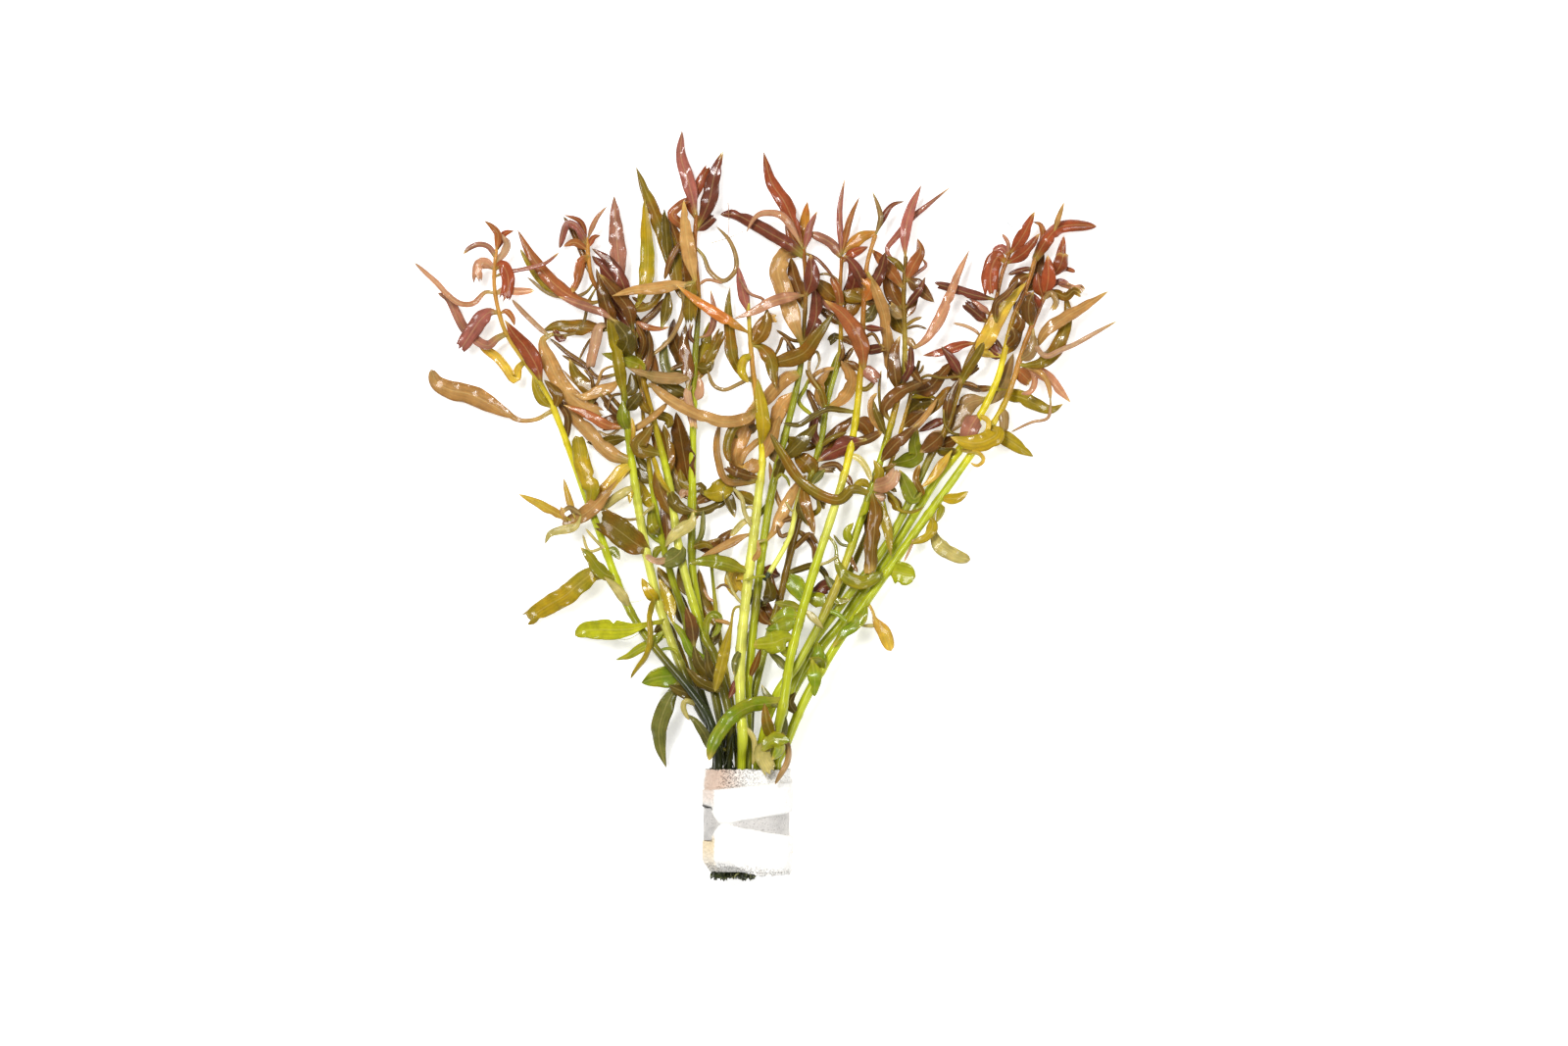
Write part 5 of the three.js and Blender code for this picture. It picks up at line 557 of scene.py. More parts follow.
umber blade 4.0: 907,430 -5,-12 12,-15 15,-8 21,-8
tan ribbon 1.9: 907,455 21,-15 13,-12 15,-21
tan ribbon 1.7: 905,444 -15,-17 -1,-17 6,-9
olive ribbon 0.9: 905,446 -7,-31 -1,-20 2,-18
khaki torn 3.2: 923,325 -10,-7 -8,-7
blush torn 4.4: 893,500 14,-8 8,-13
gold blade 3.0: 890,498 7,-15 -6,-14
olive blade 1.6: 895,482 13,-5 7,-5
olive ribbon 2.0: 888,500 6,-10 11,4 10,8
gold blade 2.4: 889,498 -10,-6 -11,8
olive ribbon 3.0: 887,504 -18,-4 -12,10 -14,-2 -18,-10 -14,-14 -12,-19 -13,-22
bronze torn 3.9: 889,501 4,20 -2,24 -2,23 0,19
blush torn 3.0: 886,505 9,1 9,1
lime blade 2.4: 885,508 -2,11 -7,8
gold blade 3.3: 888,500 16,36 5,32
umber torn 2.8: 881,518 5,15 0,16
umber ribbon 1.2: 865,563 5,11 5,10
lime blade 2.6: 868,556 -4,-13 7,-10
sage ribbon 0.9: 868,557 -10,-2 -8,-10
fern blade 4.6: 846,620 -10,-8 -15,-5
sage blade 2.4: 852,602 -4,-7 -6,-8
moss blade 2.2: 848,609 8,4 11,-2
fern ribbon 1.3: 842,622 11,3 11,9
lime ribbon 0.8: 904,506 2,24 6,15 9,7
gold ribbon 1.0: 887,503 18,-1 9,9 4,9 12,2 13,-5
umber blade 4.8: 922,318 -9,-15 -6,-17 -3,-18
olive blade 4.6: 922,342 -8,-16 -7,-18
plum ribbon 2.0: 920,394 8,-18 1,-23
drab blade 2.2: 905,446 -7,-15 -5,-12 -2,-11
plum blade 4.2: 852,600 -8,-3 -9,5 -8,6
umber blade 4.0: 901,474 10,-18 13,-12 12,-12
stem_13 1.1 0.9 9.1 773,890: 777,762 9,-34 13,-26 21,-34 17,-28 18,-32 18,-40 16,-36 14,-40 9,-32 9,-27
  8,-34 9,-31
citron blade 2.0: 929,406 14,-3 13,4
drab blade 5.0: 925,424 13,-12 15,-3
umber torn 3.4: 921,436 13,-11 12,-7
moss blade 4.8: 939,484 -5,-18 -1,-14 3,-15
rust blade 2.2: 912,456 -4,2 -7,5
umber blade 4.4: 929,401 19,-5 13,-15 12,-13
khaki ribbon 0.8: 934,384 6,-6 2,-6
stem_14 1.35 1.1 12.3 783,890: 788,760 14,-44 13,-32 18,-34 18,-26 19,-26 17,-21 19,-25 13,-27 11,-21
  12,-25 10,-19 12,-20 10,-35 13,-36 19,-36 9,-23 7,-30 8,-22
rust torn 4.8: 1027,268 -10,-5 -7,17 1,22
rust blade 3.5: 1030,261 12,-18 13,-26
rose ribbon 2.0: 1030,260 -8,-7 -10,4
rosewood ribbon 1.2: 1029,260 -1,-12 -6,-9
rust blade 3.6: 1026,270 20,-13 14,-18
plum torn 2.6: 1016,306 -16,-3 -15,-4 -15,-5 -17,-4
plum torn 3.2: 1008,330 -14,-12 -11,-9
rosewood torn 2.2: 1011,322 -13,-10 -11,-5
blush ribbon 1.0: 1001,344 -6,-6 -10,-5 -13,-3
rust blade 2.8: 997,350 -15,2 -14,5 -13,4 -14,2
plum blade 3.0: 984,386 -10,-14 -8,-11 -6,-7
olive ribbon 0.9: 982,384 -22,2 -15,-2 -11,7
bronze blade 3.2: 978,396 -10,3 -10,10 -12,17
umber torn 1.7: 982,386 8,-6 9,-6
umber ribbon 1.3: 979,391 11,1 8,4
umber blade 5.0: 966,440 -12,10 -16,12
olive ribbon 2.4: 953,457 10,3 13,-1
bronze ribbon 1.9: 948,513 -8,-10 -6,-14 4,-15
amber blade 2.9: 972,471 -12,4 -9,12 -12,11
moss blade 4.4: 943,516 -11,-7 -7,-13 -8,-17
plum blade 2.6: 967,427 -15,6 -16,8
blush ribbon 0.8: 963,440 -10,1 -11,10
olive ribbon 2.6: 980,392 8,-16 9,-14 6,-12
umber blade 3.4: 982,388 -11,-8 -5,-9
umber blade 2.8: 968,434 -2,-18 6,-18 7,-12
umber blade 4.0: 954,457 12,-5 13,-6
olive blade 3.4: 920,523 -8,-11 -7,-10
stem_15 1.55 1.2 9.1 783,890: 790,762 11,-40 15,-30 24,-35 17,-20 19,-29 12,-14 11,-15 16,-28 13,-20 11,-17
  15,-23 14,-17 12,-17 19,-33 16,-31 9,-33 9,-33 7,-19 10,-23 8,-30
copper blade 2.0: 1058,256 6,-14 -3,-12 -8,-3
rust ribbon 3.6: 1056,266 11,-20 13,-13 17,-3 22,1
tan blade 1.6: 1074,238 5,-14 6,-17
amber blade 4.8: 1001,358 7,-15 8,-15 9,-15 11,-13 11,-12
umber ribbon 1.9: 1007,325 9,-14 11,-10 11,-14
plum torn 3.8: 1024,360 -8,0 -8,-7
plum blade 1.5: 1024,362 -5,-9 -5,-9
umber blade 3.2: 1029,345 12,-14 -4,-14
umber blade 3.0: 1026,355 9,-11 -4,-11
gold blade 4.2: 1014,395 14,7 15,4 15,7 14,5 13,-6
umber ribbon 2.0: 1013,396 -16,1 -12,-4 -12,2
khaki blade 5.8: 1003,404 -15,8 -10,15 -11,16
plum blade 2.4: 986,404 -9,14 -8,11
rosewood round 5.2: 999,422 -9,14 -7,21
olive ribbon 0.9: 987,443 -14,0 -9,-9 -2,-17
amber ribbon 1.5: 999,424 9,7 -4,15 -9,3
amber ribbon 1.2: 979,460 18,3 5,7 -6,5 -7,-3
celery torn 2.2: 880,603 -6,0 -6,5
umber blade 3.6: 1051,280 -9,4 -8,8 -6,10
plum ribbon 1.5: 1052,274 -10,2 -14,5
umber blade 4.4: 1047,300 9,-14 4,-16 5,-13
umber blade 4.6: 1035,324 8,-12 5,-13
khaki blade 4.0: 1004,416 14,-14 9,-20 7,-22
bronze blade 3.8: 1023,364 9,-12 7,-16 3,-16
stem_16 1.5 1.1 12.3 793,890: 799,765 12,-27 12,-28 17,-31 12,-19 13,-20 14,-20 14,-19 12,-16 12,-17 13,-18
  11,-16 10,-15 9,-14 8,-12 10,-14 13,-16 18,-27 15,-23 6,-16 11,-30 6,-20 8,-20 8,-18 7,-19 9,-20
rust torn 4.0: 1075,283 6,-12 4,-14
rust ribbon 1.4: 1076,282 10,-7 11,3
rust blade 4.2: 1066,304 3,-20 -1,-23
rose ribbon 1.6: 1069,296 11,-8 11,3
salmon torn 1.6: 1073,287 13,4 10,3 7,-1 3,6
rust blade 2.8: 1077,276 5,-15 3,-20
olive blade 4.2: 1044,373 18,-3 13,-11 9,-18 5,-21 -3,-23
bronze torn 2.4: 1076,299 11,4 8,-6 8,5
tan blade 3.6: 1056,353 11,-15 18,-13 19,-11 27,-17
blush ribbon 1.5: 1056,334 0,18 10,12 17,-7 14,-6 18,-10 24,-13
khaki torn 1.8: 1065,308 7,-8 5,8 -4,10
rust blade 3.4: 1060,318 -5,-10 -9,-10
salmon blade 3.4: 1041,371 15,7 13,8 11,12 12,13
copper torn 4.0: 1038,377 6,6 8,8
salmon ribbon 1.7: 1042,372 10,6 3,11 -4,10 -10,3
peach ribbon 1.6: 1043,371 18,10 8,13 2,15
blush ribbon 0.9: 1071,414 -3,13 -16,4 -21,10
khaki torn 2.8: 1023,415 1,13 0,14
gold blade 4.4: 1011,438 19,12 12,8 12,8
citron blade 5.6: 1012,434 4,9 -13,8 -15,1 -19,-6
citron blade 3.2: 957,509 9,0 11,-1 11,-7
moss blade 2.2: 955,513 5,6 -5,14
gold blade 3.2: 946,526 5,5 -1,9 -8,9 -14,6
celery club 4.2: 954,515 -2,16 1,14 5,11 10,7 10,5 12,3
lime round 6.8: 906,583 10,1 9,2 9,2
blush ribbon 0.8: 934,545 -4,11 -8,17
fern blade 3.6: 883,614 -2,11 -10,12 -11,9 -11,14
amber club 3.8: 884,613 6,10 4,11 8,11 7,19
celery blade 1.2: 894,640 -8,-2 -9,0
fern blade 4.0: 839,684 -4,-15 -1,-15
moss blade 2.4: 843,685 -7,-12 -11,-2
fern blade 4.2: 827,675 4,15 0,20
drab blade 2.8: 802,724 4,-8 6,-11
rust blade 4.2: 1066,306 -6,-14 -2,-14
umber blade 4.4: 1053,335 -4,-13 0,-13 5,-11
khaki blade 3.4: 1041,369 9,-8 4,-10 -1,-12
"""


def linear(code: str) -> np.ndarray:
    """Turns an sRGB hex code into linear colour.

    Args:
        code: Colour such as "#8f5a48".

    Returns:
        Red, green and blue, linear, from 0 to 1.
    """
    srgb = np.array([int(code[i : i + 2], 16) for i in (1, 3, 5)]) / 255
    return np.where(srgb <= 0.04045, srgb / 12.92, ((srgb + 0.055) / 1.055) ** 2.4)


def smoothstep(low: float, high: float, value: np.ndarray) -> np.ndarray:
    """Rises smoothly from 0 at low to 1 at high."""
    t = np.clip((value - low) / (high - low), 0, 1)
    return t * t * (3 - 2 * t)


def to_points(route: str) -> np.ndarray:
    """Turns a first column,row and the steps after it into points in mm, one row each."""
    drawn = np.cumsum([[float(part) for part in pair.split(",")] for pair in route.split()], axis=0)
    return np.column_stack([(drawn[:, 0] - GRID_COLUMN) * GRID_STEP, (GRID_ROW - drawn[:, 1]) * GRID_STEP])


def run_lengths(points: np.ndarray) -> np.ndarray:
    """Gives the running length at each point of a route."""
    return np.concatenate([[0], np.cumsum(np.linalg.norm(np.diff(points, axis=0), axis=1))])


def thin_route(points: np.ndarray, most: int, bend: float) -> list[int]:
    """Drops the straightest points of a route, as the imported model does.

    Args:
        points: The route.
        most: Most points that stay.
        bend: Least distance in mm of a kept point from the chord of its neighbours.

    Returns:
        Indices of the points that stay.
    """
    kept = list(range(len(points)))
    while len(kept) > 2:
        offs = []
        for a, b, c in zip(kept, kept[1:], kept[2:]):
            chord, arm = points[c] - points[a], points[b] - points[a]
            offs.append(abs(chord[0] * arm[1] - chord[1] * arm[0]) / (math.hypot(*chord) or 1))
        least = int(np.argmin(offs))
        if len(kept) <= most and offs[least] >= bend:
            break
        kept.pop(least + 1)
    return kept


def nearest_on(points: np.ndarray, point: np.ndarray) -> tuple[float, np.ndarray, float]:
    """Finds the nearest place on a route, a little away from its ends.

    Args:
        points: The route in plan.
        point: The place to start from.

    Returns:
        Distance, the place, and the index along the route with its fraction.
    """
    best = (math.inf, points[0], 0.0)
    last = len(points) - 2
    for i in range(len(points) - 1):
        arm = points[i + 1] - points[i]
        span = float(arm @ arm)
        inset = min(0.45, 1 / math.sqrt(span))
        t = float((point - points[i]) @ arm) / span
        t = min(1 - inset if i == last else 1, max(inset if i == 0 else 0, t))
        place = points[i] + arm * t
        away = float(np.linalg.norm(place - point))
        if away < best[0]:
            best = (away, place, i + t)
    return best


def smooth_curve(stations: np.ndarray, count: int) -> np.ndarray:
    """Runs one smooth curve through stations, evenly spaced along its length.

    Args:
        stations: Points the curve passes through.
        count: Points on the curve.

    Returns:
        The curve's points.
    """
    run = run_lengths(stations)
    slopes = np.empty_like(stations)
    slopes[1:-1] = (stations[2:] - stations[:-2]) / (run[2:] - run[:-2])[:, None]
    slopes[0] = (stations[1] - stations[0]) / (run[1] - run[0])
    slopes[-1] = (stations[-1] - stations[-2]) / (run[-1] - run[-2])
    at = np.linspace(0, run[-1], max(count * 3, 60))
    i = np.clip(np.searchsorted(run, at, side="right") - 1, 0, len(run) - 2)
    span = (run[i + 1] - run[i])[:, None]
    t = (at[:, None] - run[i][:, None]) / span
    curve = (
        (2 * t**3 - 3 * t**2 + 1) * stations[i]
        + (t**3 - 2 * t**2 + t) * span * slopes[i]
        + (3 * t**2 - 2 * t**3) * stations[i + 1]
        + (t**3 - t**2) * span * slopes[i + 1]
    )
    even = run_lengths(curve)
    at = np.linspace(0, even[-1], count)
    return np.column_stack([np.interp(at, even, curve[:, k]) for k in range(3)])


def side_frames(curve: np.ndarray) -> tuple[np.ndarray, np.ndarray]:
    """Gives the left and upward directions along a curve.

    Args:
        curve: Points of the curve.

    Returns:
        Two arrays of unit directions.
    """
    ahead = np.gradient(curve, axis=0)
    ahead /= np.linalg.norm(ahead, axis=1, keepdims=True) + 1e-9
    left = np.column_stack([-ahead[:, 1], ahead[:, 0], np.zeros(len(curve))])
    left /= np.linalg.norm(left, axis=1, keepdims=True) + 1e-9
    return left, np.cross(ahead, left)


def waver(rng: np.random.Generator, run: np.ndarray, pitch: float) -> np.ndarray:
    """Makes a smooth random line.

    Args:
        rng: Source of chance.
        run: Where it is read, in mm.
        pitch: Distance between its turning places in mm.

    Returns:
        Values from about -1 to 1.
    """
    count = max(2, int(run.max() / pitch) + 3)
    knots = rng.uniform(-1, 1, count + 1)
    at = np.clip(run / pitch, 0, count - 0.001)
    i = at.astype(int)
    t = at - i
    t = t * t * (3 - 2 * t)
    return knots[i] * (1 - t) + knots[i + 1] * t


def tube_faces(rows: int, ring: int) -> np.ndarray:
    """Gives the quads of a closed tube of rings with an even number of points, ends included."""
    i, j = np.arange(rows - 1)[:, None], np.arange(ring)[None, :]
    a, b = i * ring + j, i * ring + (j + 1) % ring
    sides = np.stack([a, b, b + ring, a + ring], -1).reshape(-1, 4)
    k = np.arange(ring // 2 - 1)
    start = np.stack([k, ring - 1 - k, ring - 2 - k, k + 1], -1)
    return np.concatenate([sides, start, (rows - 1) * ring + start[:, ::-1]])


@dataclass
class Skin:
    """Points, quads, colours and flat coordinates of one piece while it is being made."""

    points: list[np.ndarray] = field(default_factory=list)
    faces: list[np.ndarray] = field(default_factory=list)
    colours: list[np.ndarray] = field(default_factory=list)
    flats: list[np.ndarray] = field(default_factory=list)
    count: int = 0

    def add_rings(self, rings: np.ndarray, colours: np.ndarray, flats: np.ndarray) -> None:
        """Adds one closed tube.

        Args:
            rings: Points in mm by row and place in the ring.
            colours: Linear colour of each point.
            flats: Across and along, in mm, of each point.
        """
        rows, ring = rings.shape[:2]
        self.faces.append(tube_faces(rows, ring) + self.count)
        self.points.append(rings.reshape(-1, 3))
        self.colours.append(colours.reshape(-1, 3))
        self.flats.append(flats.reshape(-1, 2))
        self.count += rows * ring

    def to_object(self, name: str, material: bpy.types.Material) -> bpy.types.Object:
        """Makes the piece's object.

        Args:
            name: Its name.
            material: Its finish.

        Returns:
            The object, smooth shaded, in the scene.
        """
        points, faces = np.concatenate(self.points) * MM, np.concatenate(self.faces)
        mesh = bpy.data.meshes.new(name)
        mesh.vertices.add(len(points))
        mesh.vertices.foreach_set("co", points.astype(np.float32).ravel())
        mesh.loops.add(faces.size)
        mesh.loops.foreach_set("vertex_index", faces.astype(np.int32).ravel())
        mesh.polygons.add(len(faces))
        mesh.polygons.foreach_set("loop_start", np.arange(0, faces.size, 4, dtype=np.int32))
        mesh.polygons.foreach_set("use_smooth", np.ones(len(faces), bool))
        colours = np.column_stack([np.concatenate(self.colours), np.ones(len(points))])
        layer = mesh.color_attributes.new("tint", "FLOAT_COLOR", "POINT")
        layer.data.foreach_set("color", colours.astype(np.float32).ravel())
        flat = mesh.uv_layers.new(name="flat")
        flat.data.foreach_set("uv", np.concatenate(self.flats)[faces.ravel()].astype(np.float32).ravel())
        mesh.update()
        mesh.validate()
        mesh.materials.append(material)
        piece = bpy.data.objects.new(name, mesh)
        bpy.context.scene.collection.objects.link(piece)
        return piece


def fill_sockets(node: bpy.types.Node, inputs: dict) -> None:
    """Sets or links inputs of a node, where a source is a socket or a node's first output.

    Args:
        node: The node.
        inputs: Value or source for each input, by name or index.
    """
    for name, value in inputs.items():
        source = value.outputs[0] if isinstance(value, bpy.types.Node) else value
        if isinstance(source, bpy.types.NodeSocket):
            node.id_data.links.new(source, node.inputs[name])
        else:
            node.inputs[name].default_value = source


def add_node(tree: bpy.types.NodeTree, kind: str, inputs: dict, **settings: object) -> bpy.types.Node:
    """Adds one node with its settings and links.

    Args:
        tree: Where it goes.
        kind: Its type.
        inputs: Value or source for each input, by name or index.
        **settings: Properties of the node.

    Returns:
        The node.
    """
    node = tree.nodes.new("ShaderNode" + kind)
    for name, value in settings.items():
        setattr(node, name, value)
    fill_sockets(node, inputs)
    return node


def new_material(name: str) -> tuple[bpy.types.Material, bpy.types.NodeTree, bpy.types.Node]:
    """Starts a material.

    Args:
        name: Its name.

    Returns:
        The material, its tree and its shader.
    """
    material = bpy.data.materials.new(name)
    material.use_nodes = True
    return material, material.node_tree, material.node_tree.nodes["Principled BSDF"]


@dataclass(frozen=True)
class WetLeafBlade:
    """Leaf grown under water: thin, soft and wet, with a pale midrib and faint side veins.

    The wet film gives broken, sharp highlights on a satin blade, and light comes through it.
    """

    # Patches of thicker tissue, 2 to 3 mm across as on the real blade.
    mottle: float = 2.6
    # Side veins stand about 1 mm apart on a real blade, and run forward as they run outwards.
    # They, the streaks and the grain of the cells are drawn coarser than real, so that they show.
    vein_pitch: float = 1.7
    vein_lean: float = -1.5
    streak: float = 0.6
    grain: float = 0.35
    rib: tuple[float, float] = (0.05, 0.3)
    roughness: tuple[float, float] = (0.3, 0.46)
    film: float = 0.8

    def material(self) -> bpy.types.Material:
        """Makes the finish."""
        material, tree, shader = new_material("wet_leaf_blade")
        tint = add_node(tree, "Attribute", {}, attribute_name="tint")
        flat = add_node(tree, "UVMap", {}, uv_map="flat")
        parts = add_node(tree, "SeparateXYZ", {0: flat})
        off = add_node(tree, "Math", {0: parts}, operation="ABSOLUTE")
        rib = add_node(
            tree, "MapRange", {0: off, 1: self.rib[0], 2: self.rib[1], 3: 1.0, 4: 0.0},
            interpolation_type="SMOOTHSTEP",
        )
        lean = add_node(
            tree, "Math", {0: off, 1: self.vein_lean, 2: parts.outputs[1]}, operation="MULTIPLY_ADD"
        )
        phase = add_node(tree, "Math", {0: lean, 1: 2 * math.pi / self.vein_pitch}, operation="MULTIPLY")
        wave = add_node(tree, "Math", {0: phase}, operation="SINE")
        vein = add_node(tree, "MapRange", {0: wave, 1: 0.72, 2: 1.0, 3: 0.0, 4: 1.0})
        place = add_node(tree, "TexCoord", {}).outputs["Object"]
        mottle = add_node(
            tree, "TexNoise",
            {"Vector": place, "Scale": 1 / (self.mottle * MM), "Detail": 3.0, "Roughness": 0.55},
        )
        drawn = add_node(tree, "Mapping", {0: flat, 3: (1 / self.streak, 0.1, 1.0)})
        streak = add_node(tree, "TexNoise", {"Vector": drawn, "Scale": 1.0, "Detail": 3.0})
        lines = add_node(tree, "MapRange", {0: streak, 1: 0.3, 2: 0.7, 3: 0.84, 4: 1.16})
        grain = add_node(tree, "TexNoise", {"Vector": place, "Scale": 1 / (self.grain * MM), "Detail": 2.0})
        shade = add_node(tree, "MapRange", {0: mottle, 1: 0.3, 2: 0.7, 3: 0.86, 4: 1.14})
        both = add_node(tree, "Math", {0: lines, 1: shade}, operation="MULTIPLY")
        face = add_node(tree, "Mix", {0: 1.0, 6: tint, 7: both}, data_type="RGBA", blend_type="MULTIPLY")
        pale = add_node(
            tree, "Mix", {0: 0.17, 6: face.outputs[2], 7: (*linear("#d8c27a"), 1)}, data_type="RGBA"
        )
        ribs = add_node(tree, "Math", {0: vein, 1: 0.14, 2: rib}, operation="MULTIPLY_ADD", use_clamp=True)
        colour = add_node(tree, "Mix", {0: ribs, 6: face.outputs[2], 7: pale.outputs[2]}, data_type="RGBA")
        rough = add_node(
            tree, "MapRange", {0: grain, 1: 0.3, 2: 0.7, 3: self.roughness[0], 4: self.roughness[1]},
        )
        relief = add_node(tree, "Math", {0: grain, 1: 0.5, 2: ribs}, operation="MULTIPLY_ADD")
        bump = add_node(tree, "Bump", {"Strength": 0.5, "Distance": 0.12 * MM, "Height": relief})
        film = add_node(tree, "Bump", {"Strength": 0.4, "Distance": 0.3 * MM, "Height": mottle})
        sockets = {
            "Base Color": colour.outputs[2], "Roughness": rough, "Normal": bump, "IOR": 1.42,
            "Specular IOR Level": 0.15, "Subsurface Weight": 0.22, "Subsurface Radius": (1.0, 0.6, 0.25),
            "Subsurface Scale": 0.6 * MM, "Coat Weight": self.film, "Coat Roughness": 0.09,
            "Coat IOR": WATER_IOR, "Coat Normal": film,
        }
        fill_sockets(shader, sockets)
        return material


@dataclass(frozen=True)
class WetStemSkin:
    """Skin of a soft water stem: smooth and juicy, with fine lengthwise fibres under a wet film."""

    # Fibres lie about 0.1 mm apart on a real stem and are drawn coarser, so that they show.
    fibre: float = 0.32
    blotch: float = 5.0
    roughness: tuple[float, float] = (0.28, 0.46)
    film: float = 0.55

    def material(self) -> bpy.types.Material:
        """Makes the finish."""
        material, tree, shader = new_material("wet_stem_skin")
        tint = add_node(tree, "Attribute", {}, attribute_name="tint")
        flat = add_node(tree, "UVMap", {}, uv_map="flat")
        drawn = add_node(tree, "Mapping", {0: flat, 3: (1 / self.fibre, 0.09, 1.0)})
        fibre = add_node(tree, "TexNoise", {"Vector": drawn, "Scale": 1.0, "Detail": 3.0})
        place = add_node(tree, "TexCoord", {}).outputs["Object"]
        blotch = add_node(
            tree, "TexNoise",
            {"Vector": place, "Scale": 1 / (self.blotch * MM), "Detail": 4.0, "Roughness": 0.6},
        )
        streak = add_node(tree, "MapRange", {0: fibre, 1: 0.3, 2: 0.7, 3: 0.82, 4: 1.14})
        shade = add_node(tree, "MapRange", {0: blotch, 1: 0.3, 2: 0.7, 3: 0.85, 4: 1.12})
        both = add_node(tree, "Math", {0: streak, 1: shade}, operation="MULTIPLY")
        colour = add_node(tree, "Mix", {0: 1.0, 6: tint, 7: both}, data_type="RGBA", blend_type="MULTIPLY")
        rough = add_node(
            tree, "MapRange", {0: blotch, 1: 0.3, 2: 0.7, 3: self.roughness[0], 4: self.roughness[1]},
        )
        bump = add_node(tree, "Bump", {"Strength": 0.35, "Distance": 0.1 * MM, "Height": fibre})
        sockets = {
            "Base Color": colour.outputs[2], "Roughness": rough, "Normal": bump, "IOR": 1.4,
            "Specular IOR Level": 0.2, "Subsurface Weight": 0.3, "Subsurface Radius": (1.0, 1.0, 0.3),
            "Subsurface Scale": 0.9 * MM, "Coat Weight": self.film, "Coat Roughness": 0.08,
            "Coat IOR": WATER_IOR,
        }
        fill_sockets(shader, sockets)
        return material


@dataclass(frozen=True)
class OpenCellFoam:
    """Cut open-cell polyurethane foam: chalky white; on the cut faces the pores carry painted shade and
    brown grit.

    The tint attribute holds the stain together with painted shade on the cut faces and in the crease,
    and the flat layer the share of open pores, so the outer turn stays clean and soft while the cut
    band and the rim look coarse and speckled.
    """

    # Cells of such foam are 0.3 to 0.5 mm wide and are drawn about twice as coarse, so that they show.
    pore: float = 0.9
    grit: float = 0.5

    def material(self) -> bpy.types.Material:
        """Makes the finish."""
        material, tree, shader = new_material("open_cell_foam")
        tint = add_node(tree, "Attribute", {}, attribute_name="tint")
        flat = add_node(tree, "UVMap", {}, uv_map="flat")
        parts = add_node(tree, "SeparateXYZ", {0: flat})
        place = add_node(tree, "TexCoord", {}).outputs["Object"]
        cells = add_node(tree, "TexVoronoi", {"Vector": place, "Scale": 1 / (self.pore * MM)})
        specks = add_node(
            tree, "TexNoise",
            {"Vector": place, "Scale": 1 / (self.grit * MM), "Detail": 4.0, "Roughness": 0.7},
        )
        # Painted shade and grit: the pore holes are darkened as shade inside them, and noise specks add
        # brown grit.
        holes = add_node(tree, "MapRange", {0: cells, 1: 0.05, 2: 0.42, 3: 1.0, 4: 0.0})
        dots = add_node(tree, "MapRange", {0: specks, 1: 0.54, 2: 0.6, 3: 0.0, 4: 1.0})
        dark = add_node(tree, "Math", {0: holes, 1: dots}, operation="MAXIMUM")
        amount = add_node(tree, "Math", {0: dark, 1: parts}, operation="MULTIPLY", use_clamp=True)
        shade = add_node(
            tree, "Mix",
            {0: 0.85, 6: tint, 7: (*linear("#4e4034"), 1)}, data_type="RGBA", blend_type="MULTIPLY"
        )
        colour = add_node(tree, "Mix", {0: amount, 6: tint, 7: shade.outputs[2]}, data_type="RGBA")
        depth = add_node(tree, "MapRange", {0: parts, 1: 0.0, 2: 1.0, 3: 0.25, 4: 1.0})
        relief = add_node(tree, "Math", {0: dark, 1: depth}, operation="MULTIPLY")
        bump = add_node(
            tree, "Bump", {"Strength": 0.8, "Distance": 0.3 * MM, "Height": relief}, invert=True
        )
        sockets = {
            "Base Color": colour.outputs[2], "Roughness": 0.95, "Normal": bump, "IOR": 1.45,
            "Specular IOR Level": 0.2, "Subsurface Weight": 0.35, "Subsurface Radius": (1.0, 0.95, 0.9),
            "Subsurface Scale": 1.2 * MM,
        }
        fill_sockets(shader, sockets)
        return material


@dataclass(frozen=True)
class SoftLeadSheet:
    """Rolled soft metal sheet, hand bent: dull oxide skin that scatters, with wiped brighter dents."""

    # Bloom of the oxide skin, and fine scratches that are drawn coarser than real, so that they show.
    bloom: float = 4.0
    speck: float = 0.5

    def material(self) -> bpy.types.Material:
        """Makes the finish."""
        material, tree, shader = new_material("soft_lead_sheet")
        place = add_node(tree, "TexCoord", {}).outputs["Object"]
        bloom = add_node(
            tree, "TexNoise",
            {"Vector": place, "Scale": 1 / (self.bloom * MM), "Detail": 6.0, "Roughness": 0.65},
        )
        specks = add_node(
            tree, "TexNoise", {"Vector": place, "Scale": 1 / (self.speck * MM), "Detail": 3.0},
        )
        light = add_node(tree, "MapRange", {0: bloom, 1: 0.3, 2: 0.7, 3: 0.0, 4: 1.0})
        base = add_node(
            tree, "Mix",
            {0: light, 6: (*linear("#b4b1ae"), 1), 7: (*linear("#d6d2cd"), 1)}, data_type="RGBA"
        )
        dots = add_node(tree, "MapRange", {0: specks, 1: 0.56, 2: 0.7, 3: 0.0, 4: 0.7})
        colour = add_node(
            tree, "Mix", {0: dots, 6: base.outputs[2], 7: (*linear("#807c78"), 1)}, data_type="RGBA"
        )
        rough = add_node(tree, "MapRange", {0: specks, 1: 0.3, 2: 0.7, 3: 0.55, 4: 0.75})
        bump = add_node(tree, "Bump", {"Strength": 0.5, "Distance": 0.2 * MM, "Height": specks})
        sockets = {"Base Color": colour.outputs[2], "Roughness": rough, "Normal": bump, "Metallic": 0.4}
        fill_sockets(shader, sockets)
        return material


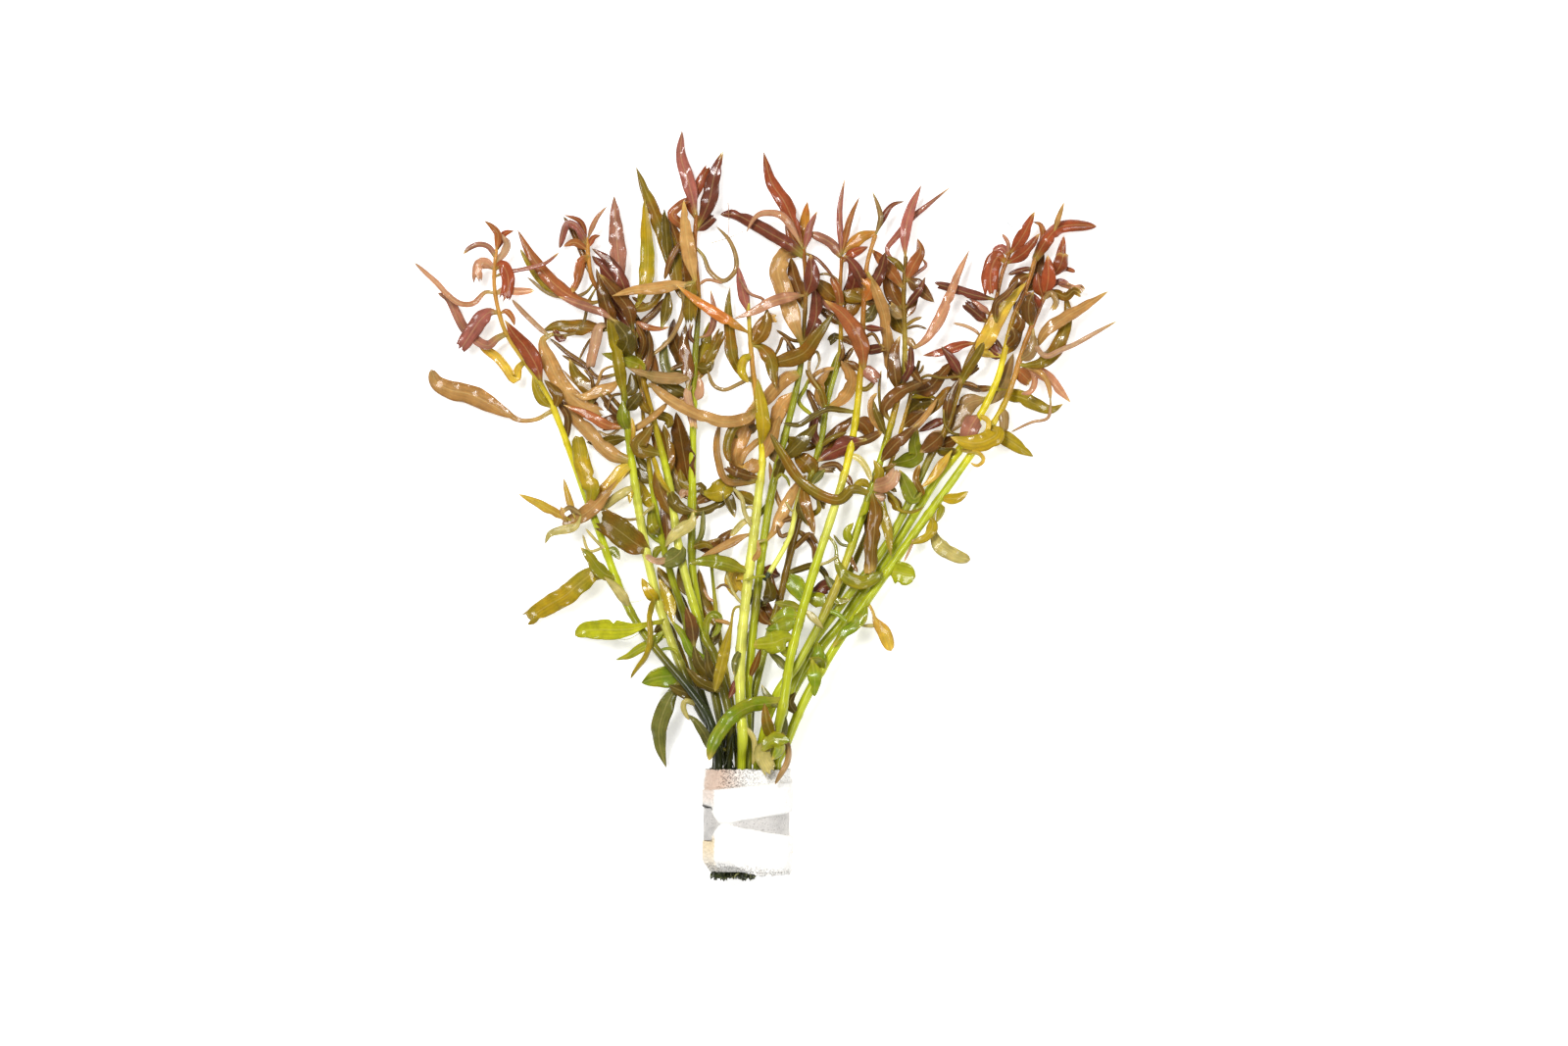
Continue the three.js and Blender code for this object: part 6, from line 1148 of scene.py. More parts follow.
@dataclass(frozen=True)
class PaperFloor:
    """Matt white paper under the bunch, lit a little from below as on a light table."""

    # Paper fibres are far finer and are drawn coarser, so that the floor isn't one flat tone.
    fibre: float = 1.5
    glow: float = 0.45

    def material(self) -> bpy.types.Material:
        """Makes the finish."""
        material, tree, shader = new_material("white_paper")
        place = add_node(tree, "TexCoord", {}).outputs["Object"]
        fibre = add_node(tree, "TexNoise", {"Vector": place, "Scale": 1 / (self.fibre * MM)})
        shade = add_node(tree, "MapRange", {0: fibre, 3: 0.88, 4: 0.92})
        sockets = {
            "Base Color": shade, "Roughness": 0.9, "Emission Color": (1, 1, 1, 1),
            "Emission Strength": self.glow,
        }
        fill_sockets(shader, sockets)
        return material


class NodeProbe:
    """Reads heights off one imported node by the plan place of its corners."""

    def __init__(self, node: str) -> None:
        """Takes the node's corners, in mm."""
        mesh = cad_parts[node].data
        corners = np.empty(len(mesh.vertices) * 3, np.float32)
        mesh.vertices.foreach_get("co", corners)
        self.corners = corners.reshape(-1, 3).astype(float) / MM

    def height(self, place: np.ndarray, about: float, reach: float = 0.02) -> float | None:
        """Finds a corner's height.

        Args:
            place: Where, in plan.
            about: Height it should be near.
            reach: How far off in plan a corner may be.

        Returns:
            The height nearest to the one asked for, or None where there is no corner.
        """
        found = self.corners[np.abs(self.corners[:, :2] - place).max(axis=1) < reach, 2]
        return None if len(found) == 0 else float(found[np.argmin(np.abs(found - about))])


def fill_heights(points: np.ndarray, known: dict[int, float]) -> np.ndarray:
    """Fills in the heights between the known ones, by length.

    Args:
        points: The route in plan.
        known: Height by index.

    Returns:
        A height for every point.
    """
    run = run_lengths(points)
    index = sorted(known)
    return np.interp(run, run[index], [known[i] for i in index])


@dataclass
class Leaf:
    """One leaf: its drawn route and how it is grown, laid and worn, with sizes in mm."""

    tint: str
    outline: Outline
    width: float
    drawn: np.ndarray
    order: int
    shoot: "Shoot"
    number: int = 0
    thickness: float = 0.3
    fullness: float = 1.15
    probe: NodeProbe | None = None
    host: "Leaf | Shoot | None" = None
    root: "Leaf | Shoot | None" = None
    stations: np.ndarray | None = None

    @property
    def length(self) -> float:
        """Length of the drawn route."""
        return float(run_lengths(self.drawn)[-1])

    def kept(self) -> list[int]:
        """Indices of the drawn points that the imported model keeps."""
        most = 2 + sum(self.length >= span for span in LEAF_SPANS)
        return thin_route(self.drawn, most, LEAF_BEND)

    def settle(self) -> None:
        """Finds what the leaf grows from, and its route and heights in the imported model."""
        if self.stations is not None:
            return
        shoot, base = self.shoot, self.drawn[0]
        own = nearest_on(shoot.route, base)[0]
        near = [(own, shoot)]
        for other in shoot.leaves[: self.order]:
            near.append((nearest_on(other.drawn[other.kept()], base)[0], other))
        least = min(near, key=lambda pair: pair[0])
        self.host = least[1] if least[0] + HOST_LEAD < own else shoot
        if self.host is not shoot:
            self.host.settle()
        laid = self.host.route if self.host is shoot else self.host.stations[:, :2]
        away, place, index = nearest_on(laid, base)
        heights = self.host.heights if self.host is shoot else self.host.stations[:, 2]
        start = float(np.interp(index, range(len(heights)), heights))
        self.root = self if self.number else (shoot if self.host is shoot else self.host.root)
        kept = self.kept()
        ahead = self.drawn[kept[1]] - base
        turns_on = (base - place) @ ahead > 0.3 * away * np.linalg.norm(ahead)
        first = 0 if (self.number or (away > STALK_GAP and turns_on)) else 1
        path = np.vstack([place, self.drawn[first:]])
        known = {0: start}
        about = start
        for i in kept[1:]:
            last = i == kept[-1] and self.outline is not Outline.TORN
            found = self.root.probe.height(self.drawn[i], about + (0 if last else LEAF_RIDGE))
            if found is not None:
                about = found - (0 if last else LEAF_RIDGE)
                known[i + 1 - first] = about
        if len(known) == 1:
            known[len(path) - 1] = start
        self.stations = np.column_stack([path, fill_heights(path, known)])

    def half_width(self, share: np.ndarray) -> np.ndarray:
        """Gives the half width in mm at shares of the length."""
        half = self.width * self.fullness / 2
        if self.outline is Outline.RIBBON:
            return half * np.minimum(1, 0.5 + 2.4 * share) * (1 - share**8) ** 0.7
        if self.outline is Outline.TORN:
            return half * (0.24 + 0.8 * smoothstep(0, 0.36, share)) * (1 - 0.25 * share**6)
        if self.outline is Outline.CLUB:
            return half * (0.24 + 0.8 * smoothstep(0.22, 0.62, share)) * (1 - share**9) ** 0.6
        if self.outline is Outline.ROUND:
            return half * (0.14 + 0.9 * smoothstep(0.02, 0.34, share)) * (1 - share**4.5) ** 0.6
        return half * (0.2 + 0.84 * smoothstep(0, 0.4, share)) * (1 - share**3.6) ** 0.95

    def grow(self, skin: Skin) -> None:
        """Adds the leaf's blade to a piece.

        Args:
            skin: The piece it becomes part of.
        """
        rng = np.random.default_rng([SEED, self.shoot.number, self.order])
        dense = smooth_curve(self.stations, LEAF_POINTS)
        length = float(run_lengths(dense)[-1])
        rows = int(np.clip(length / LEAF_STEP, 9, 72))
        columns = 9 if self.width > 3 else 7
        share = np.linspace(0, 1, rows)
        run = share * length
        slim = self.outline is Outline.RIBBON
        u = np.linspace(1, -1, columns)
        along = np.repeat(share[:, None], columns, 1)
        if self.outline is Outline.TORN:
            jag = 1 - rng.uniform(0, min(0.16, 2.2 / length), columns)
            along = along * jag
        marks = np.linspace(0, 1, LEAF_POINTS)
        centre, left, up = (
            np.stack([np.interp(along, marks, line[:, k]) for k in range(3)], -1)
            for line in (dense, *side_frames(dense))
        )
        half = self.half_width(share)
        bite = np.ones((rows, 2))
        for side in range(2):
            bite[:, side] += 0.05 * waver(rng, run, 4) + 0.015 * waver(rng, run, 1.2)
            for _ in range(rng.poisson(0.012 * length if self.width > 2 else 0)):
                at, wide = rng.uniform(0.3, 0.95) * length, rng.uniform(0.6, 1.8)
                deep = rng.uniform(0.15, 0.45)
                bite[:, side] -= deep * np.exp(-(((run - at) / wide) ** 2))
        reach = np.where(u[None, :] > 0, bite[:, :1], bite[:, 1:]) * half[:, None]
        tilt = rng.normal(0, 0.35 if slim else 0.22)
        roll = np.clip(tilt + rng.normal(0, 0.35) * (share - 0.4) + 0.12 * waver(rng, run, 9), -0.9, 0.9)
        reach = reach / np.maximum(0.6, np.cos(roll))[:, None]
        curl = (0.85 if slim else 0.34) + rng.normal(0, 0.12)
        arch = np.clip(curl * (0.5 + 0.6 * share), 0.1, 1.4)[:, None]
        side = rng.choice([-1, -1, 1])
        across = reach * np.sin(u * arch) / np.sin(arch)
        lift = side * reach * (1 - np.cos(u * arch)) / np.sin(arch)
        lift = lift - lift.mean(axis=1, keepdims=True)
        pitch = rng.uniform(5, 9)
        for sign in (1, -1):
            beat = np.sin(2 * math.pi * run / pitch + rng.uniform(0, 6)) * (0.08 if slim else 0.26)
            beat = beat * (0.5 + 0.5 * waver(rng, run, 7))
            lift = lift + np.where(sign * u > 0, np.abs(u) ** 1.6, 0)[None, :] * (beat * half)[:, None]
        groove = np.exp(-((across / 0.32) ** 2))
        thick = self.thickness * (1 - 0.5 * u**2)[None, :] * np.minimum(1, 0.35 + half / 0.6)[:, None]
        c, s = np.cos(roll)[:, None, None], np.sin(roll)[:, None, None]
        left, up = left * c + up * s, up * c - left * s
        face = centre + left * across[..., None]
        top = face + up * (lift + thick / 2 - 0.06 * groove)[..., None]
        back = face + up * (lift - thick / 2 - 0.16 * groove * thick / self.thickness)[..., None]
        rings = np.concatenate([top, back[:, ::-1]], axis=1)
        rings[..., 2] += np.maximum(0, 0.12 - rings[..., 2].min(axis=1))[:, None]
        skin.add_rings(rings, self.colours(rng, share, u, run), self.flats(rng, across, run))

    def flats(self, rng: np.random.Generator, across: np.ndarray, run: np.ndarray) -> np.ndarray:
        """Gives across and along in mm for both faces."""
        start = rng.uniform(0, 40)
        one = np.stack([across, np.repeat(run[:, None] + start, across.shape[1], 1)], -1)
        return np.concatenate([one, one[:, ::-1]], axis=1)

    def colours(
        self, rng: np.random.Generator, share: np.ndarray, u: np.ndarray, run: np.ndarray
    ) -> np.ndarray:
        """Gives the colour of each point.

        Args:
            rng: Source of chance.
            share: Share of the length of each row.
            u: Place across of each column.
            run: Length at each row in mm.

        Returns:
            Linear colours for the upper and the lower face, which is paler.
        """
        face, blotch = (linear(code) for code in TINTS[self.tint])
        patch = 0.5 + 0.5 * waver(rng, run, 6)[:, None] + 0.25 * waver(rng, run, 1.5)[:, None]
        patch = np.clip(patch - 0.35 * (1 - u**2)[None, :], 0, 1)[..., None]
        colour = face * (1 - patch) + blotch * patch
        stalk = (1 - smoothstep(0.02, 0.2, share))[:, None, None]
        colour = colour * (1 - 0.55 * stalk) + linear("#a59a3c") * 0.55 * stalk
        tip = smoothstep(0.86, 1.0, share)[:, None, None]
        end = linear("#d9b45a") if rng.random() < 0.35 else face * 0.55
        colour = colour * (1 - 0.6 * tip) + end * 0.6 * tip
        edge = (np.abs(u) ** 4)[None, :, None] * (0.5 + 0.5 * waver(rng, run, 3))[:, None, None]
        colour = colour * (1 - 0.16 * edge)
        colour = colour * rng.uniform(0.86, 1.16)
        under = colour[:, ::-1] * 0.75 + 0.25 * linear("#b8a878")
        return np.concatenate([colour, under], axis=1)


@dataclass
class Shoot:
    """One stem with its leaves."""

    name: str
    base: float
    tip: float
    slot: np.ndarray | None
    slot_height: float
    drawn: np.ndarray
    number: int
    leaves: list[Leaf] = field(default_factory=list)
    probe: NodeProbe | None = None
    route: np.ndarray | None = None
    heights: np.ndarray | None = None
    halves: np.ndarray | None = None

    def settle(self) -> None:
        """Finds the stem's route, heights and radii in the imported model."""
        self.probe = NodeProbe(self.name)
        route = self.drawn[thin_route(self.drawn, len(self.drawn), STEM_BEND)]
        start = 0.0
        if self.slot is not None:
            mouth = [self.slot[0], (GRID_ROW - MOUTH_ROW + STEM_SLOT_ROWS) * GRID_STEP]
            route = np.vstack([self.slot, mouth, route])
            start = float(run_lengths(route)[1])
        run = run_lengths(route)
        narrow = np.where(run <= start, min(self.base, STEM_SLOT_RADIUS), self.base)
        halves = narrow + (self.tip - narrow) * (run / run[-1]) ** STEM_TAPER
        known: dict[int, float] = {}
        about = self.slot_height or 5.0
        for i, place in enumerate(route):
            chord = route[min(i + 1, len(route) - 1)] - route[max(0, i - 1)]
            across = np.array([-chord[1], chord[0]]) / np.linalg.norm(chord)
            found = []
            for k in range(STEM_SIDES):
                angle = (k + 0.5) / STEM_SIDES * 2 * math.pi
                side = halves[i] * math.sin(angle)
                corner = self.probe.height(place + across * math.cos(angle) * halves[i], about + side)
                if corner is not None:
                    found.append(corner - side)
            if found:
                about = float(np.median(found))
                known[i] = about
        self.route, self.halves, self.heights = route, halves, fill_heights(route, known)

    def grow(self, skin: Skin) -> None:
        """Adds the stem and its cut end to a piece.

        Args:
            skin: The piece it becomes part of.
        """
        rng = np.random.default_rng([SEED, self.number, STEM_CHANCE])
        stations = np.column_stack([self.route, self.heights])
        length = float(run_lengths(stations)[-1])
        rows = int(length / STEM_STEP)
        curve = smooth_curve(stations, rows)
        share = np.linspace(0, 1, rows)
        run = share * length
        radius = np.interp(share, run_lengths(self.route) / run_lengths(self.route)[-1], self.halves)
        joints = np.unique(np.round([self.joint_run(leaf, length) for leaf in self.leaves], 0))
        swell = np.zeros(rows)
        for at in joints:
            swell = np.maximum(swell, np.exp(-(((run - at) / 0.9) ** 2)))
        radius = radius * (1 + 0.13 * swell + 0.05 * waver(rng, run, 5))
        radius = radius * (1 - 0.4 * smoothstep(0.55, 1, share))
        angle = np.arange(STEM_RING) / STEM_RING * 2 * math.pi
        left, up = side_frames(curve)
        ridge = 1 + 0.05 * np.cos(angle * 4 + 0.4)
        rings = (
            curve[:, None]
            + left[:, None] * (np.cos(angle) * ridge)[None, :, None] * radius[:, None, None]
            + up[:, None] * (np.sin(angle) * ridge)[None, :, None] * radius[:, None, None]
        )
        words = STEM_TINTS[self.name].split()
        stops = [0, 0.08, *(float(word) / 100 for word in words[::2])]
        tints = np.array([linear(SKIN_TINTS[word]) for word in ("dark", "dark", *words[1::2])])
        shifted = share + 0.02 * waver(rng, run, 11)
        colour = np.column_stack([np.interp(shifted, stops, tints[:, k]) for k in range(3)])
        colour = colour * (1 - 0.35 * swell[:, None] * linear("#9fb4c9"))
        colour = colour * (1 + 0.12 * waver(rng, run, 7)[:, None])
        colour = np.repeat(colour[:, None], STEM_RING, axis=1)
        flats = np.stack(np.broadcast_arrays((angle * 1.3)[None, :], run[:, None]), -1)
        skin.add_rings(rings, colour, flats)
        if self.slot is not None and self.slot[0] < 2.5:
            self.grow_roots(rng, skin, curve)
        hang_threads(skin, self.name)

    def joint_run(self, leaf: Leaf, length: float) -> float:
        """Gives where along the stem a leaf's joint is."""
        index = nearest_on(self.route, leaf.drawn[0])[2]
        run = run_lengths(self.route)
        return float(np.interp(index, range(len(run)), run)) / run[-1] * length

    def grow_roots(self, rng: np.random.Generator, skin: Skin, curve: np.ndarray) -> None:
        """Adds the tangle of short dark roots at the cut end and along the lowest leaf joints.

        Args:
            rng: Source of chance.
            skin: The piece they become part of.
            curve: Middle line of the stem from its cut end.
        """
        for _ in range(16):
            spread = rng.uniform(-1, 1, 2)
            near = curve[0] + np.array([spread[0] * 1.2, rng.uniform(0.6, 3.0), spread[1] * 1.2])
            far = curve[0] + np.array([spread[0] * 2.8, rng.uniform(-1.0, 0.8), spread[1] * 2.2])
            bend = (near + far) / 2 + rng.uniform(-0.7, 0.7, 3)
            tint = linear("#8f8f66" if rng.random() < 0.2 else "#343a1f") * rng.uniform(0.5, 1.5)
            grow_thread(skin, np.vstack([near, bend, far]), 0.42, 0.16, tint)
        if self.slot[0] > -2:
            return
        for _ in range(12):
            first = int(len(curve) * rng.uniform(0.2, 0.27))
            rows = first + (np.arange(4) * len(curve) * rng.uniform(-0.02, -0.012)).astype(int)
            aside = rng.uniform(-0.9, 0.9, 3) + np.arange(4)[:, None] * rng.uniform(-0.9, 0.9, 3)
            thread = np.maximum(curve[rows] + aside, [-99, 6.4, 0.6])
            grow_thread(skin, thread, 0.5, 0.16, linear("#33371f") * rng.uniform(0.5, 1.5))


def grow_thread(skin: Skin, stations: np.ndarray, thick: float, thin: float, colour: np.ndarray) -> None:
    """Adds a thin round thread, such as a root.

    Args:
        skin: The piece it becomes part of.
        stations: Points it passes through, in mm.
        thick: Radius at its start.
        thin: Radius at its end.
        colour: Linear colour.
    """
    rows = max(6, int(run_lengths(stations)[-1] / THREAD_STEP))
    curve = smooth_curve(stations, rows)
    left, up = side_frames(curve)
    angle = np.arange(THREAD_RING) / THREAD_RING * 2 * math.pi
    radius = np.linspace(thick, thin, rows)[:, None, None]
    out = left[:, None] * np.cos(angle)[None, :, None] + up[:, None] * np.sin(angle)[None, :, None]
    rings = curve[:, None] + out * radius
    rings[..., 2] += np.maximum(0, 0.05 - rings[..., 2].min(axis=1))[:, None]
    run = np.linspace(0, rows * THREAD_STEP, rows)
    flats = np.stack(np.broadcast_arrays(angle[None, :], run[:, None]), -1)
    skin.add_rings(rings, np.broadcast_to(colour, rings.shape), flats)


def hang_threads(skin: Skin, stem: str) -> None:
    """Adds the fine threads of a stem, which lie across its leaves, to a piece."""
    for line in THREADS.strip().splitlines():
        facts, route = line.split(": ")
        name, radius, colour, first, last = facts.split()
        if name != stem:
            continue
        plan = to_points(route)
        heights = np.interp(run_lengths(plan), [0, run_lengths(plan)[-1]], [float(first), float(last)])
        stations, thick = np.column_stack([plan, heights]), float(radius)
        grow_thread(skin, stations, thick, thick * 0.7, linear(colour))


def read_shoots() -> list[Shoot]:
    """Makes the shoots from their rows, and numbers the leaves that are pieces of their own.

    Returns:
        The shoots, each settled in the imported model.
    """
    shoots: list[Shoot] = []
    for line in SHOOTS.strip().replace("\n  ", " ").splitlines():
        facts, route = line.split(": ")
        words = facts.split()
        if words[0].startswith("stem"):
            slot = to_points(words[4])[0] if words[4:] else None
            base, tip, height = (float(word) for word in words[1:4])
            shoots.append(Shoot(words[0], base, tip, slot, height, to_points(route), len(shoots)))
        else:
            one = shoots[-1]
            leaf = Leaf(words[0], Outline(words[1]), float(words[2]), to_points(route), len(one.leaves), one)
            one.leaves.append(leaf)
    leaves = [leaf for shoot in shoots for leaf in shoot.leaves]
    largest = {id(leaf) for leaf in sorted(leaves, key=lambda one: -one.length * one.width)[:LEAF_PIECES]}
    for number, leaf in enumerate([one for one in leaves if id(one) in largest], 1):
        leaf.number = number
        leaf.probe = NodeProbe(f"leaf_{number:02d}")
    for shoot in shoots:
        shoot.settle()
        for leaf in shoot.leaves:
            leaf.settle()
    return shoots


@dataclass
class FoamSleeve:
    """Rolled foam sleeve, squeezed to an oblong, with its waist drawn in under the metal strip.

    Sizes are in mm. The strip's middle, half width and gap are here because the waist follows them.
    """

    axis_x: float = -0.4
    axis_z: float = 12.3
    half_width: float = 15.1
    half_height: float = 12.7
    power: float = 2.5
    mouth: float = 6.1
    back: float = -27.0
    hole_half_width: float = 11.9
    hole_half_height: float = 5.5
    hole_power: float = 5.0
    turn: float = 1.5
    step_angle: float = math.radians(135)
    waist: float = 0.87
    strip_middle: float = -11.5
    strip_half: float = 5.2
    strip_gap: float = 0.35
    clean: str = "#f6f4ef"
    stained: str = "#dbc2b0"
    sandy: str = "#e6d3b0"
    # Points round, and rings along the outside, the cut end, the channel and the mouth.
    around: int = 320
    along: int = 190
    end_rings: int = 8
    channel_rings: int = 60
    mouth_rings: int = 10

    def section(
        self, angle: np.ndarray, wide: np.ndarray, high: np.ndarray, power: float
    ) -> tuple[np.ndarray, np.ndarray]:
        """Gives points of a rounded oblong.

        Args:
            angle: Angles round the axis.
            wide: Half width.
            high: Half height.
            power: How square the corners are.

        Returns:
            X and Z in mm.
        """
        c, s = np.cos(angle), np.sin(angle)
        x = self.axis_x + wide * np.sign(c) * np.abs(c) ** (2 / power)
        return x, self.axis_z + high * np.sign(s) * np.abs(s) ** (2 / power)

    def strip_reach(self, angle: np.ndarray) -> np.ndarray:
        """Gives half the width of the metal strip at angles round the foam."""
        degrees = np.degrees(angle) % 360
        shares = [0.75, 0.75, 0.48, 0.24, 0, 0, 1, 1, 0.75]
        return self.strip_half * np.interp(degrees, [0, 20, 69, 94, 107, 121, 141, 180, 360], shares)

    def outside(self, angle: np.ndarray) -> np.ndarray:
        """Shapes the outer wall: the step of the outer turn, the cut band, the waist and the cut end.

        Args:
            angle: Angles of its points.

        Returns:
            Points in mm by ring and angle, from the mouth to the cut end.
        """
        y = np.linspace(self.mouth, self.back, self.along)
        grid_angle, grid_y = np.meshgrid(angle, y)
        over = (grid_angle - self.step_angle) / (math.pi * 0.55)
        lower = np.where(grid_angle >= self.step_angle, self.turn * np.clip(1 - over, 0, 1), 0)
        lower = lower * smoothstep(self.step_angle - 0.012, self.step_angle + 0.012, grid_angle)
        upper = np.clip(np.sin(grid_angle), 0, 1) * (1 - 0.65 * smoothstep(0.2, 0.5, np.cos(grid_angle)))
        brim = self.band_edge(grid_angle)
        scale = np.interp(grid_y, [self.back, self.back + 1.2, self.back + 3], [0.93, 0.975, 1.0])
        scale = scale - smoothstep(brim - 0.25, brim + 0.35, grid_y) * (0.035 + 0.075 * upper)
        scale = scale - smoothstep(brim, self.mouth, grid_y) * (0.02 + 0.13 * upper)
        reach = self.strip_reach(grid_angle)
        off = np.abs(grid_y - self.strip_middle)
        pinch = 1 - smoothstep(reach - 0.9, reach + 0.6, off)
        pinch = np.where(reach > 0.4, pinch, 0.55 * np.exp(-((off / 0.7) ** 2)))
        scale = scale * (1 - (1 - self.waist) * pinch)
        wide, high = self.half_width * scale - lower, self.half_height * scale - lower
        x, z = self.section(grid_angle, wide, high, self.power)
        cut = 2.0 - 2.9 * smoothstep(-5.5, 3.5, x)
        return np.stack([x, grid_y + cut * smoothstep(self.strip_middle - 8, self.back, grid_y), z], -1)

    def wall(self, angle: np.ndarray) -> np.ndarray:
        """Closes the outer wall with the cut end, the channel and the mouth.

        Args:
            angle: Angles of its points.

        Returns:
            Points in mm by ring and angle, where the last ring joins the first.
        """
        outer = self.outside(angle)
        hx, hz = self.section(angle, self.hole_half_width, self.hole_half_height, self.hole_power)
        rings = [outer]

        def hole(y: float) -> np.ndarray:
            """Gives the channel's ring at a place along the sleeve."""
            return np.column_stack([hx, np.full(self.around, y), hz])

        for share in np.linspace(0, 1, self.end_rings + 2)[1:-1]:
            rings.append((outer[-1] * (1 - share) + hole(self.back) * share)[None])
        for y in np.linspace(self.back, self.mouth, self.channel_rings):
            rings.append(hole(y)[None])
        for share in np.linspace(1, 0, self.mouth_rings + 2)[1:-1]:
            rings.append((outer[0] * (1 - share) + hole(self.mouth) * share)[None])
        return np.concatenate(rings)

    def roughen(self, points: np.ndarray, grit: np.ndarray) -> np.ndarray:
        """Gives the surface its soft unevenness, and its crumbly grain where pores are open.

        Args:
            points: The sleeve's points by ring and angle.
            grit: Share of open pores at each.

        Returns:
            The moved points in one list, none of them under the floor.
        """
        rows, count = points.shape[:2]
        flat = points.reshape(-1, 3)
        rough = np.array([noise.noise(Vector(p * 1.1)) for p in flat]) * (0.12 + 0.5 * grit.ravel())
        soft = np.array([noise.noise(Vector(p * 0.16 + 7)) for p in flat]) * 0.35
        out = flat - np.array([self.axis_x, 0, self.axis_z])
        out[:, 1] = 0
        out /= np.linalg.norm(out, axis=1, keepdims=True)
        first = self.along + self.end_rings
        inner = np.zeros(rows)
        inner[first : first + self.channel_rings] = 1
        flat = flat + out * ((rough + soft) * np.repeat(1 - inner, count))[:, None]
        cut = np.isin(np.arange(rows), np.r_[0, self.along - 1 : first, rows - self.mouth_rings : rows])
        flat[:, 1] += np.where(np.repeat(cut, count), rough * 1.2, 0)
        flat[:, 2] = np.maximum(flat[:, 2], 0.02)
        return flat

    def build(self) -> bpy.types.Object:
        """Makes the sleeve and its finish.

        Returns:
            The foam's object.
        """
        count = self.around
        points = self.wall(np.arange(count) / count * 2 * math.pi)
        rows = len(points)
        stain_and_shade, grit = self.wear_and_shade(points)
        skin = Skin()
        i, j = np.arange(rows)[:, None], np.arange(count)[None, :]
        a, b = i * count + j, i * count + (j + 1) % count
        c, d = ((i + 1) % rows) * count + (j + 1) % count, ((i + 1) % rows) * count + j
        skin.points, skin.faces = [self.roughen(points, grit)], [np.stack([a, d, c, b], -1).reshape(-1, 4)]
        # The colours hold the stain together with the painted shade of the cut faces and the crease.
        skin.colours = [stain_and_shade.reshape(-1, 3)]
        skin.flats = [np.column_stack([grit.ravel(), np.zeros(rows * count)])]
        piece = skin.to_object("foam_roll", OpenCellFoam().material())
        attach(piece, "root")
        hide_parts("foam_sleeve")
        return piece

    def band_edge(self, angle: np.ndarray) -> np.ndarray:
        """Gives where along the sleeve the outer turn begins, below the cut band."""
        x = np.cos(angle) * self.half_width
        return np.where(np.sin(angle) > -0.2, np.minimum(1.0 + 0.1 * x, 2.0), 3.0)

    def wear_and_shade(self, points: np.ndarray) -> tuple[np.ndarray, np.ndarray]:
        """Works out stain, painted shade and grit.

        Args:
            points: The sleeve's points by ring and angle.

        Returns:
            Linear colour and share of open pores at each point.
        """
        x, y, z = points[..., 0], points[..., 1], points[..., 2]
        angle = np.arctan2(z - self.axis_z, x - self.axis_x)
        round_angle = np.where(angle < 0, angle + 2 * math.pi, angle)
        top = smoothstep(-2, 3, z - self.axis_z)
        band = smoothstep(-0.5, 0.3, y - self.band_edge(angle)) * top
        under = smoothstep(self.step_angle - 0.02, self.step_angle + 0.02, round_angle)
        rim = smoothstep(self.back + 3.2, self.back + 0.4, y + 0.1 * x) * top
        ends = np.zeros(points.shape[:2])
        ends[self.along :] = 1
        torn = np.exp(-(((x + 5) / 5) ** 2))
        grit = 0.06 + band * (0.35 + 0.75 * torn) * (1 - under) + 0.85 * rim + 0.5 * ends + 0.12 * under
        pink = band * smoothstep(1, -9, x) * (1 - 0.4 * smoothstep(-10.5, -13, x)) * (1 - 0.4 * under)
        pink = np.clip(pink + 0.6 * under * smoothstep(-7, -2, y) * top, 0, 1)
        sand = np.clip(under * smoothstep(-14, -17, y), 0, 1) * smoothstep(-30, -17, y)
        # Painted shade: the cut band and the rim are greyed a little, and the cut end, the mouth and the
        # channel more.
        painted_grey_shade = np.clip(0.15 * band + 0.05 * rim + 0.4 * ends, 0, 0.6)
        # Painted shade: a near-black line in the fold just above the left end of the strip, on the upper
        # half of the sleeve.
        crease_shade = np.exp(-(((y + 5.3 + 0.28 * (x + 15.3)) / 0.6) ** 2)) * (1 - smoothstep(-11.6, -10.9, x))
        colour = np.broadcast_to(linear(self.clean), points.shape)
        for code, share in ((self.stained, pink), (self.sandy, sand)):
            colour = colour * (1 - share[..., None]) + linear(code) * share[..., None]
        colour = colour * (1 - painted_grey_shade[..., None] * 0.35) * (1 - 0.93 * (crease_shade * top)[..., None])
        return colour, np.clip(grit, 0, 1)


@dataclass
class MetalStrip:
    """Strip of soft metal sheet bent once round the waist of the foam, its two ends pointed."""

    start: float = math.radians(121.5)
    end: float = math.radians(466.5)
    thick: float = 0.4
    around: int = 230
    across: int = 22

    def build(self, sleeve: FoamSleeve) -> bpy.types.Object:
        """Makes the strip and its finish.

        Args:
            sleeve: The foam it holds.

        Returns:
            The strip's object.
        """
        angle = np.linspace(self.start, self.end, self.around)
        half = np.maximum(0.2, sleeve.strip_reach(angle))
        u = np.linspace(1, -1, self.across)
        grid_angle = np.repeat(angle[:, None], self.across, 1)
        y = sleeve.strip_middle + half[:, None] * u[None, :]
        wide = sleeve.half_width * sleeve.waist + sleeve.strip_gap
        high = sleeve.half_height * sleeve.waist + sleeve.strip_gap
        cos, sin = np.cos(angle) * 2.2, np.sin(angle) * 2.2
        dents = np.array(
            [[noise.noise(Vector((c, v * 0.25, s))) for v in row] for c, s, row in zip(cos, sin, y)]
        )
        lift = 0.18 + 0.22 * dents
        faces = []
        for depth in (0.0, self.thick * 0.75):
            x, z = sleeve.section(grid_angle, wide + depth + lift, high + depth + lift, sleeve.power)
            faces.append(np.stack([x, y + 0.12 * dents, z], -1))
        rings = np.concatenate([faces[1], faces[0][:, ::-1]], axis=1)
        flats = np.stack([rings[..., 1], np.repeat(angle[:, None] * wide, self.across * 2, 1)], -1)
        skin = Skin()
        skin.add_rings(rings, np.ones(rings.shape), flats)
        piece = skin.to_object("metal_band", SoftLeadSheet().material())
        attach(piece, "root")
        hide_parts("metal_strip")
        return piece


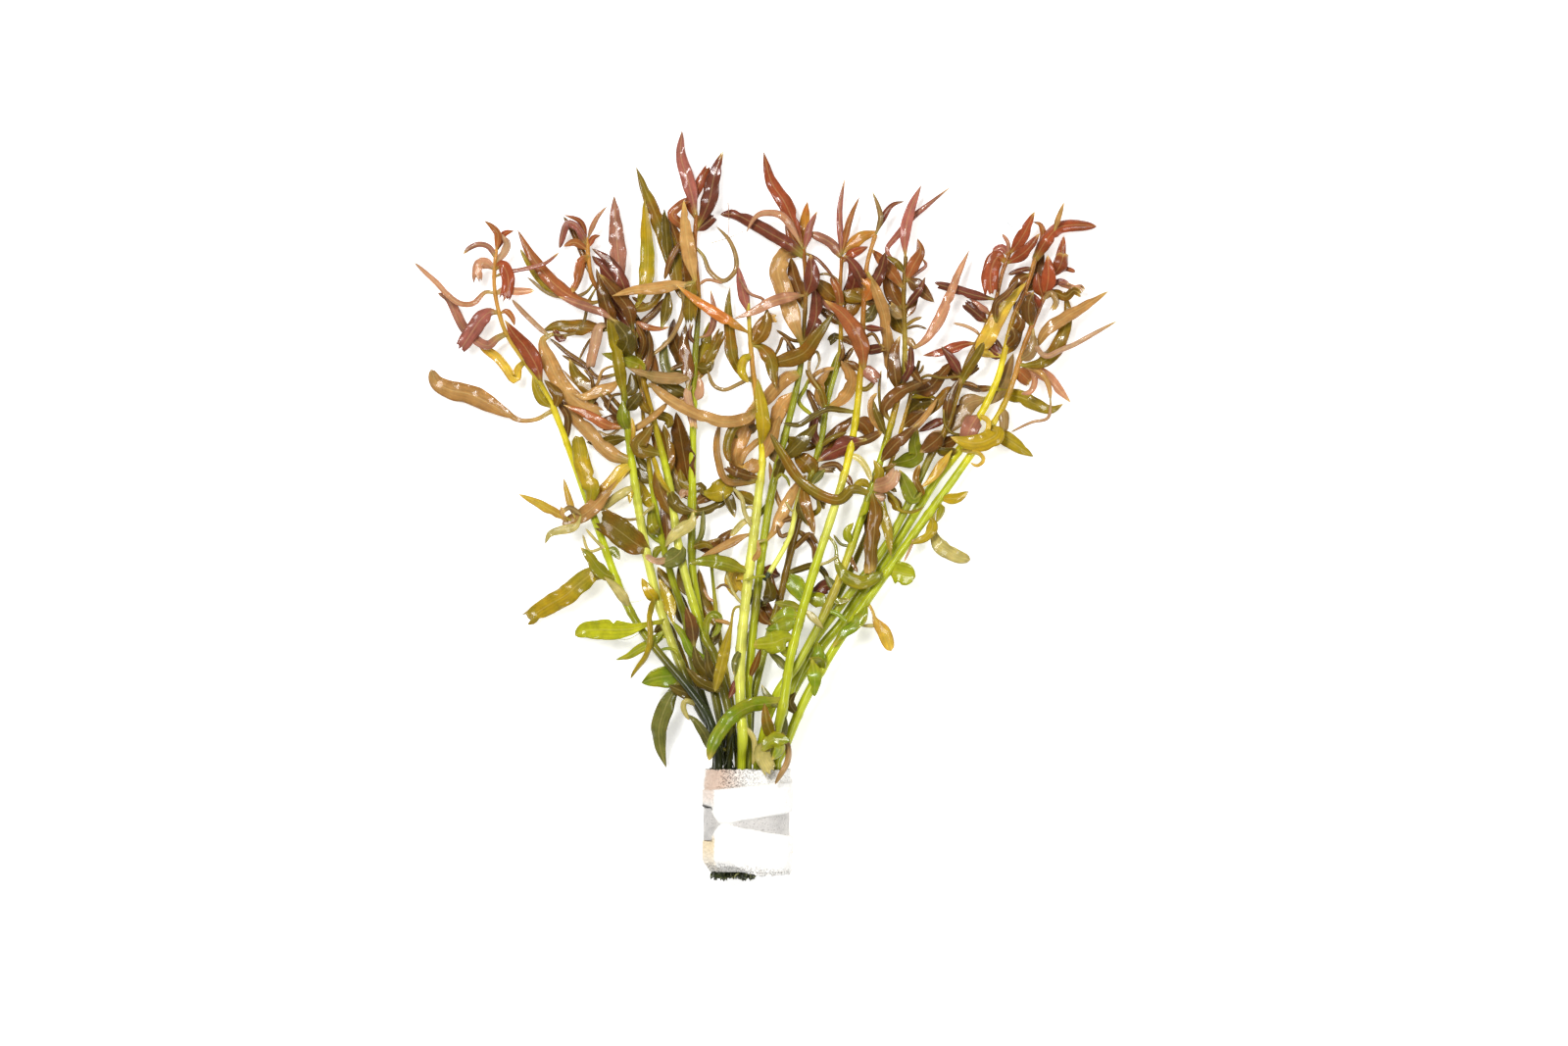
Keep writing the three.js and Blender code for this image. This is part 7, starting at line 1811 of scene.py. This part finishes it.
@dataclass
class Studio:
    """White paper, soft light from all round and a camera straight above the bunch, sizes in mm."""

    centre: tuple[float, float] = (11.84, 86.24)
    height: float = 3000.0
    frame_width: float = 512.0
    sensor: float = 36.0
    sky: float = 0.36
    soft_box: float = 16.0
    lamp: float = 7.0
    floor_half: float = 3000.0

    def build(self) -> None:
        """Makes the floor, the lights and the camera."""
        side = self.floor_half
        mesh = bpy.data.meshes.new("paper")
        corners = [(-side, -side, 0), (side, -side, 0), (side, side, 0), (-side, side, 0)]
        mesh.from_pydata([tuple(v * MM for v in corner) for corner in corners], [], [(0, 1, 2, 3)])
        mesh.materials.append(PaperFloor().material())
        floor = bpy.data.objects.new("paper", mesh)
        bpy.context.scene.collection.objects.link(floor)
        world = bpy.data.worlds.new("white_room")
        world.use_nodes = True
        sky = world.node_tree.nodes["Background"]
        sky.inputs["Color"].default_value = (1.0, 0.995, 0.985, 1)
        sky.inputs["Strength"].default_value = self.sky
        bpy.context.scene.world = world
        for x, y, z, size, power in (
            (-480, 520, 1500, 520, self.soft_box),
            (1100, -150, 1300, 600, self.soft_box * 0.7),
            (-320, 760, 1300, 160, self.lamp),
        ):
            data = bpy.data.lights.new("soft_box", "AREA")
            data.size = size * MM
            data.energy = power
            light = bpy.data.objects.new("soft_box", data)
            light.location = (x * MM, y * MM, z * MM)
            target = Vector((self.centre[0] * MM, self.centre[1] * MM, 0))
            light.rotation_euler = (target - light.location).to_track_quat("-Z", "Y").to_euler()
            bpy.context.scene.collection.objects.link(light)
        data = bpy.data.cameras.new("camera")
        data.sensor_width = self.sensor
        data.lens = self.sensor * self.height / self.frame_width
        data.clip_end = 10
        camera = bpy.data.objects.new("camera", data)
        camera.location = (self.centre[0] * MM, self.centre[1] * MM, self.height * MM)
        bpy.context.scene.collection.objects.link(camera)
        bpy.context.scene.camera = camera
        bpy.context.scene.view_settings.view_transform = "Standard"


@dataclass
class PlantBunch:
    """The stems and leaves of the bunch."""

    shoots: list[Shoot]

    def build(self) -> None:
        """Makes each stem, the leaves that grow on it, and the leaves that are pieces of their own."""
        stem_skin, leaf_blade = WetStemSkin().material(), WetLeafBlade().material()
        for shoot in self.shoots:
            stem, leaves = Skin(), Skin()
            shoot.grow(stem)
            self.dress(stem.to_object(f"{shoot.name}_stalk", stem_skin), shoot.name)
            for leaf in shoot.leaves:
                if leaf.root is shoot:
                    leaf.grow(leaves)
                if leaf.number:
                    blade = Skin()
                    for one in shoot.leaves:
                        if one.root is leaf:
                            one.grow(blade)
                    node = f"leaf_{leaf.number:02d}"
                    self.dress(blade.to_object(f"{node}_blade", leaf_blade), node)
            self.dress(leaves.to_object(f"{shoot.name}_leaves", leaf_blade), shoot.name)

    def dress(self, piece: bpy.types.Object, node: str) -> None:
        """Puts a piece in the place of its node.

        Args:
            piece: The piece.
            node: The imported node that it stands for.
        """
        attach(piece, "root")
        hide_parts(node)
        LOG.info("%s: %d faces", piece.name, len(piece.data.polygons))


def main() -> None:
    """Builds the bunch, its holder and the studio, and reports each piece."""
    logging.basicConfig(level=logging.INFO, format="%(message)s")
    Studio().build()
    sleeve = FoamSleeve()
    foam = sleeve.build()
    LOG.info("%s: %d faces", foam.name, len(foam.data.polygons))
    strip = MetalStrip().build(sleeve)
    LOG.info("%s: %d faces", strip.name, len(strip.data.polygons))
    PlantBunch(read_shoots()).build()


if __name__ == "__main__":
    main()
